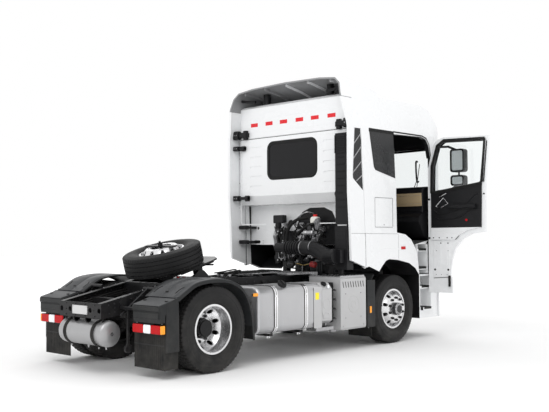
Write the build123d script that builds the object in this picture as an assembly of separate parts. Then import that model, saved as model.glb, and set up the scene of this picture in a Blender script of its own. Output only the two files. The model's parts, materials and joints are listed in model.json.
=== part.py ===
"""Two-axle semi truck tractor unit with a high-roof sleeper cab.

Millimetres. X points to the truck's left, Y to its rear and Z up. Sizes are laid out from
the rear axle's centre on the ground, and every piece is moved at export so that the origin
is the coupling point on top of the fifth wheel. side = +1 is left, side = -1 is right.
"""
from build123d import *
from math import cos, radians, sin
import os

# ---------------------------------------------------------------- driving dimensions
WHEELBASE = 3800
CAB_HALF_WIDTH = 1245
SEAM_GAP = 8            # painted panels, doors and lids stand this far apart
SEAT_GAP = 0.3          # pieces that rest on each other
RUNNING_GAP = 0.05      # radial clearance of a shaft in its bore
MOVING_GAP = 6          # least space between bodies that move past each other

# wheels
TYRE_RADIUS = 522
TYRE_HALF_WIDTH = 149
BEAD_RADIUS = 288
BEAD_HALF = 104.5
RIM_WALL = 12
FLANGE_RADIUS = 300
FLANGE_THICK = 10
DISC_OFFSET = 165       # wheel centre to the disc's mounting face
DISC_THICK = 12
HUB_RADIUS = 95
HUB_STAND = 50          # hub end beyond the disc
STUD_CIRCLE_RADIUS = 167.5
STUD_COUNT = 10
NUT_RADIUS = 17
NUT_HEIGHT = 28
HAND_HOLE_CIRCLE = 236
HAND_HOLE_RADIUS = 27
DRUM_RADIUS = 200
DRUM_WALL = 14
DRUM_DEPTH = 190
FRONT_TYRE_X = 1020
REAR_TYRE_X = 1100
TWIN_SPACING = 340
FRONT_SPINDLE_RADIUS = 45
REAR_SPINDLE_RADIUS = 60
SPINDLE_END_ROOM = 10
KINGPIN_X = 860
KINGPIN_RADIUS = 22
EYE_RADIUS = 50
EYE_HALF = 60
BEAM_Z = 400
SPRING_WIDTH = 80
REAR_SPRING_X = 500
REAR_SPRING_HALF = 750
FRONT_SPRING_X = 425
FRONT_SPRING_HALF = 800

# frame
RAIL_OUT_X = 432.5
RAIL_FLANGE = 80
RAIL_WALL = 8
RAIL_TOP = 1071
RAIL_BOTTOM = 790
RAIL_FRONT_Y = -WHEELBASE - 1200
RAIL_TAPER_Y = -40
RAIL_REAR_Y = 1055
RAIL_REAR_TOP = 851
RAIL_REAR_BOTTOM = 670
PLATE_HALF_WIDTH = 155
PLATE_HEIGHT = 104
END_HOLE_HALF_SPACING = 287.5
END_HOLE_RADIUS = 9
END_BIG_HOLE_RADIUS = 32

# front tow jaw and rear cab mounting
TOW_Y = -WHEELBASE - 1340
TOW_Z = 600
TOW_PIN_RADIUS = 20
MOUNT_Y = -3110
MOUNT_BEAM_Z = 1300
MOUNT_SPRING_X = 600
CAB_FOOT_Z = 1500

# fifth wheel and the spare that lies on it
FIFTH_PIVOT_Y = -550
FIFTH_PIVOT_Z = 1160
FIFTH_RISE = 115        # pivot to the plate's top face
FIFTH_TILT = 15.2       # parked with its rear edge down
FIFTH_THICK = 22
FIFTH_PIN_RADIUS = 20
FIFTH_EAR_X = 300
FIFTH_EAR_THICK = 40
KINGPIN_HOLE_RADIUS = 25.4
SPARE_BEHIND_KINGPIN = 270

# tilting cab hinge
TILT_Y = -WHEELBASE - 1320
TILT_Z = 800
TILT_PIN_RADIUS = 20
TILT_ARM_X = 445
TILT_ARM_THICK = 36

# cab
CAB_REAR_Y = -2755
CAB_SIDE_SEAM_Y = -2945
CAB_FRONT_Y = -WHEELBASE - 1415
CAB_CORNER_START_Y = -WHEELBASE - 960
CAB_FLOOR_BOTTOM = CAB_FOOT_Z
CAB_FLOOR_THICK = 60
CAB_WALL = 70
ROOF_SEAM_Z = 3225
ROOF_TOP = 3800
SLEEPER_UNDER_Z = 2130
LOWER_REAR_Y = -3050
TUNNEL_HALF_WIDTH = 520
TUNNEL_TOP = 1760
HIGH_ROOF_EDGE_HALF = 1080
CORNER_SWEEP_RADIUS = 640   # front corner in plan: a long arc, then a tight one
CORNER_TURN_RADIUS = 200
CORNER_SWEEP_ANGLE = 33.8
REAR_CORNER_RADIUS = 190
WINDOW_HALF = 480
REAR_WINDOW_Z = (2560, 3090)
FIREWALL_Y = -WHEELBASE - 1200
HATCH_OUTLINE = (
    # x, z of the engine cover in the lower rear wall
    (-660, 1501), (-660, 1830), (-560, 2010), (-400, 2075), (-110, 2075), (50, 2010), (150, 1830), (150, 1501),
)

# doors
DOOR_THICK = 50
TRIM_THICK = 28
TRIM_BOTTOM = 1570
GLASS_DEPTH = 18
GLASS_THICK = 6
DOOR_PIVOT_Y = -WHEELBASE - 920
DOOR_PIVOT_INSET = 14
DOOR_EDGE_AHEAD = 22
DOOR_HINGE_ZS = (1610, 2230)
SILL_X = 1158           # the floor's edge in the doorways
DOOR_REST_OPEN = 95
DOOR_SKIRT_Z = 730
DOOR_TOP_Z = 3195
HINGE_PIN_RADIUS = 8
HINGE_EYE_RADIUS = 10
HINGE_HEIGHT = 60
HINGE_ROOM = 2          # between the two halves of a hinge

# front lid under the windscreen
LID_BOTTOM = 925
LID_TOP = 1780
LID_HALF_WIDTH = 900
LID_THICK = 50
LID_HINGE_RADIUS = 9
LID_PIVOT_INSET = 14
LID_PIVOT_DROP = 16
LID_TOP_GAP = 20

# bumper and steps
BUMPER_BOTTOM = 330
BUMPER_TOP = 860
BUMPER_WALL = 50
BUMPER_BACK_Y = CAB_FRONT_Y + 250
GRILLE_SLOTS = 8
STEP_HALF_OUT = 1185
STEP_HALF_IN = 960
STEP_REAR_Y = -WHEELBASE - 640
STEP_FRONT_Y = -WHEELBASE - 1178
STEP_TOP = 1020
RADIATOR_HALF = 340
HEADLAMP_IN = 790
HEADLAMP_OUT = 1110
HEADLAMP_Z = (600, 800)

# fuel tank, exhaust box and urea tank on the right, battery box on the left
SIDE_BOX_OUT_X = 1240
TANK_FRONT_Y = -1975
TANK_REAR_Y = -730
TANK_WIDTH = 650
TANK_BOTTOM = 385
TANK_TOP = 985
TANK_CORNER = 105
STRAP_WIDTH = 75
STRAP_THICK = 8
TANK_STRAP_YS = (-1655, -1065)
LOUVRE_COUNT = 9
EXHAUST_FRONT_Y = -2995
EXHAUST_REAR_Y = -2415
EXHAUST_BOTTOM = 310
EXHAUST_TOP = 1045
EXHAUST_WIDTH = 600
UREA_FRONT_Y = -2225
UREA_REAR_Y = -1990
BATTERY_FRONT_Y = -1950
BATTERY_REAR_Y = -1150

# rear fenders
FENDER_IN_X = 640
FENDER_OUT_X = 1250
FENDER_THICK = 12
FENDER_LIP = 45
LAMP_Y = 800
FLAP_BOTTOM = 115
SHIELD_Y = -3180

AIR_TANK_RADIUS = 155
AIR_TANK_HALF = 470
AIR_TANK_Y = 935
AIR_TANK_Z = 487

# roof deflector and side fairings
FAIRING_THICK = 40
DEFLECTOR_WALL = 25
OVERALL_HEIGHT = 3995
FAIRING_OUTLINE = (
    # y, z of the side fairing: its rear edge from the top, then the seam with the cab
    (-2545, 3640), (-2600, 3289), (-2594, 2287), (-2629, 1675), (-2642, 1284),
    (-2986, 1175), (-2957, 1675), (-2935, 2300), (-2881, 3025), (-2878, 3640),
)

SIDES = (1, -1)
NODES = {}


# ---------------------------------------------------------------- helpers
def span(x, y, z):
    """Box between low and high values along each axis."""
    size = (x[1] - x[0], y[1] - y[0], z[1] - z[0])
    return Pos((x[0] + x[1]) / 2, (y[0] + y[1]) / 2, (z[0] + z[1]) / 2) * Box(*size)


def mirrored(side, near, far):
    """Low and high x of a piece that reaches from near to far on one side."""
    return (min(side * near, side * far), max(side * near, side * far))


def prism_x(outline, x):
    """Outline in (y, z), carried from x[0] to x[1]."""
    face = make_face(Polyline(*outline, close=True))
    return extrude(Plane.YZ.offset(x[0]) * face, amount=x[1] - x[0])


def prism_y(outline, y):
    """Outline in (x, z), carried from y[0] to y[1]."""
    face = make_face(Polyline(*outline, close=True))
    return extrude(Plane.XZ.offset(-y[1]) * face, amount=y[1] - y[0])


def prism_z(outline, z):
    """Outline in (x, y), carried from z[0] to z[1]."""
    face = make_face(Polyline(*outline, close=True))
    return extrude(Plane.XY.offset(z[0]) * face, amount=z[1] - z[0])


def rod_x(radius, y, z, x):
    """Cylinder along X."""
    return Pos((x[0] + x[1]) / 2, y, z) * Rot(0, 90, 0) * Cylinder(radius, x[1] - x[0])


def rod_y(radius, x, z, y):
    """Cylinder along Y."""
    return Pos(x, (y[0] + y[1]) / 2, z) * Rot(90, 0, 0) * Cylinder(radius, y[1] - y[0])


def rod_z(radius, x, y, z):
    """Cylinder along Z."""
    return Pos(x, y, (z[0] + z[1]) / 2) * Cylinder(radius, z[1] - z[0])


def pipe(radius, *points):
    """Round rod from point to point, with a ball at each inner corner."""
    runs = []
    for start, end in zip(points, points[1:]):
        line = Vector(*end) - Vector(*start)
        plane = Plane(origin=start, z_dir=line)
        runs.append(plane * Cylinder(radius, line.length, align=(Align.CENTER, Align.CENTER, Align.MIN)))
    joints = [Pos(*point) * Sphere(radius * 1.03) for point in points[1:-1]]
    return fuse(*runs, *joints)


def fuse(*solids):
    """All solids joined into one shape."""
    if len(solids) == 1:
        return solids[0]
    return solids[0] + list(solids[1:])


def ring_section(points):
    """Solid turned about Z from a closed (radius, height) outline."""
    face = make_face(Polyline(*points, close=True))
    return revolve(Plane.XZ * face, Axis.Z)


# ---------------------------------------------------------------- wheels
def tyre():
    """Road tyre about Z, its tread left smooth."""
    half = [
        (BEAD_RADIUS, BEAD_HALF),
        (FLANGE_RADIUS + 2, BEAD_HALF),
        (FLANGE_RADIUS + 14, BEAD_HALF + 16),
        (400, TYRE_HALF_WIDTH),
        (TYRE_RADIUS - 28, TYRE_HALF_WIDTH - 10),
        (TYRE_RADIUS, TYRE_HALF_WIDTH - 34),
    ]
    return ring_section([(r, -z) for r, z in half] + [(r, z) for r, z in reversed(half)])


def rim():
    """Tubeless rim about Z, its disc bulging towards +Z, with hand holes and a bolting face."""
    seat = BEAD_RADIUS - SEAT_GAP
    inner = seat - RIM_WALL
    edge = BEAD_HALF + SEAT_GAP
    lip = edge + FLANGE_THICK
    barrel = ring_section([
        (seat, -edge), (FLANGE_RADIUS, -edge), (FLANGE_RADIUS, -lip), (inner, -lip),
        (inner, lip), (FLANGE_RADIUS, lip), (FLANGE_RADIUS, edge), (seat, edge),
    ])
    face_in = DISC_OFFSET - DISC_THICK
    disc = ring_section([
        (0, DISC_OFFSET), (198, DISC_OFFSET), (216, DISC_OFFSET - 12), (inner + 2, 70),
        (inner + 2, 50), (208, face_in - 14), (192, face_in), (0, face_in),
    ])
    holes = PolarLocations(HAND_HOLE_CIRCLE, STUD_COUNT)
    for place in holes:
        disc -= place * Pos(0, 0, DISC_OFFSET) * Cylinder(HAND_HOLE_RADIUS, 400)
    return barrel + disc


def nuts(base):
    """Ring of wheel nuts standing on the height base, about Z."""
    ring = [place * Pos(0, 0, base + NUT_HEIGHT / 2 - 1) * Cylinder(NUT_RADIUS, NUT_HEIGHT + 2)
            for place in PolarLocations(STUD_CIRCLE_RADIUS, STUD_COUNT)]
    return fuse(*ring)


def brake_drum(top):
    """Brake drum open downwards, closed at the height top, about Z."""
    low = top - DRUM_DEPTH
    inner = DRUM_RADIUS - DRUM_WALL
    return ring_section([
        (0, top), (DRUM_RADIUS, top), (DRUM_RADIUS, low), (inner, low),
        (inner, top - DRUM_WALL), (0, top - DRUM_WALL),
    ])


def front_wheel_metal():
    """Front rim, hub, nuts and brake drum about Z, outboard towards +Z."""
    top = DISC_OFFSET + HUB_STAND
    low = DISC_OFFSET - DISC_THICK - DRUM_DEPTH
    hub = Pos(0, 0, (top + low) / 2) * Cylinder(HUB_RADIUS, top - low)
    cap = Pos(0, 0, top + 8) * Cylinder(HUB_RADIUS * 0.6, 18)
    metal = fuse(rim(), brake_drum(DISC_OFFSET - DISC_THICK), hub, cap, nuts(DISC_OFFSET))
    bore_top = DISC_OFFSET - 20
    bore = Pos(0, 0, (bore_top + low - 1) / 2) * Cylinder(
        FRONT_SPINDLE_RADIUS + RUNNING_GAP, bore_top - low + 1)
    return metal - bore


def rear_wheel_metal():
    """Two rims back to back with the hub, nuts and drum about Z; z = 0 is where the discs meet."""
    outer = Pos(0, 0, TWIN_SPACING / 2) * Rot(180, 0, 0) * rim()
    inner = Pos(0, 0, -TWIN_SPACING / 2) * rim()
    gap = TWIN_SPACING / 2 - DISC_OFFSET
    spacer = Cylinder(STUD_CIRCLE_RADIUS + 30, 2 * gap + 1)
    face = gap + DISC_THICK
    hub_top = face + 120
    hub_low = -face - DRUM_DEPTH
    hub = Pos(0, 0, (hub_top + hub_low) / 2) * Cylinder(HUB_RADIUS + 15, hub_top - hub_low)
    flange = Pos(0, 0, face + 40) * Cylinder(HUB_RADIUS + 32, 30)
    cap = Pos(0, 0, hub_top + 6) * Cylinder(HUB_RADIUS, 14)
    metal = fuse(outer, inner, spacer, hub, flange, cap, nuts(face), brake_drum(-face))
    bore_top = face + 60
    bore = Pos(0, 0, (bore_top + hub_low - 1) / 2) * Cylinder(
        REAR_SPINDLE_RADIUS + RUNNING_GAP, bore_top - hub_low + 1)
    return metal - bore


def outboard(side, x, y, z):
    """Location that turns +Z outboard on one side and moves the origin to the wheel's centre."""
    return Pos(side * x, y, z) * Rot(0, side * 90, 0)


def make_wheels():
    """Front wheels on their knuckles and twin rear wheels on the drive axle."""
    twin_middle = REAR_TYRE_X - TWIN_SPACING / 2
    for side, word in ((1, "left"), (-1, "right")):
        front = outboard(side, FRONT_TYRE_X, -WHEELBASE, TYRE_RADIUS)
        NODES[f"front_tyre_{word}"] = front * tyre()
        NODES[f"front_rim_{word}"] = front * front_wheel_metal()
        rear = outboard(side, twin_middle, 0, TYRE_RADIUS)
        pair = [rear * Pos(0, 0, offset * TWIN_SPACING / 2) * tyre() for offset in (1, -1)]
        NODES[f"rear_tyres_{word}"] = Compound(children=pair)
        NODES[f"rear_rims_{word}"] = rear * rear_wheel_metal()


# ---------------------------------------------------------------- frame
def rail_outline(inset):
    """Side outline of a frame rail in (y, z), its top and bottom brought in by inset."""
    return [
        (RAIL_FRONT_Y, RAIL_BOTTOM + inset), (RAIL_FRONT_Y, RAIL_TOP - inset),
        (RAIL_TAPER_Y, RAIL_TOP - inset), (RAIL_REAR_Y, RAIL_REAR_TOP - inset),
        (RAIL_REAR_Y, RAIL_REAR_BOTTOM + inset), (RAIL_TAPER_Y, RAIL_BOTTOM + inset),
    ]


def make_frame():
    """Two channel rails, crossmembers, cab hinge brackets and rear cab mounting."""
    pieces = []
    inner_x = RAIL_OUT_X - RAIL_FLANGE
    for side in SIDES:
        rail = prism_x(rail_outline(0), mirrored(side, inner_x, RAIL_OUT_X))
        hollow = prism_x(rail_outline(RAIL_WALL), mirrored(side, inner_x - 1, RAIL_OUT_X - RAIL_WALL))
        pieces.append(rail - hollow)
    web_x = RAIL_OUT_X - RAIL_WALL
    # crossmembers: centre y, centre z, depth, height
    for y, z, depth, height in (
        (RAIL_FRONT_Y + 50, RAIL_BOTTOM + 110, 100, 180),
        (-2480, RAIL_BOTTOM + 160, 90, 200),
        (-1480, RAIL_BOTTOM + 150, 90, 220),
        (FIFTH_PIVOT_Y - 180, RAIL_BOTTOM + 150, 90, 220),
        (FIFTH_PIVOT_Y + 620, RAIL_BOTTOM + 165, 90, 180),
        (620, 815, 90, 120),
    ):
        pieces.append(span((-web_x, web_x), (y - depth / 2, y + depth / 2), (z - height / 2, z + height / 2)))
    # cab hinge brackets either side of each tilt arm, with the pin
    for side in SIDES:
        for near in (TILT_ARM_X - 26, TILT_ARM_X + TILT_ARM_THICK + 6):
            pieces.append(span(mirrored(side, near, near + 20), (TILT_Y - 40, RAIL_FRONT_Y + 60),
                               (TILT_Z - 45, TILT_Z + 45)))
        foot = mirrored(side, RAIL_OUT_X - 20, TILT_ARM_X + TILT_ARM_THICK + 26)
        pieces.append(span(foot, (RAIL_FRONT_Y + 10, RAIL_FRONT_Y + 60), (TILT_Z - 45, TILT_Z + 120)))
        pin = mirrored(side, TILT_ARM_X - 26, TILT_ARM_X + TILT_ARM_THICK + 26)
        pieces.append(rod_x(TILT_PIN_RADIUS, TILT_Y, TILT_Z, pin))
    # rear cab mounting: two towers with a cross beam, and a spring under each cab foot
    for side in SIDES:
        pieces.append(span(mirrored(side, RAIL_OUT_X - 40, RAIL_OUT_X + 40), (MOUNT_Y - 50, MOUNT_Y + 50),
                           (RAIL_TOP - 60, MOUNT_BEAM_Z + 30)))
        pieces.append(rod_z(48, side * MOUNT_SPRING_X, MOUNT_Y, (MOUNT_BEAM_Z - 10, CAB_FOOT_Z - SEAT_GAP)))
    reach = MOUNT_SPRING_X + 60
    pieces.append(span((-reach, reach), (MOUNT_Y - 45, MOUNT_Y + 45), (MOUNT_BEAM_Z - 30, MOUNT_BEAM_Z + 30)))
    # fifth wheel mounting plate and pedestals
    pieces.append(span((-RAIL_OUT_X - 20, RAIL_OUT_X + 20), (FIFTH_PIVOT_Y - 330, FIFTH_PIVOT_Y + 330),
                       (RAIL_TOP - 1, RAIL_TOP + 12)))
    pedestal = [
        (FIFTH_PIVOT_Y - 170, RAIL_TOP + 10), (FIFTH_PIVOT_Y - 45, FIFTH_PIVOT_Z + 30),
        (FIFTH_PIVOT_Y + 45, FIFTH_PIVOT_Z + 30), (FIFTH_PIVOT_Y + 170, RAIL_TOP + 10),
    ]
    ear_end = FIFTH_EAR_X + FIFTH_EAR_THICK
    for side in SIDES:
        pieces.append(prism_x(pedestal, mirrored(side, ear_end + 4, ear_end + 44)))
        pieces.append(rod_x(FIFTH_PIN_RADIUS, FIFTH_PIVOT_Y, FIFTH_PIVOT_Z,
                            mirrored(side, FIFTH_EAR_X - 15, ear_end + 30)))
    NODES["frame"] = fuse(*pieces)


def make_tow_jaw():
    """Front tow jaw with its pin bore, hung under the front crossmember."""
    jaw_y = (CAB_FRONT_Y + 30, RAIL_FRONT_Y + 80)
    jaw = span((-60, 60), jaw_y, (TOW_Z - 50, TOW_Z + 50))
    stem = span((-60, 60), (RAIL_FRONT_Y + 10, RAIL_FRONT_Y + 80), (TOW_Z, RAIL_BOTTOM + 20))
    jaw -= span((-61, 61), (jaw_y[0] - 1, RAIL_FRONT_Y - 40), (TOW_Z - 22, TOW_Z + 22))
    jaw -= rod_z(TOW_PIN_RADIUS, 0, TOW_Y, (TOW_Z - 60, TOW_Z + 60))
    NODES["tow_jaw"] = fuse(jaw, stem)


def make_end_beam():
    """Rear end beam with its round cut-outs, two bolt holes and a blank number plate."""
    y = (RAIL_REAR_Y, RAIL_REAR_Y + 10)
    beam = span((-RAIL_OUT_X, RAIL_OUT_X), y, (RAIL_REAR_BOTTOM, RAIL_REAR_TOP))
    middle = (RAIL_REAR_BOTTOM + RAIL_REAR_TOP) / 2
    for x in (-390, -210, 210, 390):
        beam -= rod_y(END_BIG_HOLE_RADIUS, x, middle, (y[0] - 1, y[1] + 1))
    for side in SIDES:
        beam -= rod_y(END_HOLE_RADIUS, side * END_HOLE_HALF_SPACING, middle, (y[0] - 1, y[1] + 1))
    flange = span((-RAIL_OUT_X + 90, RAIL_OUT_X - 90), (y[0] - 70, y[0] + 1),
                  (RAIL_REAR_BOTTOM, RAIL_REAR_BOTTOM + 8))
    plate = span((-PLATE_HALF_WIDTH, PLATE_HALF_WIDTH), (y[1] - 1, y[1] + 4),
                 (middle - PLATE_HEIGHT / 2, middle + PLATE_HEIGHT / 2))
    NODES["end_beam"] = fuse(beam, flange, plate)


# ---------------------------------------------------------------- axles, springs and engine
def leaf_pack(side, x, y_mid, z_eye, z_low, half):
    """Arched leaf spring pack, thickest over the axle."""
    outline = [
        (y_mid - half, z_eye), (y_mid - half * 0.5, z_low + 18), (y_mid, z_low),
        (y_mid + half * 0.5, z_low + 18), (y_mid + half, z_eye), (y_mid + half, z_eye + 22),
        (y_mid + half * 0.5, z_low + 66), (y_mid, z_low + 70), (y_mid - half * 0.5, z_low + 66),
        (y_mid - half, z_eye + 22),
    ]
    return prism_x(outline, mirrored(side, x - SPRING_WIDTH / 2, x + SPRING_WIDTH / 2))


def spring_hangers(side, x, y_mid, z_eye, half):
    """Brackets that carry a spring's two ends from the frame rail."""
    hangers = []
    for end in (-1, 1):
        y = y_mid + end * half
        hangers.append(span(mirrored(side, RAIL_OUT_X, x + SPRING_WIDTH / 2 + 6), (y - 45, y + 45),
                            (z_eye - 20, z_eye + 40)))
        hangers.append(span(mirrored(side, RAIL_OUT_X, RAIL_OUT_X + 12), (y - 45, y + 45),
                            (z_eye - 20, RAIL_BOTTOM + 120)))
    return hangers


def make_rear_axle():
    """Drive axle housing with its differential, propeller shaft, springs, U-bolts and dampers."""
    twin_in = REAR_TYRE_X - 1.5 * TWIN_SPACING
    pieces = [rod_x(78, 0, TYRE_RADIUS, (-twin_in - 90, twin_in + 90))]
    disc_meeting = REAR_TYRE_X - TWIN_SPACING / 2
    spindle_end = disc_meeting + TWIN_SPACING / 2 - DISC_OFFSET + DISC_THICK + 60 - SPINDLE_END_ROOM
    pieces.append(rod_x(REAR_SPINDLE_RADIUS, 0, TYRE_RADIUS, (-spindle_end, spindle_end)))
    for side in SIDES:
        pieces.append(rod_x(DRUM_RADIUS - DRUM_WALL - MOVING_GAP, 0, TYRE_RADIUS,
                            mirrored(side, twin_in + 70, twin_in + 100)))
    pieces.append(rod_y(215, 0, TYRE_RADIUS, (-110, 110)))
    pieces.append(Pos(0, -190, TYRE_RADIUS + 10) * Rot(90, 0, 0) * Cone(130, 70, 200))
    pieces.append(pipe(52, (0, -270, TYRE_RADIUS + 20), (0, -2560, 740)))
    for side in SIDES:
        pieces.append(leaf_pack(side, REAR_SPRING_X, 0, 690, TYRE_RADIUS + 80, REAR_SPRING_HALF))
        pieces.extend(spring_hangers(side, REAR_SPRING_X, 0, 690, REAR_SPRING_HALF))
        for y in (-62, 62):
            for x in (REAR_SPRING_X - 52, REAR_SPRING_X + 52):
                pieces.append(rod_z(10, side * x, y, (TYRE_RADIUS - 95, TYRE_RADIUS + 175)))
        pieces.append(span(mirrored(side, REAR_SPRING_X - 62, REAR_SPRING_X + 62), (-78, 78),
                           (TYRE_RADIUS + 150, TYRE_RADIUS + 172)))
        pieces.append(span(mirrored(side, REAR_SPRING_X - 62, REAR_SPRING_X + 62), (-78, 78),
                           (TYRE_RADIUS - 90, TYRE_RADIUS + 82)))
    NODES["rear_axle"] = fuse(*pieces)


def make_front_axle():
    """Dropped front axle beam with kingpin eyes, springs and U-bolts."""
    half = KINGPIN_X - EYE_RADIUS + 6
    outline = [
        (-half, TYRE_RADIUS + 45), (-half, TYRE_RADIUS - 45), (-600, BEAM_Z - 50), (600, BEAM_Z - 50),
        (half, TYRE_RADIUS - 45), (half, TYRE_RADIUS + 45), (560, BEAM_Z + 50), (-560, BEAM_Z + 50),
    ]
    beam_y = (-WHEELBASE - 48, -WHEELBASE + 48)
    pieces = [prism_y(outline, beam_y)]
    for side in SIDES:
        pieces.append(rod_z(EYE_RADIUS, side * KINGPIN_X, -WHEELBASE,
                            (TYRE_RADIUS - EYE_HALF, TYRE_RADIUS + EYE_HALF)))
        pieces.append(leaf_pack(side, FRONT_SPRING_X, -WHEELBASE, 640, BEAM_Z + 44, FRONT_SPRING_HALF))
        pieces.extend(spring_hangers(side, FRONT_SPRING_X, -WHEELBASE, 640, FRONT_SPRING_HALF))
        for y in (-62, 62):
            for x in (FRONT_SPRING_X - 54, FRONT_SPRING_X + 54):
                pieces.append(rod_z(10, side * x, -WHEELBASE + y, (BEAM_Z - 74, BEAM_Z + 150)))
        clamp_x = mirrored(side, FRONT_SPRING_X - 70, FRONT_SPRING_X + 70)
        pieces.append(span(clamp_x, (-WHEELBASE - 78, -WHEELBASE + 78), (BEAM_Z + 108, BEAM_Z + 138)))
        pieces.append(span(clamp_x, (-WHEELBASE - 78, -WHEELBASE + 78), (BEAM_Z - 66, BEAM_Z - 42)))
    beam = fuse(*pieces)
    for side in SIDES:
        beam -= rod_z(KINGPIN_RADIUS + RUNNING_GAP, side * KINGPIN_X, -WHEELBASE,
                      (TYRE_RADIUS - EYE_HALF - 1, TYRE_RADIUS + EYE_HALF + 1))
    NODES["front_axle"] = beam


def make_knuckles():
    """Steering knuckles: a fork around the beam's eye, kingpin, spindle and backing plate."""
    drum_low = DISC_OFFSET - DISC_THICK - DRUM_DEPTH
    plate_out = FRONT_TYRE_X + drum_low - MOVING_GAP
    ear_low = EYE_HALF + MOVING_GAP
    for side, word in ((1, "left"), (-1, "right")):
        pieces = []
        for sign in (1, -1):
            low = min(sign * ear_low, sign * (ear_low + 30)) + TYRE_RADIUS
            ear_z = (low, low + 30)
            pieces.append(rod_z(EYE_RADIUS, side * KINGPIN_X, -WHEELBASE, ear_z))
            pieces.append(span(mirrored(side, KINGPIN_X, plate_out), (-WHEELBASE - 45, -WHEELBASE + 45), ear_z))
        web_z = (TYRE_RADIUS - ear_low - 30, TYRE_RADIUS + ear_low + 30)
        pieces.append(span(mirrored(side, KINGPIN_X + EYE_RADIUS + MOVING_GAP, plate_out),
                           (-WHEELBASE - 45, -WHEELBASE + 45), web_z))
        pieces.append(rod_z(KINGPIN_RADIUS, side * KINGPIN_X, -WHEELBASE, web_z))
        pieces.append(rod_x(DRUM_RADIUS - 4, -WHEELBASE, TYRE_RADIUS, mirrored(side, plate_out - 12, plate_out)))
        spindle_end = FRONT_TYRE_X + DISC_OFFSET - 20 - SPINDLE_END_ROOM
        pieces.append(rod_x(FRONT_SPINDLE_RADIUS, -WHEELBASE, TYRE_RADIUS, mirrored(side, plate_out - 14, spindle_end)))
        arm = [
            (side * (KINGPIN_X - 8), -WHEELBASE + 20), (side * (KINGPIN_X + 50), -WHEELBASE + 20),
            (side * (KINGPIN_X - 20), -WHEELBASE + 190), (side * (KINGPIN_X - 55), -WHEELBASE + 180),
        ]
        pieces.append(prism_z(arm, web_z[:1] + (web_z[0] + 26,)))
        NODES[f"knuckle_{word}"] = fuse(*pieces)


def make_engine():
    """In-line engine with head, turbocharger, manifolds, filters, hoses, gearbox and fan."""
    front = -WHEELBASE - 860
    rear = -WHEELBASE + 320
    block = span((-270, 270), (front, rear), (600, 1180))
    deep = prism_y([(-200, 601), (-140, 430), (140, 430), (200, 601)], (front + 60, -WHEELBASE - 90))
    shallow = prism_y([(-200, 601), (-150, 500), (150, 500), (200, 601)], (-WHEELBASE - 91, rear - 60))
    head = span((-190, 190), (front + 40, rear - 20), (1179, 1380))
    cover = prism_y([(-150, 1379), (-120, 1450), (120, 1450), (150, 1379)], (front + 60, rear - 40))
    pieces = [block, deep, shallow, head, cover]
    # six cylinder runners on each side of the head
    for index in range(6):
        y = front + 170 + index * 170
        pieces.append(pipe(30, (150, y, 1290), (290, y, 1290), (330, y, 1240)))
        pieces.append(pipe(26, (-150, y, 1300), (-300, y, 1300)))
    pieces.append(rod_y(58, 335, 1225, (front + 120, rear - 60)))
    pieces.append(rod_y(50, -315, 1300, (front + 130, rear - 120)))
    # turbocharger and its pipes
    pieces.append(Pos(-330, rear - 300, 1250) * Rot(90, 0, 0) * Torus(90, 42))
    pieces.append(rod_y(62, -330, 1250, (rear - 380, rear - 220)))
    # bell housing, gearbox and its top cover
    pieces.append(Pos(0, rear + 90, 800) * Rot(-90, 0, 0) * Cone(280, 210, 190))
    pieces.append(span((-190, 190), (rear + 150, rear + 830), (600, 980)))
    pieces.append(span((-130, 130), (rear + 260, rear + 760), (979, 1075)))
    pieces.append(rod_y(95, 0, 740, (rear + 820, rear + 905)))
    # fan behind the radiator: blades on a hub
    pieces.append(rod_y(60, 0, 1090, (front - 70, front + 10)))
    for index in range(9):
        turn = Rot(0, index * 40, 0)
        blade = Rot(0, 0, 30) * Box(18, 70, 230)
        pieces.append(Pos(0, front - 50, 1090) * turn * Pos(0, 0, 165) * blade)
    # feet on the rails
    for side in SIDES:
        for y in (front + 200, rear - 200):
            pieces.append(span(mirrored(side, 260, RAIL_OUT_X - RAIL_WALL), (y - 60, y + 60), (900, 960)))
    # open pipework behind the engine, under the sleeper: radius, points
    for radius, points in (
        (38, ((-120, rear - 60, 1400), (-120, rear + 160, 1435), (-260, rear + 330, 1420), (-290, rear + 520, 1412),
              (-300, rear + 600, 1260))),
        (30, ((90, rear - 60, 1400), (110, rear + 180, 1420), (240, rear + 260, 1180), (240, rear + 420, 1000),
              (170, rear + 420, 900))),
        (24, ((0, rear - 60, 1400), (-20, rear + 350, 1455), (40, rear + 500, 1330), (40, rear + 520, 1060))),
    ):
        pieces.append(pipe(radius, *points))
    # upright filter canisters beside the gearbox: x, y, low z, high z, radius
    for x, y, low, high, radius in (
        (190, rear + 180, 900, 1290, 62),
        (-150, rear + 250, 900, 1240, 52),
        (-30, rear + 620, 1060, 1230, 46),
    ):
        pieces.append(rod_z(radius, x, y, (low, high)))
    NODES["engine"] = fuse(*pieces)


def make_radiator():
    """Radiator core between tanks, standing on the front crossmember."""
    y = (RAIL_FRONT_Y + 2, RAIL_FRONT_Y + 90)
    front_member_top = RAIL_BOTTOM + 200
    core = span((-RADIATOR_HALF, RADIATOR_HALF), y, (front_member_top, 1380))
    top = rod_x(42, (y[0] + y[1]) / 2, 1400, (-RADIATOR_HALF - 20, RADIATOR_HALF + 20))
    NODES["radiator"] = fuse(core, top)


# ---------------------------------------------------------------- side equipment
def tank_section(inset):
    """Rounded tank section in (x, z) on the right side, brought in by inset."""
    width = TANK_WIDTH - 2 * inset
    height = TANK_TOP - TANK_BOTTOM - 2 * inset
    middle_x = -SIDE_BOX_OUT_X + TANK_WIDTH / 2
    middle_z = (TANK_TOP + TANK_BOTTOM) / 2
    return Pos(middle_x, middle_z) * RectangleRounded(width, height, TANK_CORNER - inset)


def tank_slice(inset, y):
    """Solid of the tank's section between two values of y."""
    return extrude(Plane.XZ.offset(-y[1]) * tank_section(inset), amount=y[1] - y[0])


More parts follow.
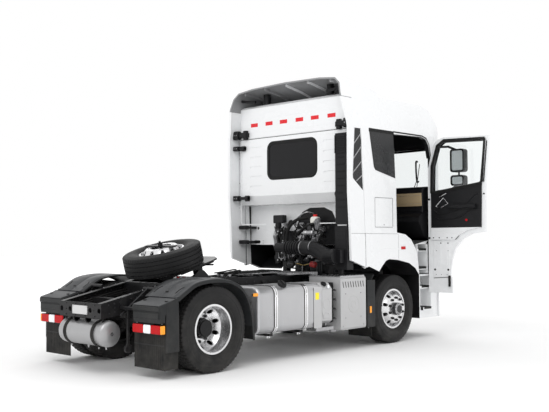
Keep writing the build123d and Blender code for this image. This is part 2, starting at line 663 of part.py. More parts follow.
def bolted_bracket(side, y, z_low, z_high, reach):
    """L bracket from the frame rail's web out under a tank or box."""
    post = span(mirrored(side, RAIL_OUT_X, RAIL_OUT_X + 40), (y - 35, y + 35), (z_low, z_high))
    foot = span(mirrored(side, RAIL_OUT_X, reach), (y - 35, y + 35), (z_low, z_low + 38))
    return [post, foot]


def make_fuel_tank():
    """Rounded aluminium tank, its straps, brackets and an angled filler."""
    tank = tank_slice(0, (TANK_FRONT_Y, TANK_REAR_Y))
    neck = Pos(-SIDE_BOX_OUT_X + 90, TANK_REAR_Y - 500, TANK_TOP - 30) * Rot(0, -38, 0)
    filler = neck * Cylinder(48, 110)
    cap = neck * Pos(0, 0, 68) * Cylinder(62, 44)
    NODES["fuel_tank"] = fuse(tank, filler, cap)
    bands = []
    for y in TANK_STRAP_YS:
        low, high = y - STRAP_WIDTH / 2, y + STRAP_WIDTH / 2
        outer = tank_slice(-STRAP_THICK - SEAT_GAP, (low, high))
        band = outer - tank_slice(-SEAT_GAP, (low - 1, high + 1))
        bands.append(band)
        bands.extend(bolted_bracket(-1, y, TANK_BOTTOM - 46, RAIL_TOP - 60, SIDE_BOX_OUT_X - 90))
    NODES["tank_straps"] = fuse(*bands[:3]) + fuse(*bands[3:])


def make_exhaust_box():
    """Exhaust aftertreatment box with a row of louvres, on a bracket, with its outlet pipe."""
    x = (-SIDE_BOX_OUT_X + 20, -SIDE_BOX_OUT_X + EXHAUST_WIDTH)
    box = span(x, (EXHAUST_FRONT_Y, EXHAUST_REAR_Y), (EXHAUST_BOTTOM, EXHAUST_TOP))
    box = fillet(box.edges().filter_by(Axis.Y).group_by(Axis.X)[0], 28)
    pitch = (EXHAUST_REAR_Y - EXHAUST_FRONT_Y - 120) / (LOUVRE_COUNT - 1)
    for index in range(LOUVRE_COUNT):
        y = EXHAUST_FRONT_Y + 60 + index * pitch
        box -= Pos(x[0], y, EXHAUST_TOP - 100) * Rot(-14, 0, 0) * Box(16, 16, 90)
    pipes = [rod_x(55, EXHAUST_FRONT_Y + 140, EXHAUST_BOTTOM + 130, (x[1] - 1, -RAIL_OUT_X - 40)),
             span((-RAIL_OUT_X - 41, -RAIL_OUT_X), (EXHAUST_FRONT_Y + 60, EXHAUST_REAR_Y - 60), (820, 1000)),
             span((x[1] - 1, -RAIL_OUT_X - 30), (EXHAUST_FRONT_Y + 200, EXHAUST_REAR_Y - 200), (840, 960)),
             pipe(48, (x[1] - 30, EXHAUST_REAR_Y - 300, EXHAUST_BOTTOM + 80),
                  (-RAIL_OUT_X - 60, EXHAUST_REAR_Y - 200, 480), (-200, EXHAUST_REAR_Y - 60, 500))]
    NODES["exhaust_box"] = fuse(box, *pipes)


def make_urea_tank():
    """Urea tank with a chamfered front, its bracket and the step below it."""
    y = (UREA_FRONT_Y, UREA_REAR_Y)
    x_out = -SIDE_BOX_OUT_X + 25
    outline = [
        (x_out, 470), (x_out, 900), (x_out + 70, 985), (x_out + 480, 985),
        (x_out + 480, 430), (x_out + 50, 430),
    ]
    tank = prism_y(outline, y)
    step = span((-SIDE_BOX_OUT_X + 10, -SIDE_BOX_OUT_X + 190), (y[0] - 15, y[1] + 120), (340, 385))
    hangers = [span((-SIDE_BOX_OUT_X + 120, -SIDE_BOX_OUT_X + 160), (place, place + 25), (384, 431))
               for place in (y[0] + 10, y[1] - 35)]
    arm = span((x_out + 479, -RAIL_OUT_X), (y[0] + 60, y[1] - 60), (830, 950))
    NODES["urea_tank"] = fuse(tank, step, arm, *hangers)


def make_battery_box():
    """Battery box with a ribbed lid, and a tool locker ahead of it, on the left rail."""
    x = (SIDE_BOX_OUT_X - 560, SIDE_BOX_OUT_X - 20)
    box = span(x, (BATTERY_FRONT_Y, BATTERY_REAR_Y), (430, 900))
    lid = span((x[0] - 8, x[1] + 8), (BATTERY_FRONT_Y - 8, BATTERY_REAR_Y + 8), (899, 945))
    ribs = [span((x[1] - 1, x[1] + 7), (y, y + 24), (470, 860))
            for y in range(BATTERY_FRONT_Y + 90, BATTERY_REAR_Y - 80, 110)]
    arms = [span((RAIL_OUT_X, x[0] + 1), (y, y + 60), (820, 900)) for y in
            (BATTERY_FRONT_Y + 120, BATTERY_REAR_Y - 180)]
    locker = span((x[0], x[1]), (EXHAUST_FRONT_Y, BATTERY_FRONT_Y - 60), (400, 960))
    locker = fillet(locker.edges().filter_by(Axis.Y), 40)
    panel = span((x[1] - 1, x[1] + 6), (EXHAUST_FRONT_Y + 60, BATTERY_FRONT_Y - 120), (470, 890))
    arms.append(span((RAIL_OUT_X, x[0] + 1), (EXHAUST_FRONT_Y + 200, BATTERY_FRONT_Y - 260), (820, 920)))
    NODES["battery_box"] = fuse(box, lid, *ribs, arms[0], arms[1])
    NODES["tool_locker"] = fuse(locker, panel, arms[2])


def domed_tank(radius, half, dome):
    """Pressure vessel about Z with shallow domed ends."""
    body = Cylinder(radius, 2 * (half - dome))
    for sign in (1, -1):
        cap = Pos(0, 0, sign * (half - dome)) * scale(Sphere(radius), by=(1, 1, dome / radius))
        body += cap
    return body


def make_air_tanks():
    """Air tank across the rear of the frame and two along the left rail, strapped up."""
    rear = Pos(0, AIR_TANK_Y, AIR_TANK_Z) * Rot(0, 90, 0) * domed_tank(AIR_TANK_RADIUS, AIR_TANK_HALF, 60)
    side_tanks = [Pos(RAIL_OUT_X + 150, -980, 640) * Rot(90, 0, 0) * domed_tank(118, 155, 45)]
    NODES["air_tanks"] = Compound(children=[rear, *side_tanks])
    straps = []
    for side in SIDES:
        x = side * 285
        ring = rod_x(AIR_TANK_RADIUS + 9, AIR_TANK_Y, AIR_TANK_Z, (x - 28, x + 28))
        ring -= rod_x(AIR_TANK_RADIUS + SEAT_GAP, AIR_TANK_Y, AIR_TANK_Z, (x - 29, x + 29))
        post = span((x - 28, x + 28), (AIR_TANK_Y - 30, AIR_TANK_Y + 30),
                    (AIR_TANK_Z + AIR_TANK_RADIUS + 2, RAIL_REAR_BOTTOM + 30))
        post_top = span(mirrored(side, 285, RAIL_OUT_X - RAIL_WALL),
                        (AIR_TANK_Y - 30, AIR_TANK_Y + 30),
                        (RAIL_REAR_BOTTOM + 30 - 1, RAIL_REAR_BOTTOM + 60))
        straps.append(fuse(ring, post, post_top))
    for y in (-1050, -910):
        ring = rod_y(118 + 8, RAIL_OUT_X + 150, 640, (y - 20, y + 20))
        ring -= rod_y(118 + SEAT_GAP, RAIL_OUT_X + 150, 640, (y - 21, y + 21))
        hook = span((RAIL_OUT_X, RAIL_OUT_X + 120), (y - 20, y + 20), (754, RAIL_BOTTOM + 60))
        straps.append(fuse(ring, hook))
    NODES["air_tank_straps"] = Compound(children=straps)


def make_catwalk():
    """Chequer plates over the rails behind the cab, with their cross supports."""
    deck_z = (RAIL_TOP + 34, RAIL_TOP + 40)
    deck = span((-620, 560), (-2620, -1960), deck_z)
    step = span((-330, 330), (-1960, -1560), deck_z)
    feet = [span((-RAIL_OUT_X, RAIL_OUT_X), (y, y + 50), (RAIL_TOP, deck_z[0] + 1))
            for y in (-2600, -2300, -2010, -1640)]
    cover = span((-SIDE_BOX_OUT_X + 40, -621), (EXHAUST_FRONT_Y + 10, EXHAUST_REAR_Y - 10),
                 (EXHAUST_TOP, EXHAUST_TOP + 14))
    link = span((-640, -600), (-2600, EXHAUST_REAR_Y - 60), (EXHAUST_TOP + 13, deck_z[0] + 1))
    NODES["catwalk"] = fuse(deck, step, cover, link, *feet)


# ---------------------------------------------------------------- rear fenders, flaps and lamps
FENDER_LINE = (
    # y, z of the outer skin from the front foot over the top to the rear
    (-690, 340), (-640, 720), (-500, 985), (-280, 1098), (0, 1128), (280, 1098), (470, 1005), (590, 930),
)


def fender_band(outline, thick):
    """Closed outline of a band: the line and the same line moved towards the wheel."""
    centre_y, centre_z = 0, TYRE_RADIUS
    inner = []
    for y, z in reversed(outline):
        length = ((y - centre_y) ** 2 + (z - centre_z) ** 2) ** 0.5
        factor = (length - thick) / length
        inner.append((centre_y + (y - centre_y) * factor, centre_z + (z - centre_z) * factor))
    return list(outline) + inner


def make_rear_fenders():
    """Fender over each twin wheel with an outer lip, end box, joint ribs and carrying tubes."""
    pieces = []
    for side in SIDES:
        shell = prism_x(fender_band(FENDER_LINE, FENDER_THICK), mirrored(side, FENDER_IN_X, FENDER_OUT_X))
        lip = prism_x(fender_band(FENDER_LINE, FENDER_LIP), mirrored(side, FENDER_OUT_X - 14, FENDER_OUT_X))
        box_outline = [
            (560, 915), (600, 915), (LAMP_Y + 50, 850), (LAMP_Y + 60, 835), (LAMP_Y + 60, 790),
            (LAMP_Y + 45, 780), (LAMP_Y + 45, 645), (LAMP_Y - 40, 645), (LAMP_Y - 40, 730), (LAMP_Y - 60, 760), (600, 830), (560, 860),
        ]
        box = prism_x(box_outline, mirrored(side, FENDER_IN_X + 100, FENDER_OUT_X))
        top_joint = prism_x([(540, 950), (600, 925), (600, 905), (540, 905)],
                            mirrored(side, FENDER_IN_X + 60, FENDER_OUT_X))
        ribs = [prism_x(fender_band(((-46 + y, 1134), (46 + y, 1134)), 20),
                        mirrored(side, FENDER_IN_X + 10, FENDER_OUT_X - 10)) for y in (0,)]
        tubes = [rod_x(24, y, z, mirrored(side, RAIL_OUT_X, FENDER_IN_X + 60))
                 for y, z in ((-430, 1010), (430, 1000))]
        pieces.append(fuse(shell, lip, box, top_joint, *ribs, *tubes))
        pieces[-1] += span(mirrored(side, RAIL_OUT_X + 12, FENDER_IN_X + 160), (LAMP_Y - 30, LAMP_Y + 10), (770, 812))
    NODES["rear_fenders"] = Compound(children=pieces)


def make_flaps():
    """Rear mud flaps, and the mud shields with flaps behind the front wheels."""
    pieces = []
    for side in SIDES:
        flap_x = mirrored(side, FENDER_OUT_X - 580, FENDER_OUT_X - 20)
        pieces.append(span(flap_x, (LAMP_Y - 52, LAMP_Y - 40 - SEAT_GAP), (FLAP_BOTTOM, 700)))
    NODES["rear_flaps"] = Compound(children=pieces)
    shields = []
    for side in SIDES:
        plate_y = SHIELD_Y
        plate = span(mirrored(side, 700, 1205), (plate_y, plate_y + 16), (300, 985))
        wing = span(mirrored(side, 1190, 1206), (plate_y - 62, plate_y + 130), (300, 985))
        roof = prism_x([(plate_y, 984), (plate_y - 60, 1060), (plate_y - 60, 1074), (plate_y + 16, 984)],
                       mirrored(side, 700, 1190))
        stay = span(mirrored(side, RAIL_OUT_X, 710), (plate_y + 2, plate_y + 14), (820, 900))
        flap = span(mirrored(side, 760, 1185), (plate_y + 4, plate_y + 12), (150, 301))
        shields.append(fuse(plate, wing, roof, stay, flap))
    NODES["front_shields"] = Compound(children=shields)


def make_lamps():
    """Tail lamps under the fender boxes, headlamps in the bumper and side marker lamps."""
    pieces = []
    for side in SIDES:
        tail = span(mirrored(side, FENDER_OUT_X - 530, FENDER_OUT_X + 5), (LAMP_Y - 30, LAMP_Y + 38), (522, 632))
        back = span(mirrored(side, FENDER_OUT_X - 440, FENDER_OUT_X - 180), (LAMP_Y - 38, LAMP_Y - 6), (600, 645))
        pieces.append(fuse(tail, back))
    NODES["tail_lamps"] = Compound(children=pieces)
    NODES["headlamps"] = Compound(children=[
        headlamp(side) for side in SIDES])


def headlamp(side):
    """Headlamp body set into the bumper's corner pocket."""
    block = span(mirrored(side, HEADLAMP_IN, HEADLAMP_OUT), (CAB_FRONT_Y, BUMPER_BACK_Y - 40), HEADLAMP_Z)
    pocket = bumper_shape(8) & block
    return pocket - bumper_shape(BUMPER_WALL + 40)


# ---------------------------------------------------------------- bumper and lower steps
def bumper_shape(inset):
    """Bumper volume: the cab's plan brought in by inset, between its low and high edges."""
    body = extrude(Plane.XY.offset(BUMPER_BOTTOM) * cab_plan(inset), amount=BUMPER_TOP - BUMPER_BOTTOM)
    return body & span((-2000, 2000), (-9000, BUMPER_BACK_Y), (0, 2000))


def make_bumper():
    """Front bumper with corners, lamp pockets and the lower step wells behind them."""
    wall = bumper_shape(0) - bumper_shape(BUMPER_WALL)
    for side in SIDES:
        wall -= span(mirrored(side, STEP_HALF_OUT, 2000), (-9000, 0), (DOOR_SKIRT_Z - SEAM_GAP, 2000))
        gap = SEAT_GAP
        wall -= span(mirrored(side, HEADLAMP_IN - gap, HEADLAMP_OUT + gap), (CAB_FRONT_Y - 10, BUMPER_BACK_Y - 40 + gap),
                     (HEADLAMP_Z[0] - gap, HEADLAMP_Z[1] + gap))
    wall -= span((-130, 130), (CAB_FRONT_Y - 10, CAB_FRONT_Y + 80), (TOW_Z - 80, TOW_Z + 80))
    for z in (390, 450):
        wall -= span((-520, 520), (CAB_FRONT_Y - 10, CAB_FRONT_Y + 80), (z, z + 34))
    pieces = [wall]
    for side in SIDES:
        module = span(mirrored(side, STEP_HALF_IN, STEP_HALF_OUT), (STEP_FRONT_Y, STEP_REAR_Y),
                      (BUMPER_BOTTOM, STEP_TOP))
        # wells between the treads: low z, high z
        for low, high in ((500, 792), (837, 995)):
            module -= span(mirrored(side, STEP_HALF_IN + 55, STEP_HALF_OUT + 1),
                           (STEP_FRONT_Y + 210, STEP_REAR_Y - 20), (low, high))
        module -= span(mirrored(side, STEP_HALF_IN + 15, STEP_HALF_OUT - 60),
                       (STEP_FRONT_Y + 60, STEP_REAR_Y - 20), (BUMPER_BOTTOM - 1, 440))
        shelf = span(mirrored(side, STEP_HALF_OUT - 1, STEP_HALF_OUT + 45), (STEP_FRONT_Y + 215, STEP_REAR_Y - 40),
                     (455, 500))
        arm = span(mirrored(side, RAIL_OUT_X, STEP_HALF_IN + 1), (STEP_REAR_Y - 300, STEP_REAR_Y - 240), (820, 900))
        stay = span(mirrored(side, RAIL_OUT_X - 74, RAIL_OUT_X - 16), (CAB_FRONT_Y + 30, RAIL_FRONT_Y), (700, 850))
        pieces.extend([module, shelf, arm, stay])
    whole = fuse(*pieces)
    NODES["bumper"] = whole


# ---------------------------------------------------------------- cab shell
def cab_plan(inset):
    """Plan face of the cab: round rear corners, corners swept by two arcs at the front."""
    half = CAB_HALF_WIDTH
    side = Line((half, CAB_REAR_Y), (half, CAB_CORNER_START_Y))
    sweep = JernArc(side @ 1, (0, -1), CORNER_SWEEP_RADIUS, -CORNER_SWEEP_ANGLE)
    turn = JernArc(sweep @ 1, sweep % 1, CORNER_TURN_RADIUS, CORNER_SWEEP_ANGLE - 88)
    shoulder = turn @ 1
    front = ThreePointArc(shoulder, (0, CAB_FRONT_Y), (-shoulder.X, shoulder.Y))
    run = [side, sweep, turn]
    across = [mirror(edge, Plane.YZ) for edge in run]
    back = Line((-half, CAB_REAR_Y), (half, CAB_REAR_Y))
    face = make_face([*run, front, *across, back])
    rear = [corner for corner in face.vertices() if corner.Y > CAB_REAR_Y - 1]
    face = fillet(rear, REAR_CORNER_RADIUS)
    if inset:
        face = offset(face, amount=-inset)
    return face


def cab_side_face(inset, bottom):
    """Side face of the cab in (y, z), brought in by inset except at its bottom."""
    under = SLEEPER_UNDER_Z
    outline = [
        (LOWER_REAR_Y, bottom - 200), (LOWER_REAR_Y, under), (CAB_REAR_Y - 90, under + 10),
        (CAB_REAR_Y, under + 150), (CAB_REAR_Y, ROOF_TOP - 110), (CAB_REAR_Y - 60, ROOF_TOP - 65),
        (CAB_REAR_Y - 545, ROOF_TOP), (CAB_FRONT_Y + 620, ROOF_TOP - 10), (CAB_FRONT_Y + 430, ROOF_TOP - 100),
        (CAB_FRONT_Y + 270, ROOF_TOP - 330), (CAB_FRONT_Y + 90, ROOF_TOP - 650), (CAB_FRONT_Y + 14, 1960),
        (CAB_FRONT_Y, 1760), (CAB_FRONT_Y, bottom - 200),
    ]
    face = make_face(Polyline(*outline, close=True))
    if inset:
        face = offset(face, amount=-inset, kind=Kind.INTERSECTION)
    keep = Pos((LOWER_REAR_Y + CAB_FRONT_Y) / 2, bottom + 3000) * Rectangle(6000, 6000)
    return face & keep


def cab_front_face(inset):
    """Front face of the cab in (x, z): upright sides, then the roof leaning in."""
    half = CAB_HALF_WIDTH
    edge = HIGH_ROOF_EDGE_HALF
    right = [
        (half, 0), (half, ROOF_SEAM_Z), (half - 90, ROOF_TOP - 150), (edge, ROOF_TOP - 55),
        (edge - 400, ROOF_TOP), (0, ROOF_TOP + 1),
    ]
    outline = right + [(-x, z) for x, z in reversed(right[:-1])]
    face = make_face(Polyline(*outline, close=True))
    if inset:
        face = offset(face, amount=-inset, kind=Kind.INTERSECTION)
    return face


def cab_volume(inset, bottom=CAB_FLOOR_BOTTOM):
    """Closed volume of the cab, every face but the bottom brought in by inset."""
    plan = extrude(Plane.XY.offset(bottom) * cab_plan(inset), amount=4000)
    side = extrude(Plane.YZ.offset(-2000) * cab_side_face(inset, bottom), amount=4000)
    front = extrude(Plane.XZ.offset(2000) * cab_front_face(inset), amount=4500)
    return plan & side & front


VOLUMES = {}


def volume(inset, bottom=CAB_FLOOR_BOTTOM):
    """cab_volume, each one made once."""
    key = (inset, bottom)
    if key not in VOLUMES:
        VOLUMES[key] = cab_volume(inset, bottom)
    return VOLUMES[key]


def skin(outer, inner, bottom=CAB_FLOOR_BOTTOM):
    """Layer of the cab between two insets, open below."""
    return volume(outer, bottom) - volume(inner, bottom)


def side_prism(outline, side, near, far, grow=0.0):
    """Side outline in (y, z), grown and carried between two distances from the middle."""
    face = make_face(Polyline(*outline, close=True))
    if grow:
        face = offset(face, amount=grow, kind=Kind.INTERSECTION)
    x = mirrored(side, near, far)
    return extrude(Plane.YZ.offset(x[0]) * face, amount=x[1] - x[0])


def door_outline():
    """Door edge in (y, z): frame, rear edge, the curve round the wheel arch and the skirt."""
    front = DOOR_PIVOT_Y - DOOR_EDGE_AHEAD
    arch = -WHEELBASE
    return [
        (front, DOOR_SKIRT_Z), (front, 2700), (front + 100, 3080), (front + 170, 3165), (front + 285, DOOR_TOP_Z),
        (arch + 105, DOOR_TOP_Z - 20), (arch + 45, 2480), (arch + 32, 1690), (arch - 185, 1662),
        (arch - 345, 1582), (arch - 480, 1425), (arch - 537, 1225), (arch - 563, 1017), (arch - 535, 940),
        (arch - 535, DOOR_SKIRT_Z),
    ]


def window_outline():
    """Door window in (y, z)."""
    front = DOOR_PIVOT_Y - DOOR_EDGE_AHEAD
    arch = -WHEELBASE
    return [
        (front + 95, 2330), (front + 105, 2740), (front + 200, 3050), (front + 300, DOOR_TOP_Z - 75),
        (arch + 25, DOOR_TOP_Z - 95), (arch - 30, 2480), (arch - 60, 2450),
    ]


def quarter_outline():
    """Dark quarter panel behind the door in (y, z)."""
    return [(-3072, 3205), (-3672, 3190), (-3728, 2505), (-3223, 2607), (-3187, 2649)]


def arch_line():
    """Lower edge of the cab side in (y, z), from its rear end over the wheel arch."""
    arch = -WHEELBASE
    return [
        (LOWER_REAR_Y, 1188), (arch + 500, 1106), (arch + 490, 1120), (arch + 425, 1185), (arch + 325, 1263),
        (arch + 245, 1283), (arch + 10, 1265), (arch - 282, 1212), (arch - 446, 1130), (arch - 555, 1017),
    ]


def hinge_bracket(side, z):
    """Cab half of a door hinge: an arm from behind the pillar, with its upright pin."""
    x = CAB_HALF_WIDTH - DOOR_PIVOT_INSET
    split = DOOR_PIVOT_Y - DOOR_EDGE_AHEAD - SEAM_GAP
    heights = (z - HINGE_HEIGHT / 2, z - HINGE_ROOM / 2)
    eye = HINGE_EYE_RADIUS
    arm = span(mirrored(side, x - 74, x), (DOOR_PIVOT_Y - eye, DOOR_PIVOT_Y + eye), heights)
    root = span(mirrored(side, x - 74, x - 48), (split - 40, DOOR_PIVOT_Y + eye), heights)
    end = rod_z(eye, side * x, DOOR_PIVOT_Y, heights)
    pin = rod_z(HINGE_PIN_RADIUS, side * x, DOOR_PIVOT_Y, (z - HINGE_HEIGHT / 2, z + HINGE_HEIGHT / 2))
    return fuse(arm, root, end, pin)


def windscreen_outline():
    """Windscreen in (x, z)."""
    return [(-1060, 2010), (1060, 2010), (1010, 3020), (940, 3080), (-940, 3080), (-1010, 3020)]


def lid_pin(side):
    """Pin from the corner panel into the end of the front lid."""
    y = lid_pivot_y()
    root = span(mirrored(side, LID_HALF_WIDTH + SEAM_GAP - 1, LID_HALF_WIDTH + SEAM_GAP + 40),
                (y - 8, y + 40), (LID_TOP - LID_PIVOT_DROP - 20, LID_TOP - LID_PIVOT_DROP + 20))
    pin = rod_x(LID_HINGE_RADIUS, y, LID_TOP - LID_PIVOT_DROP,
                mirrored(side, LID_HALF_WIDTH - 60, LID_HALF_WIDTH + SEAM_GAP + 1))
    return fuse(root, pin)


def lid_pivot_y():
    """The lid's hinge line, just behind its front face."""
    return CAB_FRONT_Y + 10 + LID_PIVOT_INSET


def make_cab_shell():
    """Floor, sides, rear wall, roof and front of the cab, split where the panels meet."""
    shell = skin(0, CAB_WALL)
    front_split = DOOR_PIVOT_Y - DOOR_EDGE_AHEAD - SEAM_GAP
    inner = CAB_HALF_WIDTH - CAB_WALL
    high = ROOF_SEAM_Z
    far = 2000
    roof = shell & span((-far, far), (-6000, 0), (high, 5000))
    below = shell & span((-far, far), (-6000, 0), (0, high))
    front = below & span((-far, far), (-6000, front_split), (0, high))
    rear = below & span((-far, far), (CAB_SIDE_SEAM_Y, 0), (0, high))
    lower_rear = span((-inner, inner), (LOWER_REAR_Y - CAB_WALL - 1, CAB_SIDE_SEAM_Y), (0, SLEEPER_UNDER_Z + CAB_WALL + 1))
    rear += below & lower_rear
    NODES["cab_roof"] = roof
    # rear wall: window, engine cover opening and pressed ribs
    window = span((-WINDOW_HALF, WINDOW_HALF), (CAB_REAR_Y - 200, CAB_REAR_Y + 50), REAR_WINDOW_Z)
    window = fillet(window.edges().filter_by(Axis.Y), 45)
    rear -= window
    hatch = prism_y(HATCH_OUTLINE, (LOWER_REAR_Y - 200, LOWER_REAR_Y + 50))
    rear -= hatch
    for side in SIDES:
        for index in range(5):
            z = 2420 + index * 155
            rear -= span(mirrored(side, 640, 900), (CAB_REAR_Y - 8, CAB_REAR_Y + 1), (z, z + 26))
    rear -= span((-930, 930), (CAB_REAR_Y - 10, CAB_REAR_Y + 1), (high - 26, high - 12))
    for side in SIDES:
        rear -= side_prism(FAIRING_OUTLINE, side, CAB_HALF_WIDTH - FAIRING_THICK - 10, far, SEAM_GAP)
    NODES["cab_rear_wall"] = rear
    # sides: door openings, recesses, wheel arch panels and the upper steps
    sides = []
    for side in SIDES:
        panel = below & span(mirrored(side, inner, far), (front_split, CAB_SIDE_SEAM_Y), (0, high))
        lower = arch_line() + [
            (-WHEELBASE - 555, CAB_FLOOR_BOTTOM + 1), (LOWER_REAR_Y - 60, CAB_FLOOR_BOTTOM + 1),
            (LOWER_REAR_Y - 60, 2200), (CAB_SIDE_SEAM_Y, 2200), (CAB_SIDE_SEAM_Y, 1160),
        ]
        panel += side_prism(lower, side, inner, CAB_HALF_WIDTH)
        panel -= side_prism(door_outline(), side, inner - 100, far, SEAM_GAP)
        panel -= side_prism(quarter_outline(), side, CAB_HALF_WIDTH - 8, far)
        locker = span(mirrored(side, CAB_HALF_WIDTH - 6, far), (-3656, -3205), (1762, 2202))
        panel -= locker - span(mirrored(side, 0, far), (-3650, -3211), (1768, 2196))
        fairing = side_prism(FAIRING_OUTLINE, side, CAB_HALF_WIDTH - FAIRING_THICK - 10, far, SEAM_GAP)
        panel -= fairing
        panel -= span(mirrored(side, inner - 1, far), (DOOR_PIVOT_Y - 19, DOOR_PIVOT_Y + 20), (2690, 2880))
        sides.append(panel)
    NODES["cab_sides"] = Compound(children=sides)
    # front: windscreen, lid opening, corner deflectors, firewall and tilt arms
    front -= prism_y(windscreen_outline(), (-6000, front_split + 200))
    low_skin = skin(0, LID_THICK, DOOR_SKIRT_Z)
    low_skin = low_skin & span((-far, far), (-6000, front_split), (0, CAB_FLOOR_BOTTOM))
    corners = []
    for side in SIDES:
        corners.append(low_skin & span(mirrored(side, STEP_HALF_OUT + MOVING_GAP, far), (-6000, 0), (0, 2000)))
        corners.append(low_skin & span(mirrored(side, LID_HALF_WIDTH + SEAM_GAP, far), (-6000, 0),
                                       (STEP_TOP + 12, CAB_FLOOR_BOTTOM)))
    front = fuse(front, *corners)
    front -= span((-LID_HALF_WIDTH - SEAM_GAP, LID_HALF_WIDTH + SEAM_GAP), (-6000, FIREWALL_Y - 60),
                  (LID_BOTTOM - 20, LID_TOP + LID_TOP_GAP))
    firewall = span((-far, far), (FIREWALL_Y, FIREWALL_Y + 40), (CAB_FLOOR_BOTTOM, 1880)) & volume(LID_THICK)
    shelf = span((-far, far), (CAB_FRONT_Y + 20, FIREWALL_Y + 1), (1850, 1880)) & volume(CAB_WALL - 1)
    front = fuse(front, firewall, shelf)
    for side in SIDES:
        for z in DOOR_HINGE_ZS:
            front += hinge_bracket(side, z)
        arm = [
            (TILT_Y, TILT_Z - 32), (TILT_Y + 120, TILT_Z - 32), (TILT_Y + 120, 1640), (TILT_Y + 76, 1640),
            (TILT_Y + 76, TILT_Z + 40), (TILT_Y, TILT_Z + 38),
        ]
        arm_x = mirrored(side, TILT_ARM_X, TILT_ARM_X + TILT_ARM_THICK)
        front += prism_x(arm, arm_x)
        front += rod_x(38, TILT_Y, TILT_Z, arm_x)
        front -= rod_x(TILT_PIN_RADIUS + RUNNING_GAP, TILT_Y, TILT_Z, (arm_x[0] - 1, arm_x[1] + 1))
        front += lid_pin(side)
    NODES["cab_front"] = front
    make_cab_floor(inner)


def upper_steps(side):
    """Step well under the door opening, hung from the floor, with two treads."""
    out, back = STEP_HALF_OUT, STEP_HALF_IN
    y = (DOOR_PIVOT_Y + 20, STEP_REAR_Y + 60)
    well = span(mirrored(side, back, out), y, (STEP_TOP + 12, CAB_FLOOR_BOTTOM + 1))
    # openings between the treads: low z, high z
    for low, high in ((STEP_TOP - 50, 1096), (1138, 1386), (1426, CAB_FLOOR_BOTTOM + 1)):
        well -= span(mirrored(side, back + 22, out + 1), (y[0] + 24, y[1] - 24), (low, high))
    return well


def make_cab_floor(inner):
    """Floor with the engine tunnel, rear engine cover and wheel arch liners."""
    y = (FIREWALL_Y + 40, LOWER_REAR_Y - CAB_WALL)
    low, top = CAB_FLOOR_BOTTOM, CAB_FLOOR_BOTTOM + CAB_FLOOR_THICK
    half, wall, far = TUNNEL_HALF_WIDTH, 40, 2000
    section = [
        (-far, low), (-half, low), (-half, TUNNEL_TOP - 50), (half, TUNNEL_TOP - 50), (half, low), (far, low),
        (far, top), (half + wall, top), (half + wall, TUNNEL_TOP), (-half - wall, TUNNEL_TOP),
        (-half - wall, top), (-far, top),
    ]
    floor = prism_y(section, y) & volume(CAB_WALL)
    for side in SIDES:
        floor -= span(mirrored(side, SILL_X, far), (DOOR_PIVOT_Y - DOOR_EDGE_AHEAD - SEAM_GAP, -WHEELBASE + 110),
                      (low - 1, top + 1))
    floor = fuse(floor, *[upper_steps(side) for side in SIDES])
    cover_y = (LOWER_REAR_Y - CAB_WALL, LOWER_REAR_Y - 4)
    hatch = offset(make_face(Polyline(*HATCH_OUTLINE, close=True)), amount=-SEAT_GAP)
    cover = extrude(Plane.XZ.offset(-cover_y[1]) * hatch, amount=cover_y[1] - cover_y[0])
    line = arch_line()[1:]
    band = line + [(y_, z_ + 24) for y_, z_ in reversed(line)]
    liners = [side_prism(band, side, 720, inner) for side in SIDES]
    NODES["cab_floor"] = Compound(children=[floor, cover, *liners])


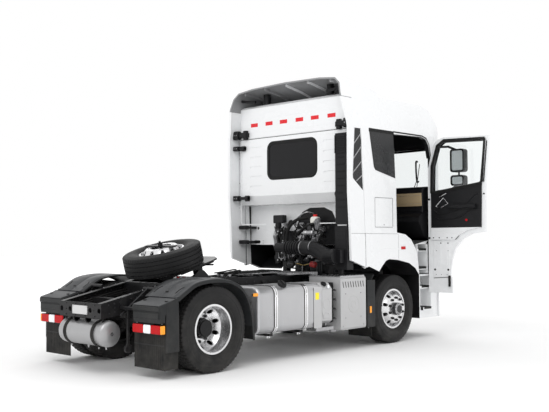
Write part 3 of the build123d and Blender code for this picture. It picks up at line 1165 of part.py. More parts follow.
# ---------------------------------------------------------------- doors, lid and glass
def make_doors():
    """Two doors in their closed place, then the right one swung to its parked angle."""
    window = window_outline()
    for side, word in ((1, "left"), (-1, "right")):
        edge = side_prism(door_outline(), side, 1000, 2000)
        shell = skin(0, DOOR_THICK, DOOR_SKIRT_Z) & edge
        opening = side_prism(window, side, 1000, 2000)
        shell -= opening
        pocket = span(mirrored(side, CAB_HALF_WIDTH - 16, 2000), (-4040, -3830), (1815, 1895))
        shell -= pocket
        pivot_x = CAB_HALF_WIDTH - DOOR_PIVOT_INSET
        eye = HINGE_EYE_RADIUS + HINGE_ROOM
        for z in DOOR_HINGE_ZS:
            low = z - HINGE_HEIGHT / 2 - HINGE_ROOM
            shell -= span(mirrored(side, 1000, pivot_x + eye), (-6000, DOOR_PIVOT_Y + eye), (low, z + HINGE_ROOM / 2))
            shell -= rod_z(HINGE_PIN_RADIUS + RUNNING_GAP, side * pivot_x, DOOR_PIVOT_Y,
                           (low, z + HINGE_HEIGHT / 2 + HINGE_ROOM))
        lining = [
            (DOOR_PIVOT_Y + 42, TRIM_BOTTOM), (DOOR_PIVOT_Y + 42, 2700), (DOOR_PIVOT_Y + 130, 3030),
            (DOOR_PIVOT_Y + 220, 3130), (-WHEELBASE + 50, 3110), (-WHEELBASE - 15, 2480), (-WHEELBASE - 28, 1760),
            (-WHEELBASE - 240, 1722), (-WHEELBASE - 400, 1640), (-WHEELBASE - 470, TRIM_BOTTOM),
        ]
        trim = skin(DOOR_THICK, DOOR_THICK + TRIM_THICK, DOOR_SKIRT_Z) & side_prism(lining, side, 1000, 2000)
        trim -= opening
        armrest = span(mirrored(side, CAB_HALF_WIDTH - DOOR_THICK - TRIM_THICK - 60, CAB_HALF_WIDTH - DOOR_THICK - 10),
                       (-4350, -3900), (2060, 2120))
        trim += fillet(armrest.edges().filter_by(Axis.Y), 12)
        glass = skin(GLASS_DEPTH, GLASS_DEPTH + GLASS_THICK, DOOR_SKIRT_Z)
        glass &= side_prism(window, side, 1000, 2000, -SEAT_GAP)
        handle = span(mirrored(side, CAB_HALF_WIDTH - 10, CAB_HALF_WIDTH - 3), (-4020, -3850), (1838, 1872))
        handle += span(mirrored(side, CAB_HALF_WIDTH - 17, CAB_HALF_WIDTH - 9), (-4010, -3995), (1845, 1865))
        handle += span(mirrored(side, CAB_HALF_WIDTH - 17, CAB_HALF_WIDTH - 9), (-3875, -3860), (1845, 1865))
        shell += handle
        turn = Rot(0, 0, DOOR_REST_OPEN if side < 0 else 0)
        pivot = Pos(side * pivot_x, DOOR_PIVOT_Y, 0)
        swing = pivot * turn * pivot.inverse()
        NODES[f"door_{word}"] = swing * shell
        NODES[f"door_trim_{word}"] = swing * trim
        NODES[f"door_glass_{word}"] = swing * glass


def make_front_lid():
    """Service lid under the windscreen, hung on two pins at its top corners."""
    lid = skin(0, LID_THICK, DOOR_SKIRT_Z)
    lid &= span((-LID_HALF_WIDTH, LID_HALF_WIDTH), (-6000, CAB_FRONT_Y + 160), (LID_BOTTOM, LID_TOP))
    for index in range(GRILLE_SLOTS):
        z = 1010 + index * 88
        lid -= span((-640, 640), (-6000, CAB_FRONT_Y + 40), (z, z + 52))
    lid -= rod_x(LID_HINGE_RADIUS + RUNNING_GAP, lid_pivot_y(), LID_TOP - LID_PIVOT_DROP, (-1200, -LID_HALF_WIDTH + 61))
    lid -= rod_x(LID_HINGE_RADIUS + RUNNING_GAP, lid_pivot_y(), LID_TOP - LID_PIVOT_DROP, (LID_HALF_WIDTH - 61, 1200))
    NODES["front_lid"] = lid


def make_cab_glass():
    """Windscreen and rear window, set in from the outer faces."""
    layer = skin(GLASS_DEPTH, GLASS_DEPTH + GLASS_THICK)
    screen_face = offset(make_face(Polyline(*windscreen_outline(), close=True)), amount=-SEAT_GAP)
    screen = layer & extrude(Plane.XZ.offset(4900) * screen_face, amount=900)
    half = WINDOW_HALF - SEAT_GAP
    pane = span((-half, half), (CAB_REAR_Y - GLASS_DEPTH - GLASS_THICK, CAB_REAR_Y - GLASS_DEPTH),
                (REAR_WINDOW_Z[0] + SEAT_GAP, REAR_WINDOW_Z[1] - SEAT_GAP))
    pane = fillet(pane.edges().filter_by(Axis.Y), 45)
    NODES["cab_glass"] = Compound(children=[screen, pane])


# ---------------------------------------------------------------- roof deflector and side fairings
def deflector_volume(inset):
    """Volume of the roof deflector, its front and rear ends left open."""
    right = [
        (1245, 3000), (1245, ROOF_SEAM_Z), (1155, 3650), (1100, 3850), (1000, 3940), (700, OVERALL_HEIGHT - 18),
        (0, OVERALL_HEIGHT),
    ]
    outline = right + [(-x, z) for x, z in reversed(right[:-1])]
    face = make_face(Polyline(*outline, close=True))
    if inset:
        face = offset(face, amount=-inset, kind=Kind.INTERSECTION)
    across = extrude(Plane.XZ.offset(2500) * face, amount=1000)
    rear = [(-2545, 3700), (-2530, 3300)]
    if inset:
        rear = [(-2450, OVERALL_HEIGHT - inset), (-2450, 3300)]
    top = [
        (-3460, 3300), (-3460, 3800 - inset), (-3400, 3822 - inset), (-3000, 3925 - inset),
        (-2606, OVERALL_HEIGHT - inset), *rear,
    ]
    return across & prism_x(top, (-1300, 1300))


def make_deflector():
    """Roof deflector: a thin shell open to the rear, ribs under it and two posts."""
    shell = deflector_volume(0) - deflector_volume(DEFLECTOR_WALL)
    shell &= span((-1300, 1300), (-3500, -2500), (3648, 4100))
    ribs = [span((x - 8, x + 8), (-3250, -2625), (3700, OVERALL_HEIGHT - 20)) for x in (-880, -440, 0, 440, 880)]
    depth = deflector_volume(DEFLECTOR_WALL - 1) - deflector_volume(DEFLECTOR_WALL + 40)
    shell = fuse(shell, *[rib & depth for rib in ribs])
    posts = [rod_z(32, x, -2910, (3700, 3930)) & deflector_volume(DEFLECTOR_WALL - 4) for x in (-660, 660)]
    shell = fuse(shell, *posts)
    NODES["roof_deflector"] = shell - volume(0)


def make_fairings():
    """Side fairing behind each cab side, with the brackets that carry it."""
    depth = cab_front_face(0) - cab_front_face(FAIRING_THICK)
    band = extrude(Plane.XZ.offset(2500) * depth, amount=600)
    pieces = []
    for side in SIDES:
        panel = band & side_prism(FAIRING_OUTLINE, side, 1000, 2000)
        panel -= volume(0) & span((-2000, 2000), (-6000, 0), (ROOF_SEAM_Z, 5000))
        grille = [(-2727, 3195), (-2872, 3195), (-2925, 2290), (-2684, 2462), (-2678, 2505)]
        panel -= side_prism(grille, side, CAB_HALF_WIDTH - 14, 2000)
        pieces.append(panel)
        # brackets: z, height, y at the cab, reach inwards at the cab
        for z, height, reach in ((3270, 70, 330), (3060, 30, 250), (2250, 40, 300)):
            arm = span(mirrored(side, CAB_HALF_WIDTH - reach, CAB_HALF_WIDTH - FAIRING_THICK + 1),
                       (CAB_REAR_Y, CAB_REAR_Y + 60), (z - height / 2, z + height / 2))
            pieces.append(arm)
        for z in (1780, 1545):
            back = span(mirrored(side, CAB_HALF_WIDTH - 200, CAB_HALF_WIDTH - CAB_WALL - 10),
                        (LOWER_REAR_Y + SEAT_GAP, -2800), (z - 20, z + 20))
            out = span(mirrored(side, CAB_HALF_WIDTH - 200, CAB_HALF_WIDTH - FAIRING_THICK + 1),
                       (-2860, -2799), (z - 20, z + 20))
            pieces.extend([back, out])
    NODES["side_fairings"] = fuse(*pieces)


def make_intake():
    """Upright air intake on the cab's rear wall and the duct on the chassis under it."""
    x = (-1195, -975)
    y = (CAB_REAR_Y + 66, -2598)
    upper = fillet(span(x, y, (1800, 3120)).edges().filter_by(Axis.Z), 25)
    head = span((x[0] + 15, x[1] - 15), (y[1] - 1, y[1] + 16), (2830, 3090))
    for index in range(9):
        z = 2850 + index * 26
        head -= span((x[0] + 25, x[1] - 25), (y[1] + 4, y[1] + 17), (z, z + 14))
    feet = [span((x[1] - 60, x[1] - 10), (CAB_REAR_Y + SEAT_GAP, y[0] + 1), (z, z + 80)) for z in (2400, 2800)]
    NODES["cab_intake"] = fuse(upper, head, *feet)
    box = span(x, (-2740, -2598), (1150, 1780))
    duct = pipe(106, (-470, -2480, 1465), (-640, -2480, 1460), (-930, -2480, 1345), (-1085, -2480, 1345))
    ribs = [rod_x(99 if index % 2 else 86, -2480, 1465, (-480 + index * 24 - 1, -456 + index * 24))
            for index in range(15)]
    link = span((-1150, -990), (-2599, -2500), (1250, 1440))
    leg = span((-1050, -990), (-2700, -2650), (EXHAUST_TOP + 14 + SEAT_GAP, 1151))
    hose = rod_x(70, -2480, 1465, (-125, 60))
    NODES["air_cleaner"] = fuse(box, duct, link, leg, hose, *ribs)


def make_mirrors():
    """Two mirror heads each side on arms from the pillar, and the front mirror."""
    pieces = []
    for side in SIDES:
        heads = [
            # x near, x far, z low, z high
            (1475, 1725, 2650, 3020),
            (1480, 1720, 2430, 2600),
        ]
        for near, far, low, high in heads:
            head = span(mirrored(side, near, far), (-5050, -4925), (low, high))
            head = fillet(head.edges().filter_by(Axis.Y), 45)
            glass = span(mirrored(side, near + 22, far - 22), (-4936, -4920), (low + 22, high - 22))
            head -= fillet(glass.edges().filter_by(Axis.Y), 30)
            pieces.append(head)
        x = side * 1600
        root = (side * 1140, -4990, 3085)
        pieces.append(pipe(19, root, (side * 1400, -5000, 3075), (x, -4990, 2990)))
        pieces.append(pipe(17, (side * 1140, -4990, 2360), (side * 1400, -5000, 2365), (x, -4990, 2450)))
        pieces.append(rod_z(14, x, -4990, (2590, 2660)))
    whole = fuse(*pieces)
    NODES["mirrors"] = whole - volume(0)


# ---------------------------------------------------------------- cab interior
def make_dashboard():
    """Dashboard across the cab, with the driver's hood, column and steering wheel."""
    section = [
        (FIREWALL_Y + 42, 1885), (FIREWALL_Y + 42, 2010), (-4860, 2035), (-4640, 2010), (-4520, 1935),
        (-4500, 1860), (-4560, 1780), (-4640, 1640), (-4700, 1600), (-4900, 1600), (-4900, 1885),
    ]
    board = prism_x(section, (-1150, 1150))
    board = fillet(board.edges().filter_by(Axis.X).sort_by(Axis.Z)[-4:-1], 20)
    board &= volume(CAB_WALL + 8, DOOR_SKIRT_Z)
    for side in SIDES:
        board -= side_prism([(-4800, 1500), (-4300, 1500), (-4300, 2120), (-4800, 2120)], side, 1145, 2000)
    hood = prism_x([(-4860, 2000), (-4840, 2120), (-4560, 2070), (-4540, 1950)], (270, 830))
    centre = prism_x([(-4700, 1600), (-4420, 1780), (-4420, 1800), (-4560, 1960), (-4700, 1960)], (-260, 260))
    screen_space = span((330, 770), (-4700, -4500), (1950, 2050))
    tilt = Pos(550, -4560, 2130) * Rot(-40, 0, 0)
    ring = tilt * Torus(232, 15)
    spokes = [tilt * Rot(0, 0, angle) * Pos(116, 0, 0) * Box(232, 46, 16) for angle in (0, 180, 90)]
    boss = tilt * Cylinder(62, 40)
    column = pipe(38, (550, -4560, 2130), (550, -4721, 1938))
    board = fuse(board, hood, centre)
    half = TUNNEL_HALF_WIDTH + 40 + SEAT_GAP
    board -= span((-half, half), (-5000, -4000), (1500, TUNNEL_TOP + SEAT_GAP))
    NODES["dashboard"] = fuse(board, ring, *spokes, boss, column)


def make_seats():
    """Two seats on pedestals with backs and headrests, and the bunk behind them."""
    pieces = []
    floor = CAB_FLOOR_BOTTOM + CAB_FLOOR_THICK
    for x in (620, -620):
        rises = floor
        near, far = x - 190, x + 190
        pedestal = span((x - 80 if x < 0 else x - 60, x + 60 if x < 0 else x + 80), (-4230, -3950), (rises, 1860))
        base = span((x - 60, x + 60), (-4230, -3950), (rises, 1861))
        cushion = span((near - 40, far + 40), (-4350, -3860), (1860, 2000))
        cushion = fillet(cushion.edges(), 40)
        back_outline = [(-3900, 1960), (-3800, 2700), (-3690, 2700), (-3760, 1960)]
        back = prism_x(back_outline, (near - 30, far + 30))
        back = fillet(back.edges(), 40)
        rest = span((x - 130, x + 130), (-3790, -3690), (2690, 2890))
        rest = fillet(rest.edges(), 35)
        pieces.append(fuse(base, pedestal, cushion, back, rest))
    deck = span((-1100, 1100), (-3560, -3130), (1990, 2040))
    mattress = fillet(span((-1100, 1100), (-3560, -2860), (2250, 2380)).edges(), 30)
    shelf = span((-1100, 1100), (-3560, -2860), (2205, 2251))
    front_board = span((-1100, 1100), (-3560, -3530), (floor, 2210))
    front_board -= span((-TUNNEL_HALF_WIDTH - 41, TUNNEL_HALF_WIDTH + 41), (-3600, -3500), (floor - 1, TUNNEL_TOP))
    bunk = fuse(deck, mattress, shelf, front_board) & volume(CAB_WALL)
    NODES["seats_and_bunk"] = Compound(children=[*pieces, bunk])


# ---------------------------------------------------------------- fifth wheel and spare
def on_plate():
    """Frame of the tilted plate: its origin is the coupling point, z leaves the top face."""
    plane = Plane(origin=coupling_point(), x_dir=(1, 0, 0),
                  z_dir=(0, sin(radians(FIFTH_TILT)), cos(radians(FIFTH_TILT))))
    return plane


def coupling_point():
    """Centre of the kingpin's place on the plate's top face."""
    tilt = radians(FIFTH_TILT)
    return (0, FIFTH_PIVOT_Y + FIFTH_RISE * sin(tilt), FIFTH_PIVOT_Z + FIFTH_RISE * cos(tilt))


def make_fifth_wheel():
    """Coupling plate with entry ramps and throat, ribs, side ears and pivot bores."""
    half_throat = 26
    right = [
        (300, -360), (400, -300), (430, -180), (430, 190), (380, 330), (330, 440), (240, 545), (150, 470),
        (half_throat, 110), (half_throat, 0),
    ]
    outline = right + [(-x, y) for x, y in reversed(right)]
    plate = prism_z(outline, (-FIFTH_THICK, 0))
    plate -= Cylinder(KINGPIN_HOLE_RADIUS, 200)
    skirt_wall = [
        (285, -345), (385, -290), (412, -180), (412, 180), (355, 325), (260, 440),
    ]
    body = plate
    for sign in (1, -1):
        ear = span(mirrored(sign, FIFTH_EAR_X, FIFTH_EAR_X + FIFTH_EAR_THICK), (-70, 70), (-FIFTH_RISE, -FIFTH_THICK + 1))
        ear += rod_x(62, 0, -FIFTH_RISE, mirrored(sign, FIFTH_EAR_X, FIFTH_EAR_X + FIFTH_EAR_THICK))
        ear -= rod_x(FIFTH_PIN_RADIUS + RUNNING_GAP, 0, -FIFTH_RISE, (-2000, 2000))
        rib = span(mirrored(sign, 232, 254), (-300, 420), (-72, -FIFTH_THICK + 1))
        lip = span(mirrored(sign, 60, 82), (40, 330), (-60, -FIFTH_THICK + 1))
        body = fuse(body, ear, rib, lip)
    for y in (-262, -60, 60, 240):
        reach = (254, 254, 254, 254)[0]
        rib = span((-reach, reach), (y - 9, y + 9), (-66, -FIFTH_THICK + 1))
        if y > 0:
            rib -= span((-70, 70), (-400, 400), (-200, 0))
        body += rib
    for sign in (1, -1):
        ramp = [(60, 470), (240, 545), (330, 440), (300, 400), (230, 480), (100, 400)]
        lip = prism_z([(sign * x, y) for x, y in (ramp if sign > 0 else ramp[::-1])], (-60, -FIFTH_THICK + 1))
        body += lip
    lever = pipe(11, (-100, -120, -50), (-470, -152, -50))
    jaw = span((-180, 180), (-52, -30), (-60, -FIFTH_THICK + 1))
    body = fuse(body, lever, jaw)
    place = on_plate()
    spare = Plane(origin=place.from_local_coords((0, SPARE_BEHIND_KINGPIN, TYRE_HALF_WIDTH + SEAT_GAP)),
                  x_dir=(1, 0, 0), z_dir=place.z_dir)
    NODES["fifth_wheel"] = place.location * body
    NODES["spare_tyre"] = spare.location * tyre()
    bar = span((-300, 300), (-28, 28), (DISC_OFFSET, DISC_OFFSET + 16))
    disc = rim()
    for place_ in PolarLocations(STUD_CIRCLE_RADIUS, STUD_COUNT):
        disc -= place_ * Cylinder(13, 600)
    disc -= Cylinder(140, 600)
    bar -= Cylinder(20, 600)
    disc += bar
    bolt = fuse(rod_z(14, 0, 0, (-149, DISC_OFFSET + 75)), rod_z(32, 0, 0, (DISC_OFFSET + 16, DISC_OFFSET + 44)))
    washer = rod_z(60, 0, 0, (-TYRE_HALF_WIDTH, -TYRE_HALF_WIDTH + 12))
    NODES["spare_rim"] = spare.location * fuse(disc, bolt, washer)


# ---------------------------------------------------------------- everything
def merge(name, *pieces):
    """Several pieces of one body kept as one named piece."""
    NODES[name] = fuse(*[NODES.pop(piece) for piece in pieces])


def main():
    """Makes every piece, moves it to the coupling point's frame and writes it."""
    make_wheels()
    make_frame()
    make_tow_jaw()
    make_end_beam()
    make_rear_axle()
    make_front_axle()
    make_knuckles()
    make_engine()
    make_radiator()
    make_fuel_tank()
    make_exhaust_box()
    make_urea_tank()
    make_battery_box()
    make_air_tanks()
    make_catwalk()
    make_rear_fenders()
    make_flaps()
    make_lamps()
    make_bumper()
    make_cab_shell()
    make_doors()
    make_front_lid()
    make_cab_glass()
    make_deflector()
    make_fairings()
    make_intake()
    make_mirrors()
    make_dashboard()
    make_seats()
    make_fifth_wheel()
    merge("frame", "frame", "end_beam")
    merge("engine", "engine", "radiator")
    merge("fuel_tank", "fuel_tank", "tank_straps")
    merge("air_tanks", "air_tanks", "air_tank_straps")
    merge("battery_box", "battery_box", "tool_locker")
    merge("lamps", "tail_lamps", "headlamps")
    merge("mud_flaps", "rear_flaps", "front_shields")
    os.makedirs("parts", exist_ok=True)
    point = coupling_point()
    home = Pos(-point[0], -point[1], -point[2])
    for name, shape in NODES.items():
        export_step(home * shape, f"parts/{name}.step")


main()
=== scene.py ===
"""Looks of a two-axle tractor unit with a high-roof sleeper cab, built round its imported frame."""

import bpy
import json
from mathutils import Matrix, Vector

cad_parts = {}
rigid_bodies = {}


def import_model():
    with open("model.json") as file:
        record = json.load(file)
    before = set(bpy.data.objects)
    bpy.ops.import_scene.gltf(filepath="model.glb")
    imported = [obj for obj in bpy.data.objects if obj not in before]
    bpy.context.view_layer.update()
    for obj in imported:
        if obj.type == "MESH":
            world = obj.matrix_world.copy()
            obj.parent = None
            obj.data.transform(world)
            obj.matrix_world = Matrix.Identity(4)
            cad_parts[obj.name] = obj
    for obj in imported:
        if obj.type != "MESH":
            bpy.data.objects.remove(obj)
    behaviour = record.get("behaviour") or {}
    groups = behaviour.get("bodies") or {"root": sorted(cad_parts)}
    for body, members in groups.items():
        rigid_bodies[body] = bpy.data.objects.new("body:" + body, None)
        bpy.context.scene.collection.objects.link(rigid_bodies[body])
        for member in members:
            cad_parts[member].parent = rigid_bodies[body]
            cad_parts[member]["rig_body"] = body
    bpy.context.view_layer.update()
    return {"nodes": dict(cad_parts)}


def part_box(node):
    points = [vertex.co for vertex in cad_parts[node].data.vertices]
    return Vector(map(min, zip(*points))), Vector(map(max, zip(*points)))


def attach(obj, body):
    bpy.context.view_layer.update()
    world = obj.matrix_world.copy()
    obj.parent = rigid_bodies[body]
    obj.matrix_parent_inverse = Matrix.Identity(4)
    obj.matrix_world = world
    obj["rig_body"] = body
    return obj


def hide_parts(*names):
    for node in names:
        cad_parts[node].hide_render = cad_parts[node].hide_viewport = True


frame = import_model()

import json
import logging
import math
from dataclasses import dataclass
from enum import Enum
from typing import Callable, Sequence

import bpy
import numpy as np
from mathutils import Matrix

LOG = logging.getLogger("tractor_unit")
ROW = np.array((0.0, 0.519848, -1.270977))  # from the ground frame under the drive axle to the row frame
SIDES = (1.0, -1.0)
X_AXIS, Y_AXIS, Z_AXIS = (1, 0, 0), (0, 1, 0), (0, 0, 1)
ORIGIN = (0, 0, 0)
Array = np.ndarray
Vec = Sequence[float]
Path = Sequence[Vec]
Socket = bpy.types.NodeSocket
Rule = Callable[[Array, Array], Array]

# sizes in metres, in the ground frame: x to the truck's left, y to its rear, z up from the ground
WHEEL_BASE = 3.8
TYRE_RADIUS = 0.522
REAR_TYRE_X = 1.1
TWIN_SPACING = 0.34
FRONT_TYRE_X = 1.02
RAIL_X = 0.4325
CAB_HALF = 1.245
CAB_REAR_Y = -2.755
LOWER_REAR_Y = -3.05
DOOR_PIVOT = np.array((1.231, -4.72, 0.0))
STUD_RING = (0.145, 0.19)   # radii between which the wheel nuts lie
CUSHION_MOVE = 0.009        # furthest that the pressure run may move a point of a pad

DOOR_OPEN = 95.0            # degrees
SMOOTH_BELOW = 30.0         # degrees between two faces of an added piece that are still shaded smooth
CAD_SMOOTH_BELOW = 28.0     # the same for a CAD node's copy
CUSHION_FRAMES = 20
CUSHION_PRESSURE = 4
MERGE_DIGITS = 5            # decimals of a metre to which the points of a CAD mesh are merged


# ---------------------------------------------------------------- mesh kit
@dataclass
class Skin:
    """Points in the ground frame with the faces that join them."""

    points: Array
    faces: list[Array]

    def __add__(self, other: "Skin") -> "Skin":
        """Both skins as one."""
        shift = len(self.points)
        return Skin(np.vstack((self.points, other.points)), self.faces + [f + shift for f in other.faces])

    def moved(self, offset: Vec) -> "Skin":
        """The skin shifted by an offset."""
        return Skin(self.points + np.asarray(offset, float), self.faces)

    def turned(self, degrees: float, axis: Vec, centre: Vec = ORIGIN) -> "Skin":
        """The skin turned about an axis through a centre."""
        matrix = turn_matrix(degrees, axis)
        middle = np.asarray(centre, float)
        return Skin((self.points - middle) @ matrix.T + middle, self.faces)

    def mirrored(self) -> "Skin":
        """The skin's mirror image across the truck's middle, its faces turned to point outwards again."""
        return Skin(self.points * (-1, 1, 1), [f[:, ::-1] for f in self.faces])

    def sided(self, side: float) -> "Skin":
        """The skin as it is for the left side, and its mirror image for the right."""
        return self if side > 0 else self.mirrored()

    def volume(self) -> float:
        """Signed volume: the sum over each face's fan of triangles of p0 · (p1 × p2) / 6."""
        total = 0.0
        for f in self.faces:
            for k in range(1, f.shape[1] - 1):
                a, b, c = self.points[f[:, 0]], self.points[f[:, k]], self.points[f[:, k + 1]]
                total += float(np.einsum("ij,ij->", a, np.cross(b, c))) / 6
        return total

    def outward(self) -> "Skin":
        """The closed skin with its faces pointing outwards."""
        middle = self.points.mean(0)
        if Skin(self.points - middle, self.faces).volume() < 0:
            return Skin(self.points, [f[:, ::-1] for f in self.faces])
        return self

    def at(self, places: Array) -> "Skin":
        """Copies of the skin, one moved to each place.

        Args:
            places: array of shape (count, 3).

        Returns:
            One skin that holds every copy.
        """
        places = np.asarray(places, float).reshape(-1, 3)
        count = len(self.points)
        points = (self.points[None] + places[:, None]).reshape(-1, 3)
        steps = np.arange(len(places)) * count
        faces = [(f[None] + steps[:, None, None]).reshape(-1, f.shape[1]) for f in self.faces]
        return Skin(points, faces)

    def ring(self, count: int, axis: Vec, centre: Vec) -> "Skin":
        """Copies of the skin spaced evenly round an axis."""
        whole = self
        for index in range(1, count):
            whole = whole + self.turned(360 * index / count, axis, centre)
        return whole


def turn_matrix(degrees: float, axis: Vec) -> Array:
    """Rotation matrix: cos·I + (1 - cos)·a aᵀ + sin·[a]×."""
    a = np.asarray(axis, float) / np.linalg.norm(axis)
    angle = math.radians(degrees)
    cross = np.array(((0, -a[2], a[1]), (a[2], 0, -a[0]), (-a[1], a[0], 0)))
    return math.cos(angle) * np.eye(3) + (1 - math.cos(angle)) * np.outer(a, a) + math.sin(angle) * cross


def grid_faces(rows: int, columns: int, wrap_rows: bool = False, wrap_columns: bool = False) -> Array:
    """Quads that join a rows × columns grid of points, closed round in either direction if asked."""
    i = np.arange(rows if wrap_rows else rows - 1)
    j = np.arange(columns if wrap_columns else columns - 1)
    i, j = (a.ravel() for a in np.meshgrid(i, j, indexing="ij"))
    k, m = (i + 1) % rows, (j + 1) % columns
    return np.stack((i * columns + j, k * columns + j, k * columns + m, i * columns + m), 1)


def loft(loops: Array, capped: bool = True) -> Skin:
    """Closed loops joined one to the next, their two ends closed by flat faces.

    The surface is S(u, v) = loops[u][v], with v going round each loop.

    Args:
        loops: array of shape (loop count, points a loop, 3).
        capped: whether the first and last loops are closed.

    Returns:
        The skin, facing outwards.
    """
    rows, columns = loops.shape[:2]
    faces = [grid_faces(rows, columns, False, True)]
    if capped:
        faces.append(np.arange(columns)[None, ::-1])
        faces.append((rows - 1) * columns + np.arange(columns)[None])
    skin = Skin(loops.reshape(-1, 3), faces)
    return skin.outward() if capped else skin


def lathe(profile: Path, centre: Vec, axis: Vec, count: int = 32) -> Skin:
    """A (radius, height) profile carried round an axis: P(u, v) = centre + h·a + r·(cos v·e1 + sin v·e2).

    Args:
        profile: radius and height pairs from one end to the other; a radius of 0 closes to a pole.
        centre: the point of height 0 on the axis.
        axis: the direction of height.
        count: steps round.

    Returns:
        The closed skin.
    """
    shape = np.asarray(profile, float)
    a = np.asarray(axis, float) / np.linalg.norm(axis)
    e1 = np.cross(a, (0.0, 0.0, 1.0) if abs(a[2]) < 0.9 else (1.0, 0.0, 0.0))
    e1 /= np.linalg.norm(e1)
    e2 = np.cross(a, e1)
    v = np.arange(count) * 2 * np.pi / count
    spoke = np.cos(v)[:, None] * e1 + np.sin(v)[:, None] * e2
    radius = np.maximum(shape[:, 0], 1e-5)
    loops = np.asarray(centre, float) + shape[:, 1, None, None] * a + radius[:, None, None] * spoke[None]
    return loft(loops)


def outline_normals(outline: Array) -> Array:
    """Outward mitred normals of a closed flat outline, by the two edges that meet at each point."""
    ahead = np.roll(outline, -1, 0) - outline
    ahead /= np.maximum(np.linalg.norm(ahead, axis=1, keepdims=True), 1e-9)
    back = np.roll(ahead, 1, 0)
    n1, n2 = np.stack((ahead[:, 1], -ahead[:, 0]), 1), np.stack((back[:, 1], -back[:, 0]), 1)
    mean = n1 + n2
    mean /= np.maximum((mean * n1).sum(1, keepdims=True), 0.35)
    x, y = outline.T
    area = float(np.sum(x * np.roll(y, -1) - np.roll(x, -1) * y))
    return mean if area > 0 else -mean


def slab(outline: Path, low: float, high: float, plane: str = "yz", bevel: float = 0.004) -> Skin:
    """An outline carried along the third direction, its two rims bevelled along the mitred normals.

    Args:
        outline: closed outline in the plane's two coordinates.
        low: one end along the third direction.
        high: the other end.
        plane: the two coordinates of the outline, as "yz", "xz" or "xy".
        bevel: width of the bevel.

    Returns:
        The closed skin.
    """
    flat = np.asarray(outline, float)
    inner = flat - outline_normals(flat) * bevel
    low, high = sorted((low, high))
    order = ["xyz".index(c) for c in plane]
    third = ({0, 1, 2} - set(order)).pop()
    loops = np.zeros((4, len(flat), 3))
    for row, (shape, depth) in enumerate(((inner, low),
            (flat, low + bevel), (flat, high - bevel), (inner, high))):
        loops[row][:, order] = shape
        loops[row][:, third] = depth
    return loft(loops)


def rounded(width: float, height: float, radius: float, steps: int = 4) -> Array:
    """Rounded rectangle about the origin: four corner arcs of the same radius, in order."""
    angle = np.linspace(0, np.pi / 2, steps + 1)
    arc = np.stack((np.cos(angle), np.sin(angle)), 1) * radius
    corners = np.array(((1, 1), (-1, 1), (-1, -1), (1, -1))) * (width / 2 - radius, height / 2 - radius)
    turns = [turn_matrix(90 * k, Z_AXIS)[:2, :2] for k in range(4)]
    return np.vstack([corners[k] + arc @ turns[k].T for k in range(4)])


def block(low: Vec, high: Vec, radius: float = 0.006, plane: str = "yz",
          bevel: float | None = None) -> Skin:
    """Box between two corners with rounded edges: a rounded rectangle carried along the third direction."""
    a, b = np.minimum(low, high).astype(float), np.maximum(low, high).astype(float)
    order = ["xyz".index(c) for c in plane]
    third = ({0, 1, 2} - set(order)).pop()
    size = b - a
    radius = min(radius, size.min() * 0.45)
    corner = radius * 1.6 if radius * 3.4 < size[order].min() else radius
    outline = rounded(*size[order], corner) + (a[order] + b[order]) / 2
    return slab(outline, a[third], b[third], plane, radius * 0.6 if bevel is None else bevel)


def smooth_path(points: Path, steps: int = 8) -> Array:
    """Catmull-Rom curve through points: each span blends its four neighbours with cubic weights."""
    p = np.asarray(points, float)
    full = np.vstack((2 * p[0] - p[1], p, 2 * p[-1] - p[-2]))
    t = (np.arange(steps) / steps)[:, None, None]
    a, b, c, d = full[:-3], full[1:-2], full[2:-1], full[3:]
    curve = 0.5 * (2 * b + (c - a) * t + (2 * a - 5 * b + 4 * c - d) * t**2 + (3 * b - a - 3 * c + d) * t**3)
    return np.vstack((curve.transpose(1, 0, 2).reshape(-1, p.shape[1]), p[-1:]))


def sweep(path: Array, section: Array, up: Vec = Z_AXIS) -> Skin:
    """A flat section carried along a path: P(u, v) = path(u) + x(v)·n(u) + y(v)·b(u).

    Args:
        path: points of the path.
        section: closed outline in the plane across the path.
        up: direction that the section's second coordinate leans towards.

    Returns:
        The closed skin.
    """
    tangent = np.gradient(path, axis=0)
    tangent /= np.maximum(np.linalg.norm(tangent, axis=1, keepdims=True), 1e-9)
    normal = np.cross(tangent, np.asarray(up, float))
    normal /= np.maximum(np.linalg.norm(normal, axis=1, keepdims=True), 1e-9)
    across = np.cross(normal, tangent)
    x, y = section[:, 0], section[:, 1]
    offset = x[None, :, None] * normal[:, None] + y[None, :, None] * across[:, None]
    return loft(path[:, None] + offset)


def circle(radius: float, count: int = 10) -> Array:
    """Points of a circle about the origin."""
    v = np.arange(count) * 2 * np.pi / count
    return np.stack((np.cos(v), np.sin(v)), 1) * radius


def hose(points: Path, radius: float, up: Vec = (0.13, 0.21, 1), count: int = 10) -> Skin:
    """Round tube along a smooth curve through the points."""
    return sweep(smooth_path(points), circle(radius, count), up)


def bolt(radius: float, height: float, axis: Vec) -> Skin:
    """Hexagon head on a washer, about the origin: three loops of six and twelve points."""
    washer = lathe([(0, 0), (radius * 1.35, 0), (radius * 1.35, height * 0.22), (0, height * 0.22)],
                   ORIGIN, axis, 12)
    head = lathe([(0, 0), (radius, 0), (radius, height * 0.85), (radius * 0.82, height), (0, height)],
                 ORIGIN, axis, 6)
    return washer + head


def bolts(places: Path, radius: float, height: float, axis: Vec) -> Skin:
    """Bolt heads at each place, along one axis."""
    return bolt(radius, height, axis).at(np.asarray(places, float))


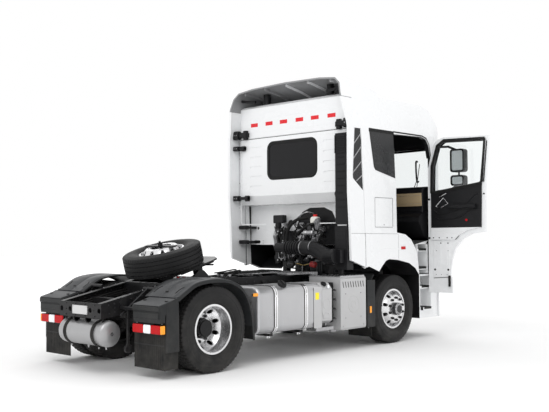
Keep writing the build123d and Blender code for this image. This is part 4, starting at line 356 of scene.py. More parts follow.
# ---------------------------------------------------------------- node groups and finishes
class Graph:
    """Nodes and links of one material or group, made by short calls."""

    def __init__(self, tree: bpy.types.NodeTree) -> None:
        """Holds the tree."""
        self.tree = tree

    def node(self, kind: str, values: dict | None = None, **settings: object) -> bpy.types.Node:
        """Adds a node.

        Args:
            kind: the node's type name without its ShaderNode prefix.
            values: numbers, colours or output sockets for its inputs, by name or index.
            settings: the node's own properties.

        Returns:
            The node.
        """
        made = self.tree.nodes.new(kind if kind.startswith("Node") else "ShaderNode" + kind)
        for name, value in settings.items():
            setattr(made, name, value)
        for key, value in (values or {}).items():
            socket = made.inputs[key]
            if isinstance(value, Socket):
                self.tree.links.new(value, socket)
            else:
                socket.default_value = value
        return made

    def math(self, operation: str, *values: object) -> Socket:
        """Result of a Math node."""
        return self.node("Math", dict(enumerate(values)), operation=operation).outputs[0]

    def coords(self) -> Socket:
        """The piece's own coordinates."""
        return self.node("TexCoord").outputs["Object"]

    def xyz(self) -> bpy.types.NodeOutputs:
        """The three parts of the piece's own coordinates."""
        return self.node("SeparateXYZ", {0: self.coords()}).outputs

    def mix(self, share: object, first: object, second: object) -> Socket:
        """Colour between two colours."""
        return self.node("Mix", {0: share, 6: first, 7: second}, data_type="RGBA").outputs[2]

    def ramp(self, value: object, low: float, high: float,
             out_low: float = 0.0, out_high: float = 1.0) -> Socket:
        """Value carried from one range to another and held at its ends."""
        return self.node("MapRange", {0: value, 1: low, 2: high, 3: out_low, 4: out_high}).outputs[0]

    def place(self, scale: Vec = (1, 1, 1), location: Vec = ORIGIN) -> Socket:
        """The piece's own coordinates, shifted and stretched."""
        return self.node("Mapping", {"Vector": self.coords(),
                "Location": location, "Scale": scale}).outputs[0]

    def noise(self, where: object, scale: object, detail: float = 3.0, rough: float = 0.5) -> Socket:
        """Noise from 0 to 1."""
        values = {"Vector": where, "Scale": scale, "Detail": detail, "Roughness": rough}
        return self.node("TexNoise", values).outputs[0]


def group(name: str, inputs: Sequence[tuple], outputs: Sequence[tuple]) -> tuple:
    """Starts a shader node group with named inputs and outputs.

    Args:
        name: the group's name.
        inputs: name, kind and default of each input.
        outputs: name and kind of each output.

    Returns:
        The group, its graph, its input node and its output node.
    """
    tree = bpy.data.node_groups.new(name, "ShaderNodeTree")
    for label, kind, value in inputs:
        socket = tree.interface.new_socket(label, in_out="INPUT", socket_type="NodeSocket" + kind)
        socket.default_value = value
    for label, kind in outputs:
        tree.interface.new_socket(label, in_out="OUTPUT", socket_type="NodeSocket" + kind)
    graph = Graph(tree)
    return tree, graph, graph.node("NodeGroupInput"), graph.node("NodeGroupOutput")


class Effect(Enum):
    """The shared effects, each a node group that is built once."""

    PATINA = "patina"
    BRUSHED = "brushed_lines"
    CHEQUER = "chequer_plate"
    WEAVE = "cloth_weave"
    HIDE = "moulded_grain"
    FOOT_DUST = "foot_dust"

    def tree(self) -> bpy.types.NodeTree:
        """The effect's node group."""
        return bpy.data.node_groups.get(self.value) or getattr(self, "_" + self.name.lower())()

    def _patina(self) -> bpy.types.NodeTree:
        """Slow cloudy change of colour and gloss with fine specks: two noises, one large and one small."""
        tree, g, start, end = group(self.value, [("Colour", "Color", (0.5, 0.5, 0.5, 1)),
                ("Shade", "Color", (0.4, 0.4, 0.4, 1)), ("Amount", "Float", 0.3), ("Scale", "Float", 3.0),
                ("Roughness", "Float", 0.4), ("Spread", "Float", 0.1), ("Speck Scale", "Float", 300.0)],
                [("Colour", "Color"), ("Roughness", "Float"), ("Height", "Float")])
        where = g.place()
        cloud = g.noise(where, start.outputs["Scale"], 4.0, 0.6)
        speck = g.noise(where, start.outputs["Speck Scale"], 2.0)
        mask = g.ramp(cloud, 0.35, 0.72)
        mixed = g.math("ADD", g.math("MULTIPLY", mask, 0.8),
                       g.math("MULTIPLY", g.ramp(speck, 0.5, 0.75), 0.25))
        share = g.math("MULTIPLY", mixed, start.outputs["Amount"])
        colour = g.mix(share, start.outputs["Colour"], start.outputs["Shade"])
        swing = g.math("MULTIPLY", g.math("SUBTRACT", mixed, 0.5), start.outputs["Spread"])
        rough = g.math("ADD", start.outputs["Roughness"], swing)
        for name, socket in (("Colour", colour), ("Roughness", rough), ("Height", speck)):
            tree.links.new(socket, end.inputs[name])
        return tree

    def _brushed(self) -> bpy.types.NodeTree:
        """Fine lines along one direction: noise stretched by the Stretch vector."""
        tree, g, start, end = group(self.value, [
            ("Stretch", "Vector", (4, 400, 400)), ("Roughness", "Float", 0.3), ("Spread", "Float", 0.2)],
            [("Lines", "Float"), ("Roughness", "Float")])
        where = g.node("VectorMath", {0: g.coords(), 1: start.outputs["Stretch"]},
                       operation="MULTIPLY").outputs[0]
        lines = g.noise(where, 1.0, 3.0, 0.7)
        swing = g.math("MULTIPLY", g.math("SUBTRACT", lines, 0.5), start.outputs["Spread"])
        tree.links.new(lines, end.inputs["Lines"])
        tree.links.new(g.math("ADD", start.outputs["Roughness"], swing), end.inputs["Roughness"])
        return tree

    def _chequer(self) -> bpy.types.NodeTree:
        """Raised lozenges that lean two ways in turn: the product of two crossed cosines, cut at a level."""
        tree, g, start, end = group(self.value, [("Pitch", "Float", 0.03)], [("Height", "Float")])
        parts = g.xyz()
        heights = []
        for sign, shift in ((1.0, 0.0), (-1.0, 0.5)):
            turned = g.math("ADD", parts[0], g.math("MULTIPLY", parts[1], sign))
            across = g.math("SUBTRACT", parts[0], g.math("MULTIPLY", parts[1], sign))
            a = g.math("ADD", g.math("DIVIDE", turned, start.outputs["Pitch"]), shift)
            b = g.math("ADD", g.math("DIVIDE", across, start.outputs["Pitch"]), shift)
            long = g.math("COSINE", g.math("MULTIPLY", a, math.pi))
            thin = g.math("COSINE", g.math("MULTIPLY", b, math.pi))
            level = g.math("SUBTRACT", g.math("ABSOLUTE", long),
                           g.math("MULTIPLY", g.math("ABSOLUTE", thin), 0.75))
            heights.append(g.ramp(level, 0.55, 0.75))
        tree.links.new(g.math("MAXIMUM", *heights), end.inputs["Height"])
        return tree

    def _weave(self) -> bpy.types.NodeTree:
        """Over-and-under threads: two crossed sines that take turns on top."""
        tree, g, start, end = group(self.value, [("Threads", "Float", 500.0)],
                [("Height", "Float"), ("Shade", "Float")])
        parts = g.xyz()
        run = g.math("MULTIPLY", g.math("ADD", parts[0], g.math("MULTIPLY", parts[2], 0.3)),
                     start.outputs["Threads"])
        cross = g.math("MULTIPLY", g.math("ADD", parts[1], parts[2]), start.outputs["Threads"])
        a, b = g.math("SINE", run), g.math("SINE", cross)
        over = g.math("MULTIPLY", a, b)
        height = g.math("ADD", g.math("MULTIPLY", over, 0.5), 0.5)
        melange = g.noise(g.place(), 90.0, 4.0)
        tree.links.new(height, end.inputs["Height"])
        tree.links.new(g.math("MULTIPLY", melange, height), end.inputs["Shade"])
        return tree

    def _hide(self) -> bpy.types.NodeTree:
        """Pebbled grain of moulded plastic: the edges of small cells, softened by noise."""
        tree, g, start, end = group(self.value, [("Scale", "Float", 350.0)], [("Height", "Float")])
        where = g.place()
        cells = g.node("TexVoronoi", {"Vector": where, "Scale": start.outputs["Scale"]},
                       feature="SMOOTH_F1").outputs[0]
        soft = g.noise(where, start.outputs["Scale"], 2.0)
        tree.links.new(g.math("ADD", cells, g.math("MULTIPLY", soft, 0.5)), end.inputs["Height"])
        return tree

    def _foot_dust(self) -> bpy.types.NodeTree:
        """Road dust: strongest near the ground, broken up by noise."""
        tree, g, start, end = group(self.value, [
            ("Colour", "Color", (0.5, 0.5, 0.5, 1)), ("Dust", "Color", (0.30, 0.28, 0.25, 1)),
            ("Amount", "Float", 0.3), ("Reach", "Float", 1.2)], [("Colour", "Color"), ("Mask", "Float")])
        height = g.math("ADD", g.xyz()[2], -float(ROW[2]))
        low = g.math("SUBTRACT", 1.0, g.math("DIVIDE", height, start.outputs["Reach"]))
        cloud = g.noise(g.place(), 6.0, 5.0, 0.65)
        mask = g.math("MULTIPLY", g.node("Clamp", {0: low}).outputs[0], g.ramp(cloud, 0.35, 0.7))
        mask = g.math("MULTIPLY", mask, start.outputs["Amount"])
        tree.links.new(g.mix(mask, start.outputs["Colour"], start.outputs["Dust"]), end.inputs["Colour"])
        tree.links.new(mask, end.inputs["Mask"])
        return tree


def shade(colour: Vec, factor: float) -> tuple[float, float, float, float]:
    """A colour made darker or lighter by a factor, with full alpha."""
    return tuple(min(1.0, c * factor) for c in colour[:3]) + (1.0,)


@dataclass(frozen=True)
class Finish:
    """A painted, moulded or metal surface and the record's material slot that it belongs to."""

    name: str
    slot: str
    colour: tuple[float, float, float]
    rough: float = 0.4
    metal: float = 0.0
    coat: float = 0.0
    vary: float = 0.15
    shade: float = 0.8
    cloud: float = 3.0
    speck: float = 300.0
    bump: float = 0.02
    bump_size: float = 0.001
    grain: float = 0.0
    lines: tuple[float, float, float] | None = None
    dust: float = 0.0
    chequer: float = 0.0
    glow: float = 0.0
    spread: float = 0.12
    specular: float = 0.5

    def material(self) -> bpy.types.Material:
        """The finish's material, built once."""
        known = bpy.data.materials.get(self.name)
        if known:
            return known
        made = bpy.data.materials.new(self.name)
        made.use_nodes = True
        g = Graph(made.node_tree)
        made.node_tree.nodes.clear()
        end = g.node("OutputMaterial")
        shader = g.node("BsdfPrincipled", {"Metallic": self.metal,
                "Coat Weight": self.coat, "Coat Roughness": 0.08, "Specular IOR Level": self.specular})
        self.dress(g, shader)
        made.node_tree.links.new(shader.outputs[0], end.inputs[0])
        made.diffuse_color = shade(self.colour, 1.0)
        return made

    def dress(self, g: Graph, shader: bpy.types.Node) -> None:
        """Feeds the shader's colour, roughness and normal."""
        links = g.tree.links
        patina = g.node("Group", node_tree=Effect.PATINA.tree())
        for key, value in (("Colour", shade(self.colour, 1)), ("Shade", shade(self.colour, self.shade)),
                           ("Amount", self.vary), ("Scale", self.cloud),
                           ("Roughness", self.rough), ("Spread", self.spread), ("Speck Scale", self.speck)):
            patina.inputs[key].default_value = value
        colour, rough, height = patina.outputs
        if self.lines:
            brushed = g.node("Group", {"Stretch": self.lines, "Roughness": rough, "Spread": 0.22},
                             node_tree=Effect.BRUSHED.tree())
            height, rough = brushed.outputs
        if self.grain:
            height = g.node("Group", {"Scale": self.grain}, node_tree=Effect.HIDE.tree()).outputs[0]
        if self.chequer:
            plate = g.node("Group", {"Pitch": self.chequer}, node_tree=Effect.CHEQUER.tree()).outputs[0]
            colour = g.mix(g.math("MULTIPLY", plate, 0.35), colour, shade(self.colour, 1.25))
            height = g.math("ADD", plate, g.math("MULTIPLY", height, 0.1))
        if self.dust:
            dusty = g.node("Group", {"Colour": colour, "Amount": self.dust},
                           node_tree=Effect.FOOT_DUST.tree())
            colour = dusty.outputs[0]
            rough = g.math("ADD", rough, g.math("MULTIPLY", dusty.outputs[1], 0.4))
        links.new(colour, shader.inputs["Base Color"])
        links.new(rough, shader.inputs["Roughness"])
        bump = g.node("Bump", {"Height": height, "Strength": self.bump, "Distance": self.bump_size})
        links.new(bump.outputs[0], shader.inputs["Normal"])
        # glow: emission in the finish's own colour; on lamp lenses it is their light, on tape, labels and
        # reflectors it is painted light
        if self.glow:
            links.new(colour, shader.inputs["Emission Color"])
            shader.inputs["Emission Strength"].default_value = self.glow


@dataclass(frozen=True)
class Glass(Finish):
    """Glass pane: tinted, smooth, with the faintest smear."""

    clear: float = 1.0

    def dress(self, g: Graph, shader: bpy.types.Node) -> None:
        """Plain transmission, with the smear in the roughness alone."""
        shader.inputs["Transmission Weight"].default_value = self.clear
        shader.inputs["IOR"].default_value = 1.45
        smear = g.noise(g.place(), self.cloud, 4.0)
        g.tree.links.new(g.ramp(smear, 0.3, 0.8, self.rough, self.rough + 0.02), shader.inputs["Roughness"])
        tint = g.mix(g.ramp(smear, 0.2, 0.9, 0.0, 0.15),
                     shade(self.colour, 1.0), shade(self.colour, self.shade))
        g.tree.links.new(tint, shader.inputs["Base Color"])


@dataclass(frozen=True)
class Cloth(Finish):
    """Woven seat cloth with a light sheen."""

    threads: float = 1400.0

    def dress(self, g: Graph, shader: bpy.types.Node) -> None:
        """Weave for height and shade, sheen on the shader."""
        weave = g.node("Group", {"Threads": self.threads}, node_tree=Effect.WEAVE.tree())
        colour = g.mix(g.ramp(weave.outputs[1], 0.0, 0.7),
                       shade(self.colour, self.shade), shade(self.colour, 1.15))
        g.tree.links.new(colour, shader.inputs["Base Color"])
        g.tree.links.new(g.ramp(weave.outputs[0], 0.0, 1.0, self.rough - 0.05, self.rough + 0.05),
                         shader.inputs["Roughness"])
        bump = g.node("Bump", {"Height": weave.outputs[0], "Strength": self.bump, "Distance": self.bump_size})
        g.tree.links.new(bump.outputs[0], shader.inputs["Normal"])
        shader.inputs["Sheen Weight"].default_value = 0.25
        shader.inputs["Sheen Roughness"].default_value = 0.5


WHITE = Finish("cab_white_paint", "white_paint", (0.84, 0.85, 0.86), 0.28, coat=0.5,
               vary=0.05, shade=0.93, cloud=1.6, speck=700, bump=0.04, bump_size=0.0004, spread=0.06)
FRAME_BLACK = Finish("chassis_black_paint", "grey_frame", (0.007, 0.007, 0.008), 0.34, vary=0.5,
                     shade=2.4, cloud=4, speck=420, bump=0.08, bump_size=0.0006, dust=0.12, specular=0.22)
CAST = Finish("cast_iron_black", "cast_iron", (0.010, 0.010, 0.011), 0.5, metal=0.1,
              vary=0.5, shade=2.0, cloud=9, speck=220, bump=0.35, bump_size=0.0012, dust=0.15, specular=0.22)
GREASED = Finish("greased_plate", "cast_iron", (0.016, 0.016, 0.017),
                 0.3, metal=0.3, vary=0.6, shade=2.2, cloud=7, speck=160, bump=0.15, bump_size=0.001)
ENGINE = Finish("engine_metal_dark", "engine_metal", (0.020, 0.021, 0.023),
                0.38, metal=0.4, vary=0.5, shade=2.2, cloud=12, speck=260, bump=0.25, bump_size=0.001)
ENGINE_BRIGHT = Finish("engine_cast_aluminium", "engine_metal", (0.30, 0.30, 0.31), 0.42, metal=0.8, vary=0.4,
                       shade=0.55, cloud=14, speck=300, bump=0.2, bump_size=0.001)
POLISHED = Finish("polished_wheel_alloy", "polished_alloy", (0.78, 0.78, 0.79), 0.26, metal=0.90, vary=0.15,
                  shade=0.8, cloud=9, speck=500, bump=0.03, bump_size=0.0004, spread=0.08, dust=0.12)
STEEL = Finish("zinc_steel", "polished_alloy", (0.42, 0.42, 0.43),
               0.3, metal=0.85, vary=0.3, shade=0.65, cloud=20, speck=400, bump=0.05, bump_size=0.0005)
DARK_STEEL = Finish("blackened_steel", "engine_metal", (0.028, 0.028, 0.030),
                    0.35, metal=0.5, vary=0.4, shade=1.8, cloud=16, speck=400, bump=0.08, bump_size=0.0006)
TANK = Finish("tank_aluminium", "tank_alloy", (0.50, 0.50, 0.51), 0.34, metal=0.75,
              vary=0.12, shade=0.85, cloud=4, bump=0.05, bump_size=0.0004, lines=(700, 5, 700), spread=0.1)
AIR_SILVER = Finish("air_tank_silver", "tank_alloy", (0.40, 0.40, 0.405),
                    0.36, metal=0.6, vary=0.15, shade=0.82, cloud=6, speck=500, bump=0.05, bump_size=0.0004)
SILVER_COVER = Finish("silver_cover", "silver_plastic", (0.52, 0.52, 0.525), 0.38, metal=0.25,
                      vary=0.1, shade=0.86, cloud=5, speck=600, bump=0.06, bump_size=0.0004, dust=0.1)
DECK = Finish("deck_chequer", "chequer_plate", (0.55, 0.55, 0.56),
              0.32, metal=0.75, vary=0.25, shade=0.7, cloud=7, bump=0.6, bump_size=0.002, chequer=0.034)
BLACK_PLASTIC = Finish("black_moulding", "black_plastic", (0.008, 0.008, 0.009), 0.42, vary=0.35,
                       shade=1.9, cloud=5, bump=0.18, bump_size=0.0006, grain=420, dust=0.08, specular=0.22)
GLOSS_BLACK = Finish("gloss_black_panel", "black_plastic", (0.006, 0.006, 0.007), 0.16, coat=0.0,
                     vary=0.3, shade=1.8, cloud=4, speck=700, bump=0.03, bump_size=0.0003, specular=0.25)
QUARTER_GREY = Finish("quarter_panel_grey", "black_plastic", (0.014, 0.0145, 0.016), 0.3, coat=0.1,
                      vary=0.2, shade=0.7, cloud=3, speck=900, bump=0.03, bump_size=0.0003, specular=0.3)
FENDER_GREY = Finish("fender_moulding", "grey_plastic", (0.014, 0.015, 0.016), 0.46, vary=0.35,
                     shade=1.7, cloud=3.5, bump=0.16, bump_size=0.0006, grain=380, dust=0.12, specular=0.22)
FENDER_TOP = Finish("fender_top_moulding", "grey_plastic", (0.045, 0.047, 0.050),
                    0.42, vary=0.3, shade=0.7, cloud=4, bump=0.14, bump_size=0.0006, grain=380, specular=0.3)
DEFLECTOR_GREY = Finish("deflector_inside", "grey_plastic", (0.26, 0.262, 0.268),
                        0.4, vary=0.3, shade=0.6, cloud=5, speck=260, bump=0.12, bump_size=0.0008)
RUBBER = Finish("black_rubber", "rubber", (0.008, 0.008, 0.008), 0.62,
                vary=0.5, shade=1.7, cloud=6, speck=520, bump=0.1, bump_size=0.0006, dust=0.15, specular=0.22)
TYRE = Finish("tyre_rubber", "tyre", (0.009, 0.009, 0.0095), 0.55, vary=0.45, shade=1.8, cloud=4, speck=600,
              bump=0.12, bump_size=0.0005, dust=0.10, specular=0.22)
CABIN = Finish("cabin_trim_dark", "cabin_trim", (0.010, 0.010, 0.011), 0.5, vary=0.3, shade=1.6, cloud=6,
               bump=0.2, bump_size=0.0005, grain=500, specular=0.22)
CABIN_TAN = Finish("cabin_trim_tan", "cabin_trim", (0.46, 0.35, 0.21), 0.5, vary=0.25, shade=0.75, cloud=7,
                   bump=0.2, bump_size=0.0005, grain=500)
CHROME = Finish("bright_trim", "polished_alloy", (0.85, 0.85, 0.86), 0.1,
                metal=1.0, vary=0.1, shade=0.85, cloud=9, speck=600, bump=0.01, bump_size=0.0003, spread=0.04)
RED_LENS = Finish("red_lens", "lamp_lens", (0.48, 0.002, 0.005), 0.22, coat=0.05, vary=0.35, shade=0.55,
                  cloud=40, bump=0.5, bump_size=0.0008, lines=(420, 1, 40), glow=0.12, specular=0.15)
WHITE_LENS = Finish("white_lens", "lamp_lens", (0.85, 0.87, 0.90), 0.14, coat=0.6,
                    vary=0.3, shade=0.75, cloud=40, bump=0.5, bump_size=0.0008, lines=(420, 1, 40), glow=0.08)
AMBER_LENS = Finish("amber_lens", "lamp_lens", (0.92, 0.33, 0.004), 0.18, coat=0.2,
                    vary=0.3, shade=0.7, cloud=40, bump=0.4, bump_size=0.0008, lines=(1, 420, 40), glow=0.12)
# glow: painted light, the reflex tape lights itself though it is no lamp
RED_TAPE = Finish("red_reflex_tape", "lamp_lens", (0.66, 0.004, 0.012), 0.3,
                  coat=0.0, vary=0.2, shade=0.8, cloud=60, bump=0.2, bump_size=0.0003, grain=900, glow=0.1)
# glow: painted light, the label lights itself though it is no lamp
YELLOW = Finish("yellow_label", "lamp_lens", (0.95, 0.80, 0.02),
                0.4, vary=0.1, shade=0.85, cloud=20, bump=0.04, bump_size=0.0003, glow=0.05)
PLATE = Finish("blank_plate", "silver_plastic", (0.60, 0.60, 0.60),
               0.35, metal=0.05, vary=0.05, shade=0.8, cloud=15, speck=500, bump=0.05, bump_size=0.0004)
MILKY = Finish("translucent_reservoir", "engine_metal",
               (0.80, 0.79, 0.74), 0.35, vary=0.2, shade=0.8, cloud=20, bump=0.05)
RED_CAP = Finish("red_cap", "lamp_lens", (0.70, 0.02, 0.015), 0.3, vary=0.2, shade=0.7, cloud=30, bump=0.05)
DARK_RED = Finish("red_filter", "lamp_lens", (0.30, 0.02, 0.02),
                  0.35, vary=0.3, shade=0.6, cloud=30, bump=0.05)
BRASS = Finish("dull_brass", "engine_metal", (0.55, 0.40, 0.16),
               0.35, metal=0.8, vary=0.3, shade=0.6, cloud=30, bump=0.05)
CLEAR = Glass("door_glass_clear", "glass", (0.925, 0.955, 0.955), 0.0, vary=0.1, shade=0.97, cloud=3)
# opaque and near-black: the glass's dark tint together with painted shade of the cabin behind the rear window
DARK_GLASS = Glass("dark_window_glass", "glass", (0.004, 0.004, 0.005),
                   0.06, vary=0.1, shade=0.9, cloud=3, clear=0.0, specular=0.2)
# pale and barely metallic: painted reflection of the bright surroundings in place of a true mirror
MIRROR = Finish("mirror_glass", "glass", (0.80, 0.83, 0.84),
                0.15, metal=0.1, vary=0.05, shade=0.95, cloud=5, bump=0.0, spread=0.01)
SEAT_CLOTH = Cloth("seat_cloth_grey", "fabric", (0.075, 0.075, 0.08),
                   0.85, shade=0.6, bump=0.5, bump_size=0.0012)
BUNK_CLOTH = Cloth("bunk_cloth_tan", "fabric", (0.36, 0.30, 0.22),
                   0.85, shade=0.7, bump=0.5, bump_size=0.0012)


# ---------------------------------------------------------------- pieces
def add_piece(name: str, skin: Skin, finish: Finish | Sequence[Finish], body: str,
              angle: float = SMOOTH_BELOW, groups: Sequence[int] | None = None,
              replaces: Sequence[str] = ()) -> bpy.types.Object:
    """Makes a skin an object that rides on a body.

    Args:
        name: the piece's name.
        skin: its points and faces in the ground frame.
        finish: its finish, or several with groups to choose among them.
        body: the CAD body that it rides on.
        angle: faces that meet at less than this many degrees are shaded smooth.
        groups: for each array of faces in the skin, which finish it has; or one number for each face.
        replaces: CAD nodes that the piece stands for.

    Returns:
        The object.
    """
    finishes = [finish] if isinstance(finish, Finish) else list(finish)
    mesh = bpy.data.meshes.new(name)
    points = skin.points + ROW
    counts = np.concatenate([np.full(len(f), f.shape[1]) for f in skin.faces])
    corners = np.concatenate([f.ravel() for f in skin.faces])
    mesh.vertices.add(len(points))
    mesh.vertices.foreach_set("co", points.astype(np.float32).ravel())
    mesh.loops.add(len(corners))
    mesh.loops.foreach_set("vertex_index", corners.astype(np.int32))
    mesh.polygons.add(len(counts))
    mesh.polygons.foreach_set("loop_start", (np.cumsum(counts) - counts).astype(np.int32))
    for each in finishes:
        mesh.materials.append(each.material())
    if groups is not None:
        marks = np.asarray(groups, np.int32)
        if len(marks) != len(counts):
            marks = np.concatenate([np.full(len(f), m) for f, m in zip(skin.faces, marks)]).astype(np.int32)
        mesh.polygons.foreach_set("material_index", marks)
    mesh.update(calc_edges=True)
    mesh.validate()
    mesh.shade_smooth()
    mesh.set_sharp_from_angle(angle=math.radians(angle))
    piece = bpy.data.objects.new(name, mesh)
    bpy.context.scene.collection.objects.link(piece)
    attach(piece, body)
    if replaces:
        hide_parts(*replaces)
    LOG.info("%s: %d faces on %s", name, len(counts), body)
    return piece


class Parts(list):
    """Skins of one piece, each with the number of its finish."""

    def add(self, mark: int, skin: Skin) -> None:
        """Adds a skin that wears the finish of this number."""
        self.append((mark, skin))


def joined(*parts: tuple[int, Skin]) -> tuple[Skin, list[int]]:
    """Several skins as one, with the finish number of every face.

    Args:
        parts: a finish number and a skin each.

    Returns:
        The whole skin and its list of finish numbers, one for each face.
    """
    whole, marks = parts[0][1], []
    for _, skin in parts[1:]:
        whole = whole + skin
    for mark, skin in parts:
        marks += [mark] * sum(len(f) for f in skin.faces)
    return whole, marks


def add_mixed(name: str, finishes: Sequence[Finish], body: str,
              *parts: tuple[int, Skin], angle: float = SMOOTH_BELOW, replaces: Sequence[str] = ()) -> None:
    """Adds a piece of several skins, each with one of the finishes."""
    whole, marks = joined(*parts)
    add_piece(name, whole, finishes, body, angle, marks, replaces)


def mesh_points(mesh: bpy.types.Mesh) -> Array:
    """Places of a mesh's points."""
    places = np.empty(len(mesh.vertices) * 3)
    mesh.vertices.foreach_get("co", places)
    return places.reshape(-1, 3)


def node_skin(node: str) -> Skin:
    """A CAD node's triangles with their shared points merged, in the ground frame."""
    mesh = frame["nodes"][node].data
    corners = np.empty(len(mesh.loops), np.int64)
    mesh.loops.foreach_get("vertex_index", corners)
    keys, back = np.unique(np.round(mesh_points(mesh), MERGE_DIGITS), axis=0, return_inverse=True)
    tris = back.ravel()[corners].reshape(-1, 3)
    good = (tris[:, 0] != tris[:, 1]) & (tris[:, 1] != tris[:, 2]) & (tris[:, 0] != tris[:, 2])
    return Skin(keys - ROW, [tris[good]])


def dress_node(node: str, *choices: tuple[Finish, Rule | None], angle: float = CAD_SMOOTH_BELOW) -> None:
    """Stands a merged copy for a CAD node, each face with the last finish whose rule it meets.

    Args:
        node: the CAD node.
        choices: a finish and its rule, which takes the faces' centres and normals; the first rule is None.
        angle: faces that meet at less than this many degrees are shaded smooth.
    """
    skin = node_skin(node)
    tris = skin.faces[0]
    a, b, c = (skin.points[tris[:, k]] for k in range(3))
    centre, normal = (a + b + c) / 3, np.cross(b - a, c - a)
    normal /= np.maximum(np.linalg.norm(normal, axis=1, keepdims=True), 1e-12)
    marks = np.zeros(len(tris), int)
    for index, (_, rule) in enumerate(choices):
        if rule is not None:
            marks[rule(centre, normal)] = index
    body = frame["nodes"][node]["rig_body"]
    add_piece(node + ".dressed", skin, [f for f, _ in choices], body, angle, marks, [node])


def finish_node(node: str, finish: Finish) -> None:
    """Gives a CAD node's own mesh its finish."""
    piece = frame["nodes"][node]
    piece.data.materials.clear()
    piece.data.materials.append(finish.material())
    LOG.info("%s: finished as %s", node, finish.name)


def inside(low: Vec, high: Vec) -> Rule:
    """Rule for faces centred in a box of the ground frame; |x| counts where low x is not negative."""
    a, b = np.asarray(low, float), np.asarray(high, float)

    def rule(centre: Array, normal: Array) -> Array:
        """Whether each centre lies in the box."""
        place = centre if a[0] < 0 else centre * np.where(centre < 0, (-1, 1, 1), (1, 1, 1))
        return ((place >= a) & (place <= b)).all(1)

    return rule


# ---------------------------------------------------------------- stage
@dataclass
class Studio:
    """Pale floor, even white surroundings, two soft lamps and the camera."""

    sky: float = 0.98
    key_power: float = 420.0
    fill_power: float = 90.0
    reach: float = 60.0
    fade: tuple[float, float] = (7.0, 16.0)
    sensor: float = 36.0
    view_limit: float = 200.0
    lens: float = 55.39
    yaw: float = 0.75378
    pitch: float = 0.0373759
    roll: float = -0.00478901
    position: tuple[float, float, float] = (-8.69372, 7.416078, 0.343773)

    def build(self) -> None:
        """Makes the floor, the world, the lamps and the camera."""
        self.floor()
        self.world()
        self.lamp("key", (-6.0, 6.5, 8.5), 7.0, self.key_power)
        self.lamp("fill", (7.5, -8.5, 7.0), 8.0, self.fill_power)
        self.camera()

    def floor(self) -> None:
        """Flat floor that the tyres stand on, its far part faded into white for the camera."""
        reach = self.reach
        mesh = bpy.data.meshes.new("studio_floor")
        z = float(ROW[2])
        corners = [(-reach, -reach, z), (reach, -reach, z), (reach, reach, z), (-reach, reach, z)]
        mesh.from_pydata(corners, [], [(0, 1, 2, 3)])
        material = bpy.data.materials.new("studio_floor")
        material.use_nodes = True
        g = Graph(material.node_tree)
        shader = material.node_tree.nodes["Principled BSDF"]
        where = g.place()
        grain = g.noise(where, 2.0)
        colour = g.mix(grain, (0.93, 0.93, 0.93, 1), (0.96, 0.96, 0.96, 1))
        far = g.node("VectorMath", {0: where}, operation="LENGTH").outputs["Value"]
        glow = g.ramp(far, *self.fade, 0.0, 0.35)
        material.node_tree.links.new(colour, shader.inputs["Base Color"])
        shader.inputs["Emission Color"].default_value = (1.0, 1.0, 1.0, 1.0)
        material.node_tree.links.new(glow, shader.inputs["Emission Strength"])
        shader.inputs["Roughness"].default_value = 0.85
        shader.inputs["Specular IOR Level"].default_value = 0.1
        mesh.materials.append(material)
        floor = bpy.data.objects.new("studio_floor", mesh)
        bpy.context.scene.collection.objects.link(floor)

    def world(self) -> None:
        """Even light, seen as plain white by the camera and in glass and metal."""
        world = bpy.data.worlds.new("studio_world")
        bpy.context.scene.world = world
        world.use_nodes = True
        g = Graph(world.node_tree)
        world.node_tree.nodes.clear()
        path = g.node("LightPath").outputs
        seen = g.math("MAXIMUM", path["Is Camera Ray"],
                      g.math("MAXIMUM", path["Is Glossy Ray"], path["Is Transmission Ray"]))
        strength = g.ramp(seen, 0.0, 1.0, self.sky, 1.0)
        back = g.node("Background", {"Color": (1, 1, 1, 1), "Strength": strength})
        end = g.node("OutputWorld")
        world.node_tree.links.new(back.outputs[0], end.inputs[0])

    def lamp(self, name: str, place: Vec, size: float, power: float) -> None:
        """Square soft lamp that looks at the truck's middle."""
        data = bpy.data.lights.new(name, "AREA")
        data.energy, data.size = power, size
        lamp = bpy.data.objects.new(name, data)
        bpy.context.scene.collection.objects.link(lamp)
        back = np.asarray(place, float) - (0.0, -1.5, 0.0)
        lamp.matrix_world = look(back / np.linalg.norm(back), place)

    def camera(self) -> None:
        """Camera behind the truck's right rear corner, at about the height of its lamps."""
        data = bpy.data.cameras.new("camera")
        data.lens, data.sensor_width, data.clip_end = self.lens, self.sensor, self.view_limit
        camera = bpy.data.objects.new("camera", data)
        bpy.context.scene.collection.objects.link(camera)
        cos = math.cos(self.pitch)
        ahead = np.array((math.sin(self.yaw) * cos, -math.cos(self.yaw) * cos, math.sin(self.pitch)))
        right = np.cross(ahead, Z_AXIS)
        right /= np.linalg.norm(right)
        turn = turn_matrix(math.degrees(-self.roll), ahead)
        right, top = turn @ right, turn @ np.cross(right, ahead)
        camera.matrix_world = placed(right, top, -ahead, self.position)
        bpy.context.scene.camera = camera
        bpy.context.scene.view_settings.view_transform = "Standard"


def placed(right: Array, top: Array, back: Array, place: Vec) -> Matrix:
    """Matrix of an object at a place, from its three axes."""
    matrix = np.eye(4)
    matrix[:3, 0], matrix[:3, 1], matrix[:3, 2], matrix[:3, 3] = right, top, back, place
    return Matrix([tuple(row) for row in matrix])


def look(back: Array, place: Vec) -> Matrix:
    """Matrix of an object at a place whose local z points along back."""
    right = np.cross(Z_AXIS, back)
    right /= np.linalg.norm(right)
    return placed(right, np.cross(back, right), back, place)


# ---------------------------------------------------------------- wheels
class Tread(Enum):
    """Tread patterns: how many pitches round, and whether blocks are cut across."""

    RIBBED = (72, False)
    DRIVE = (60, True)


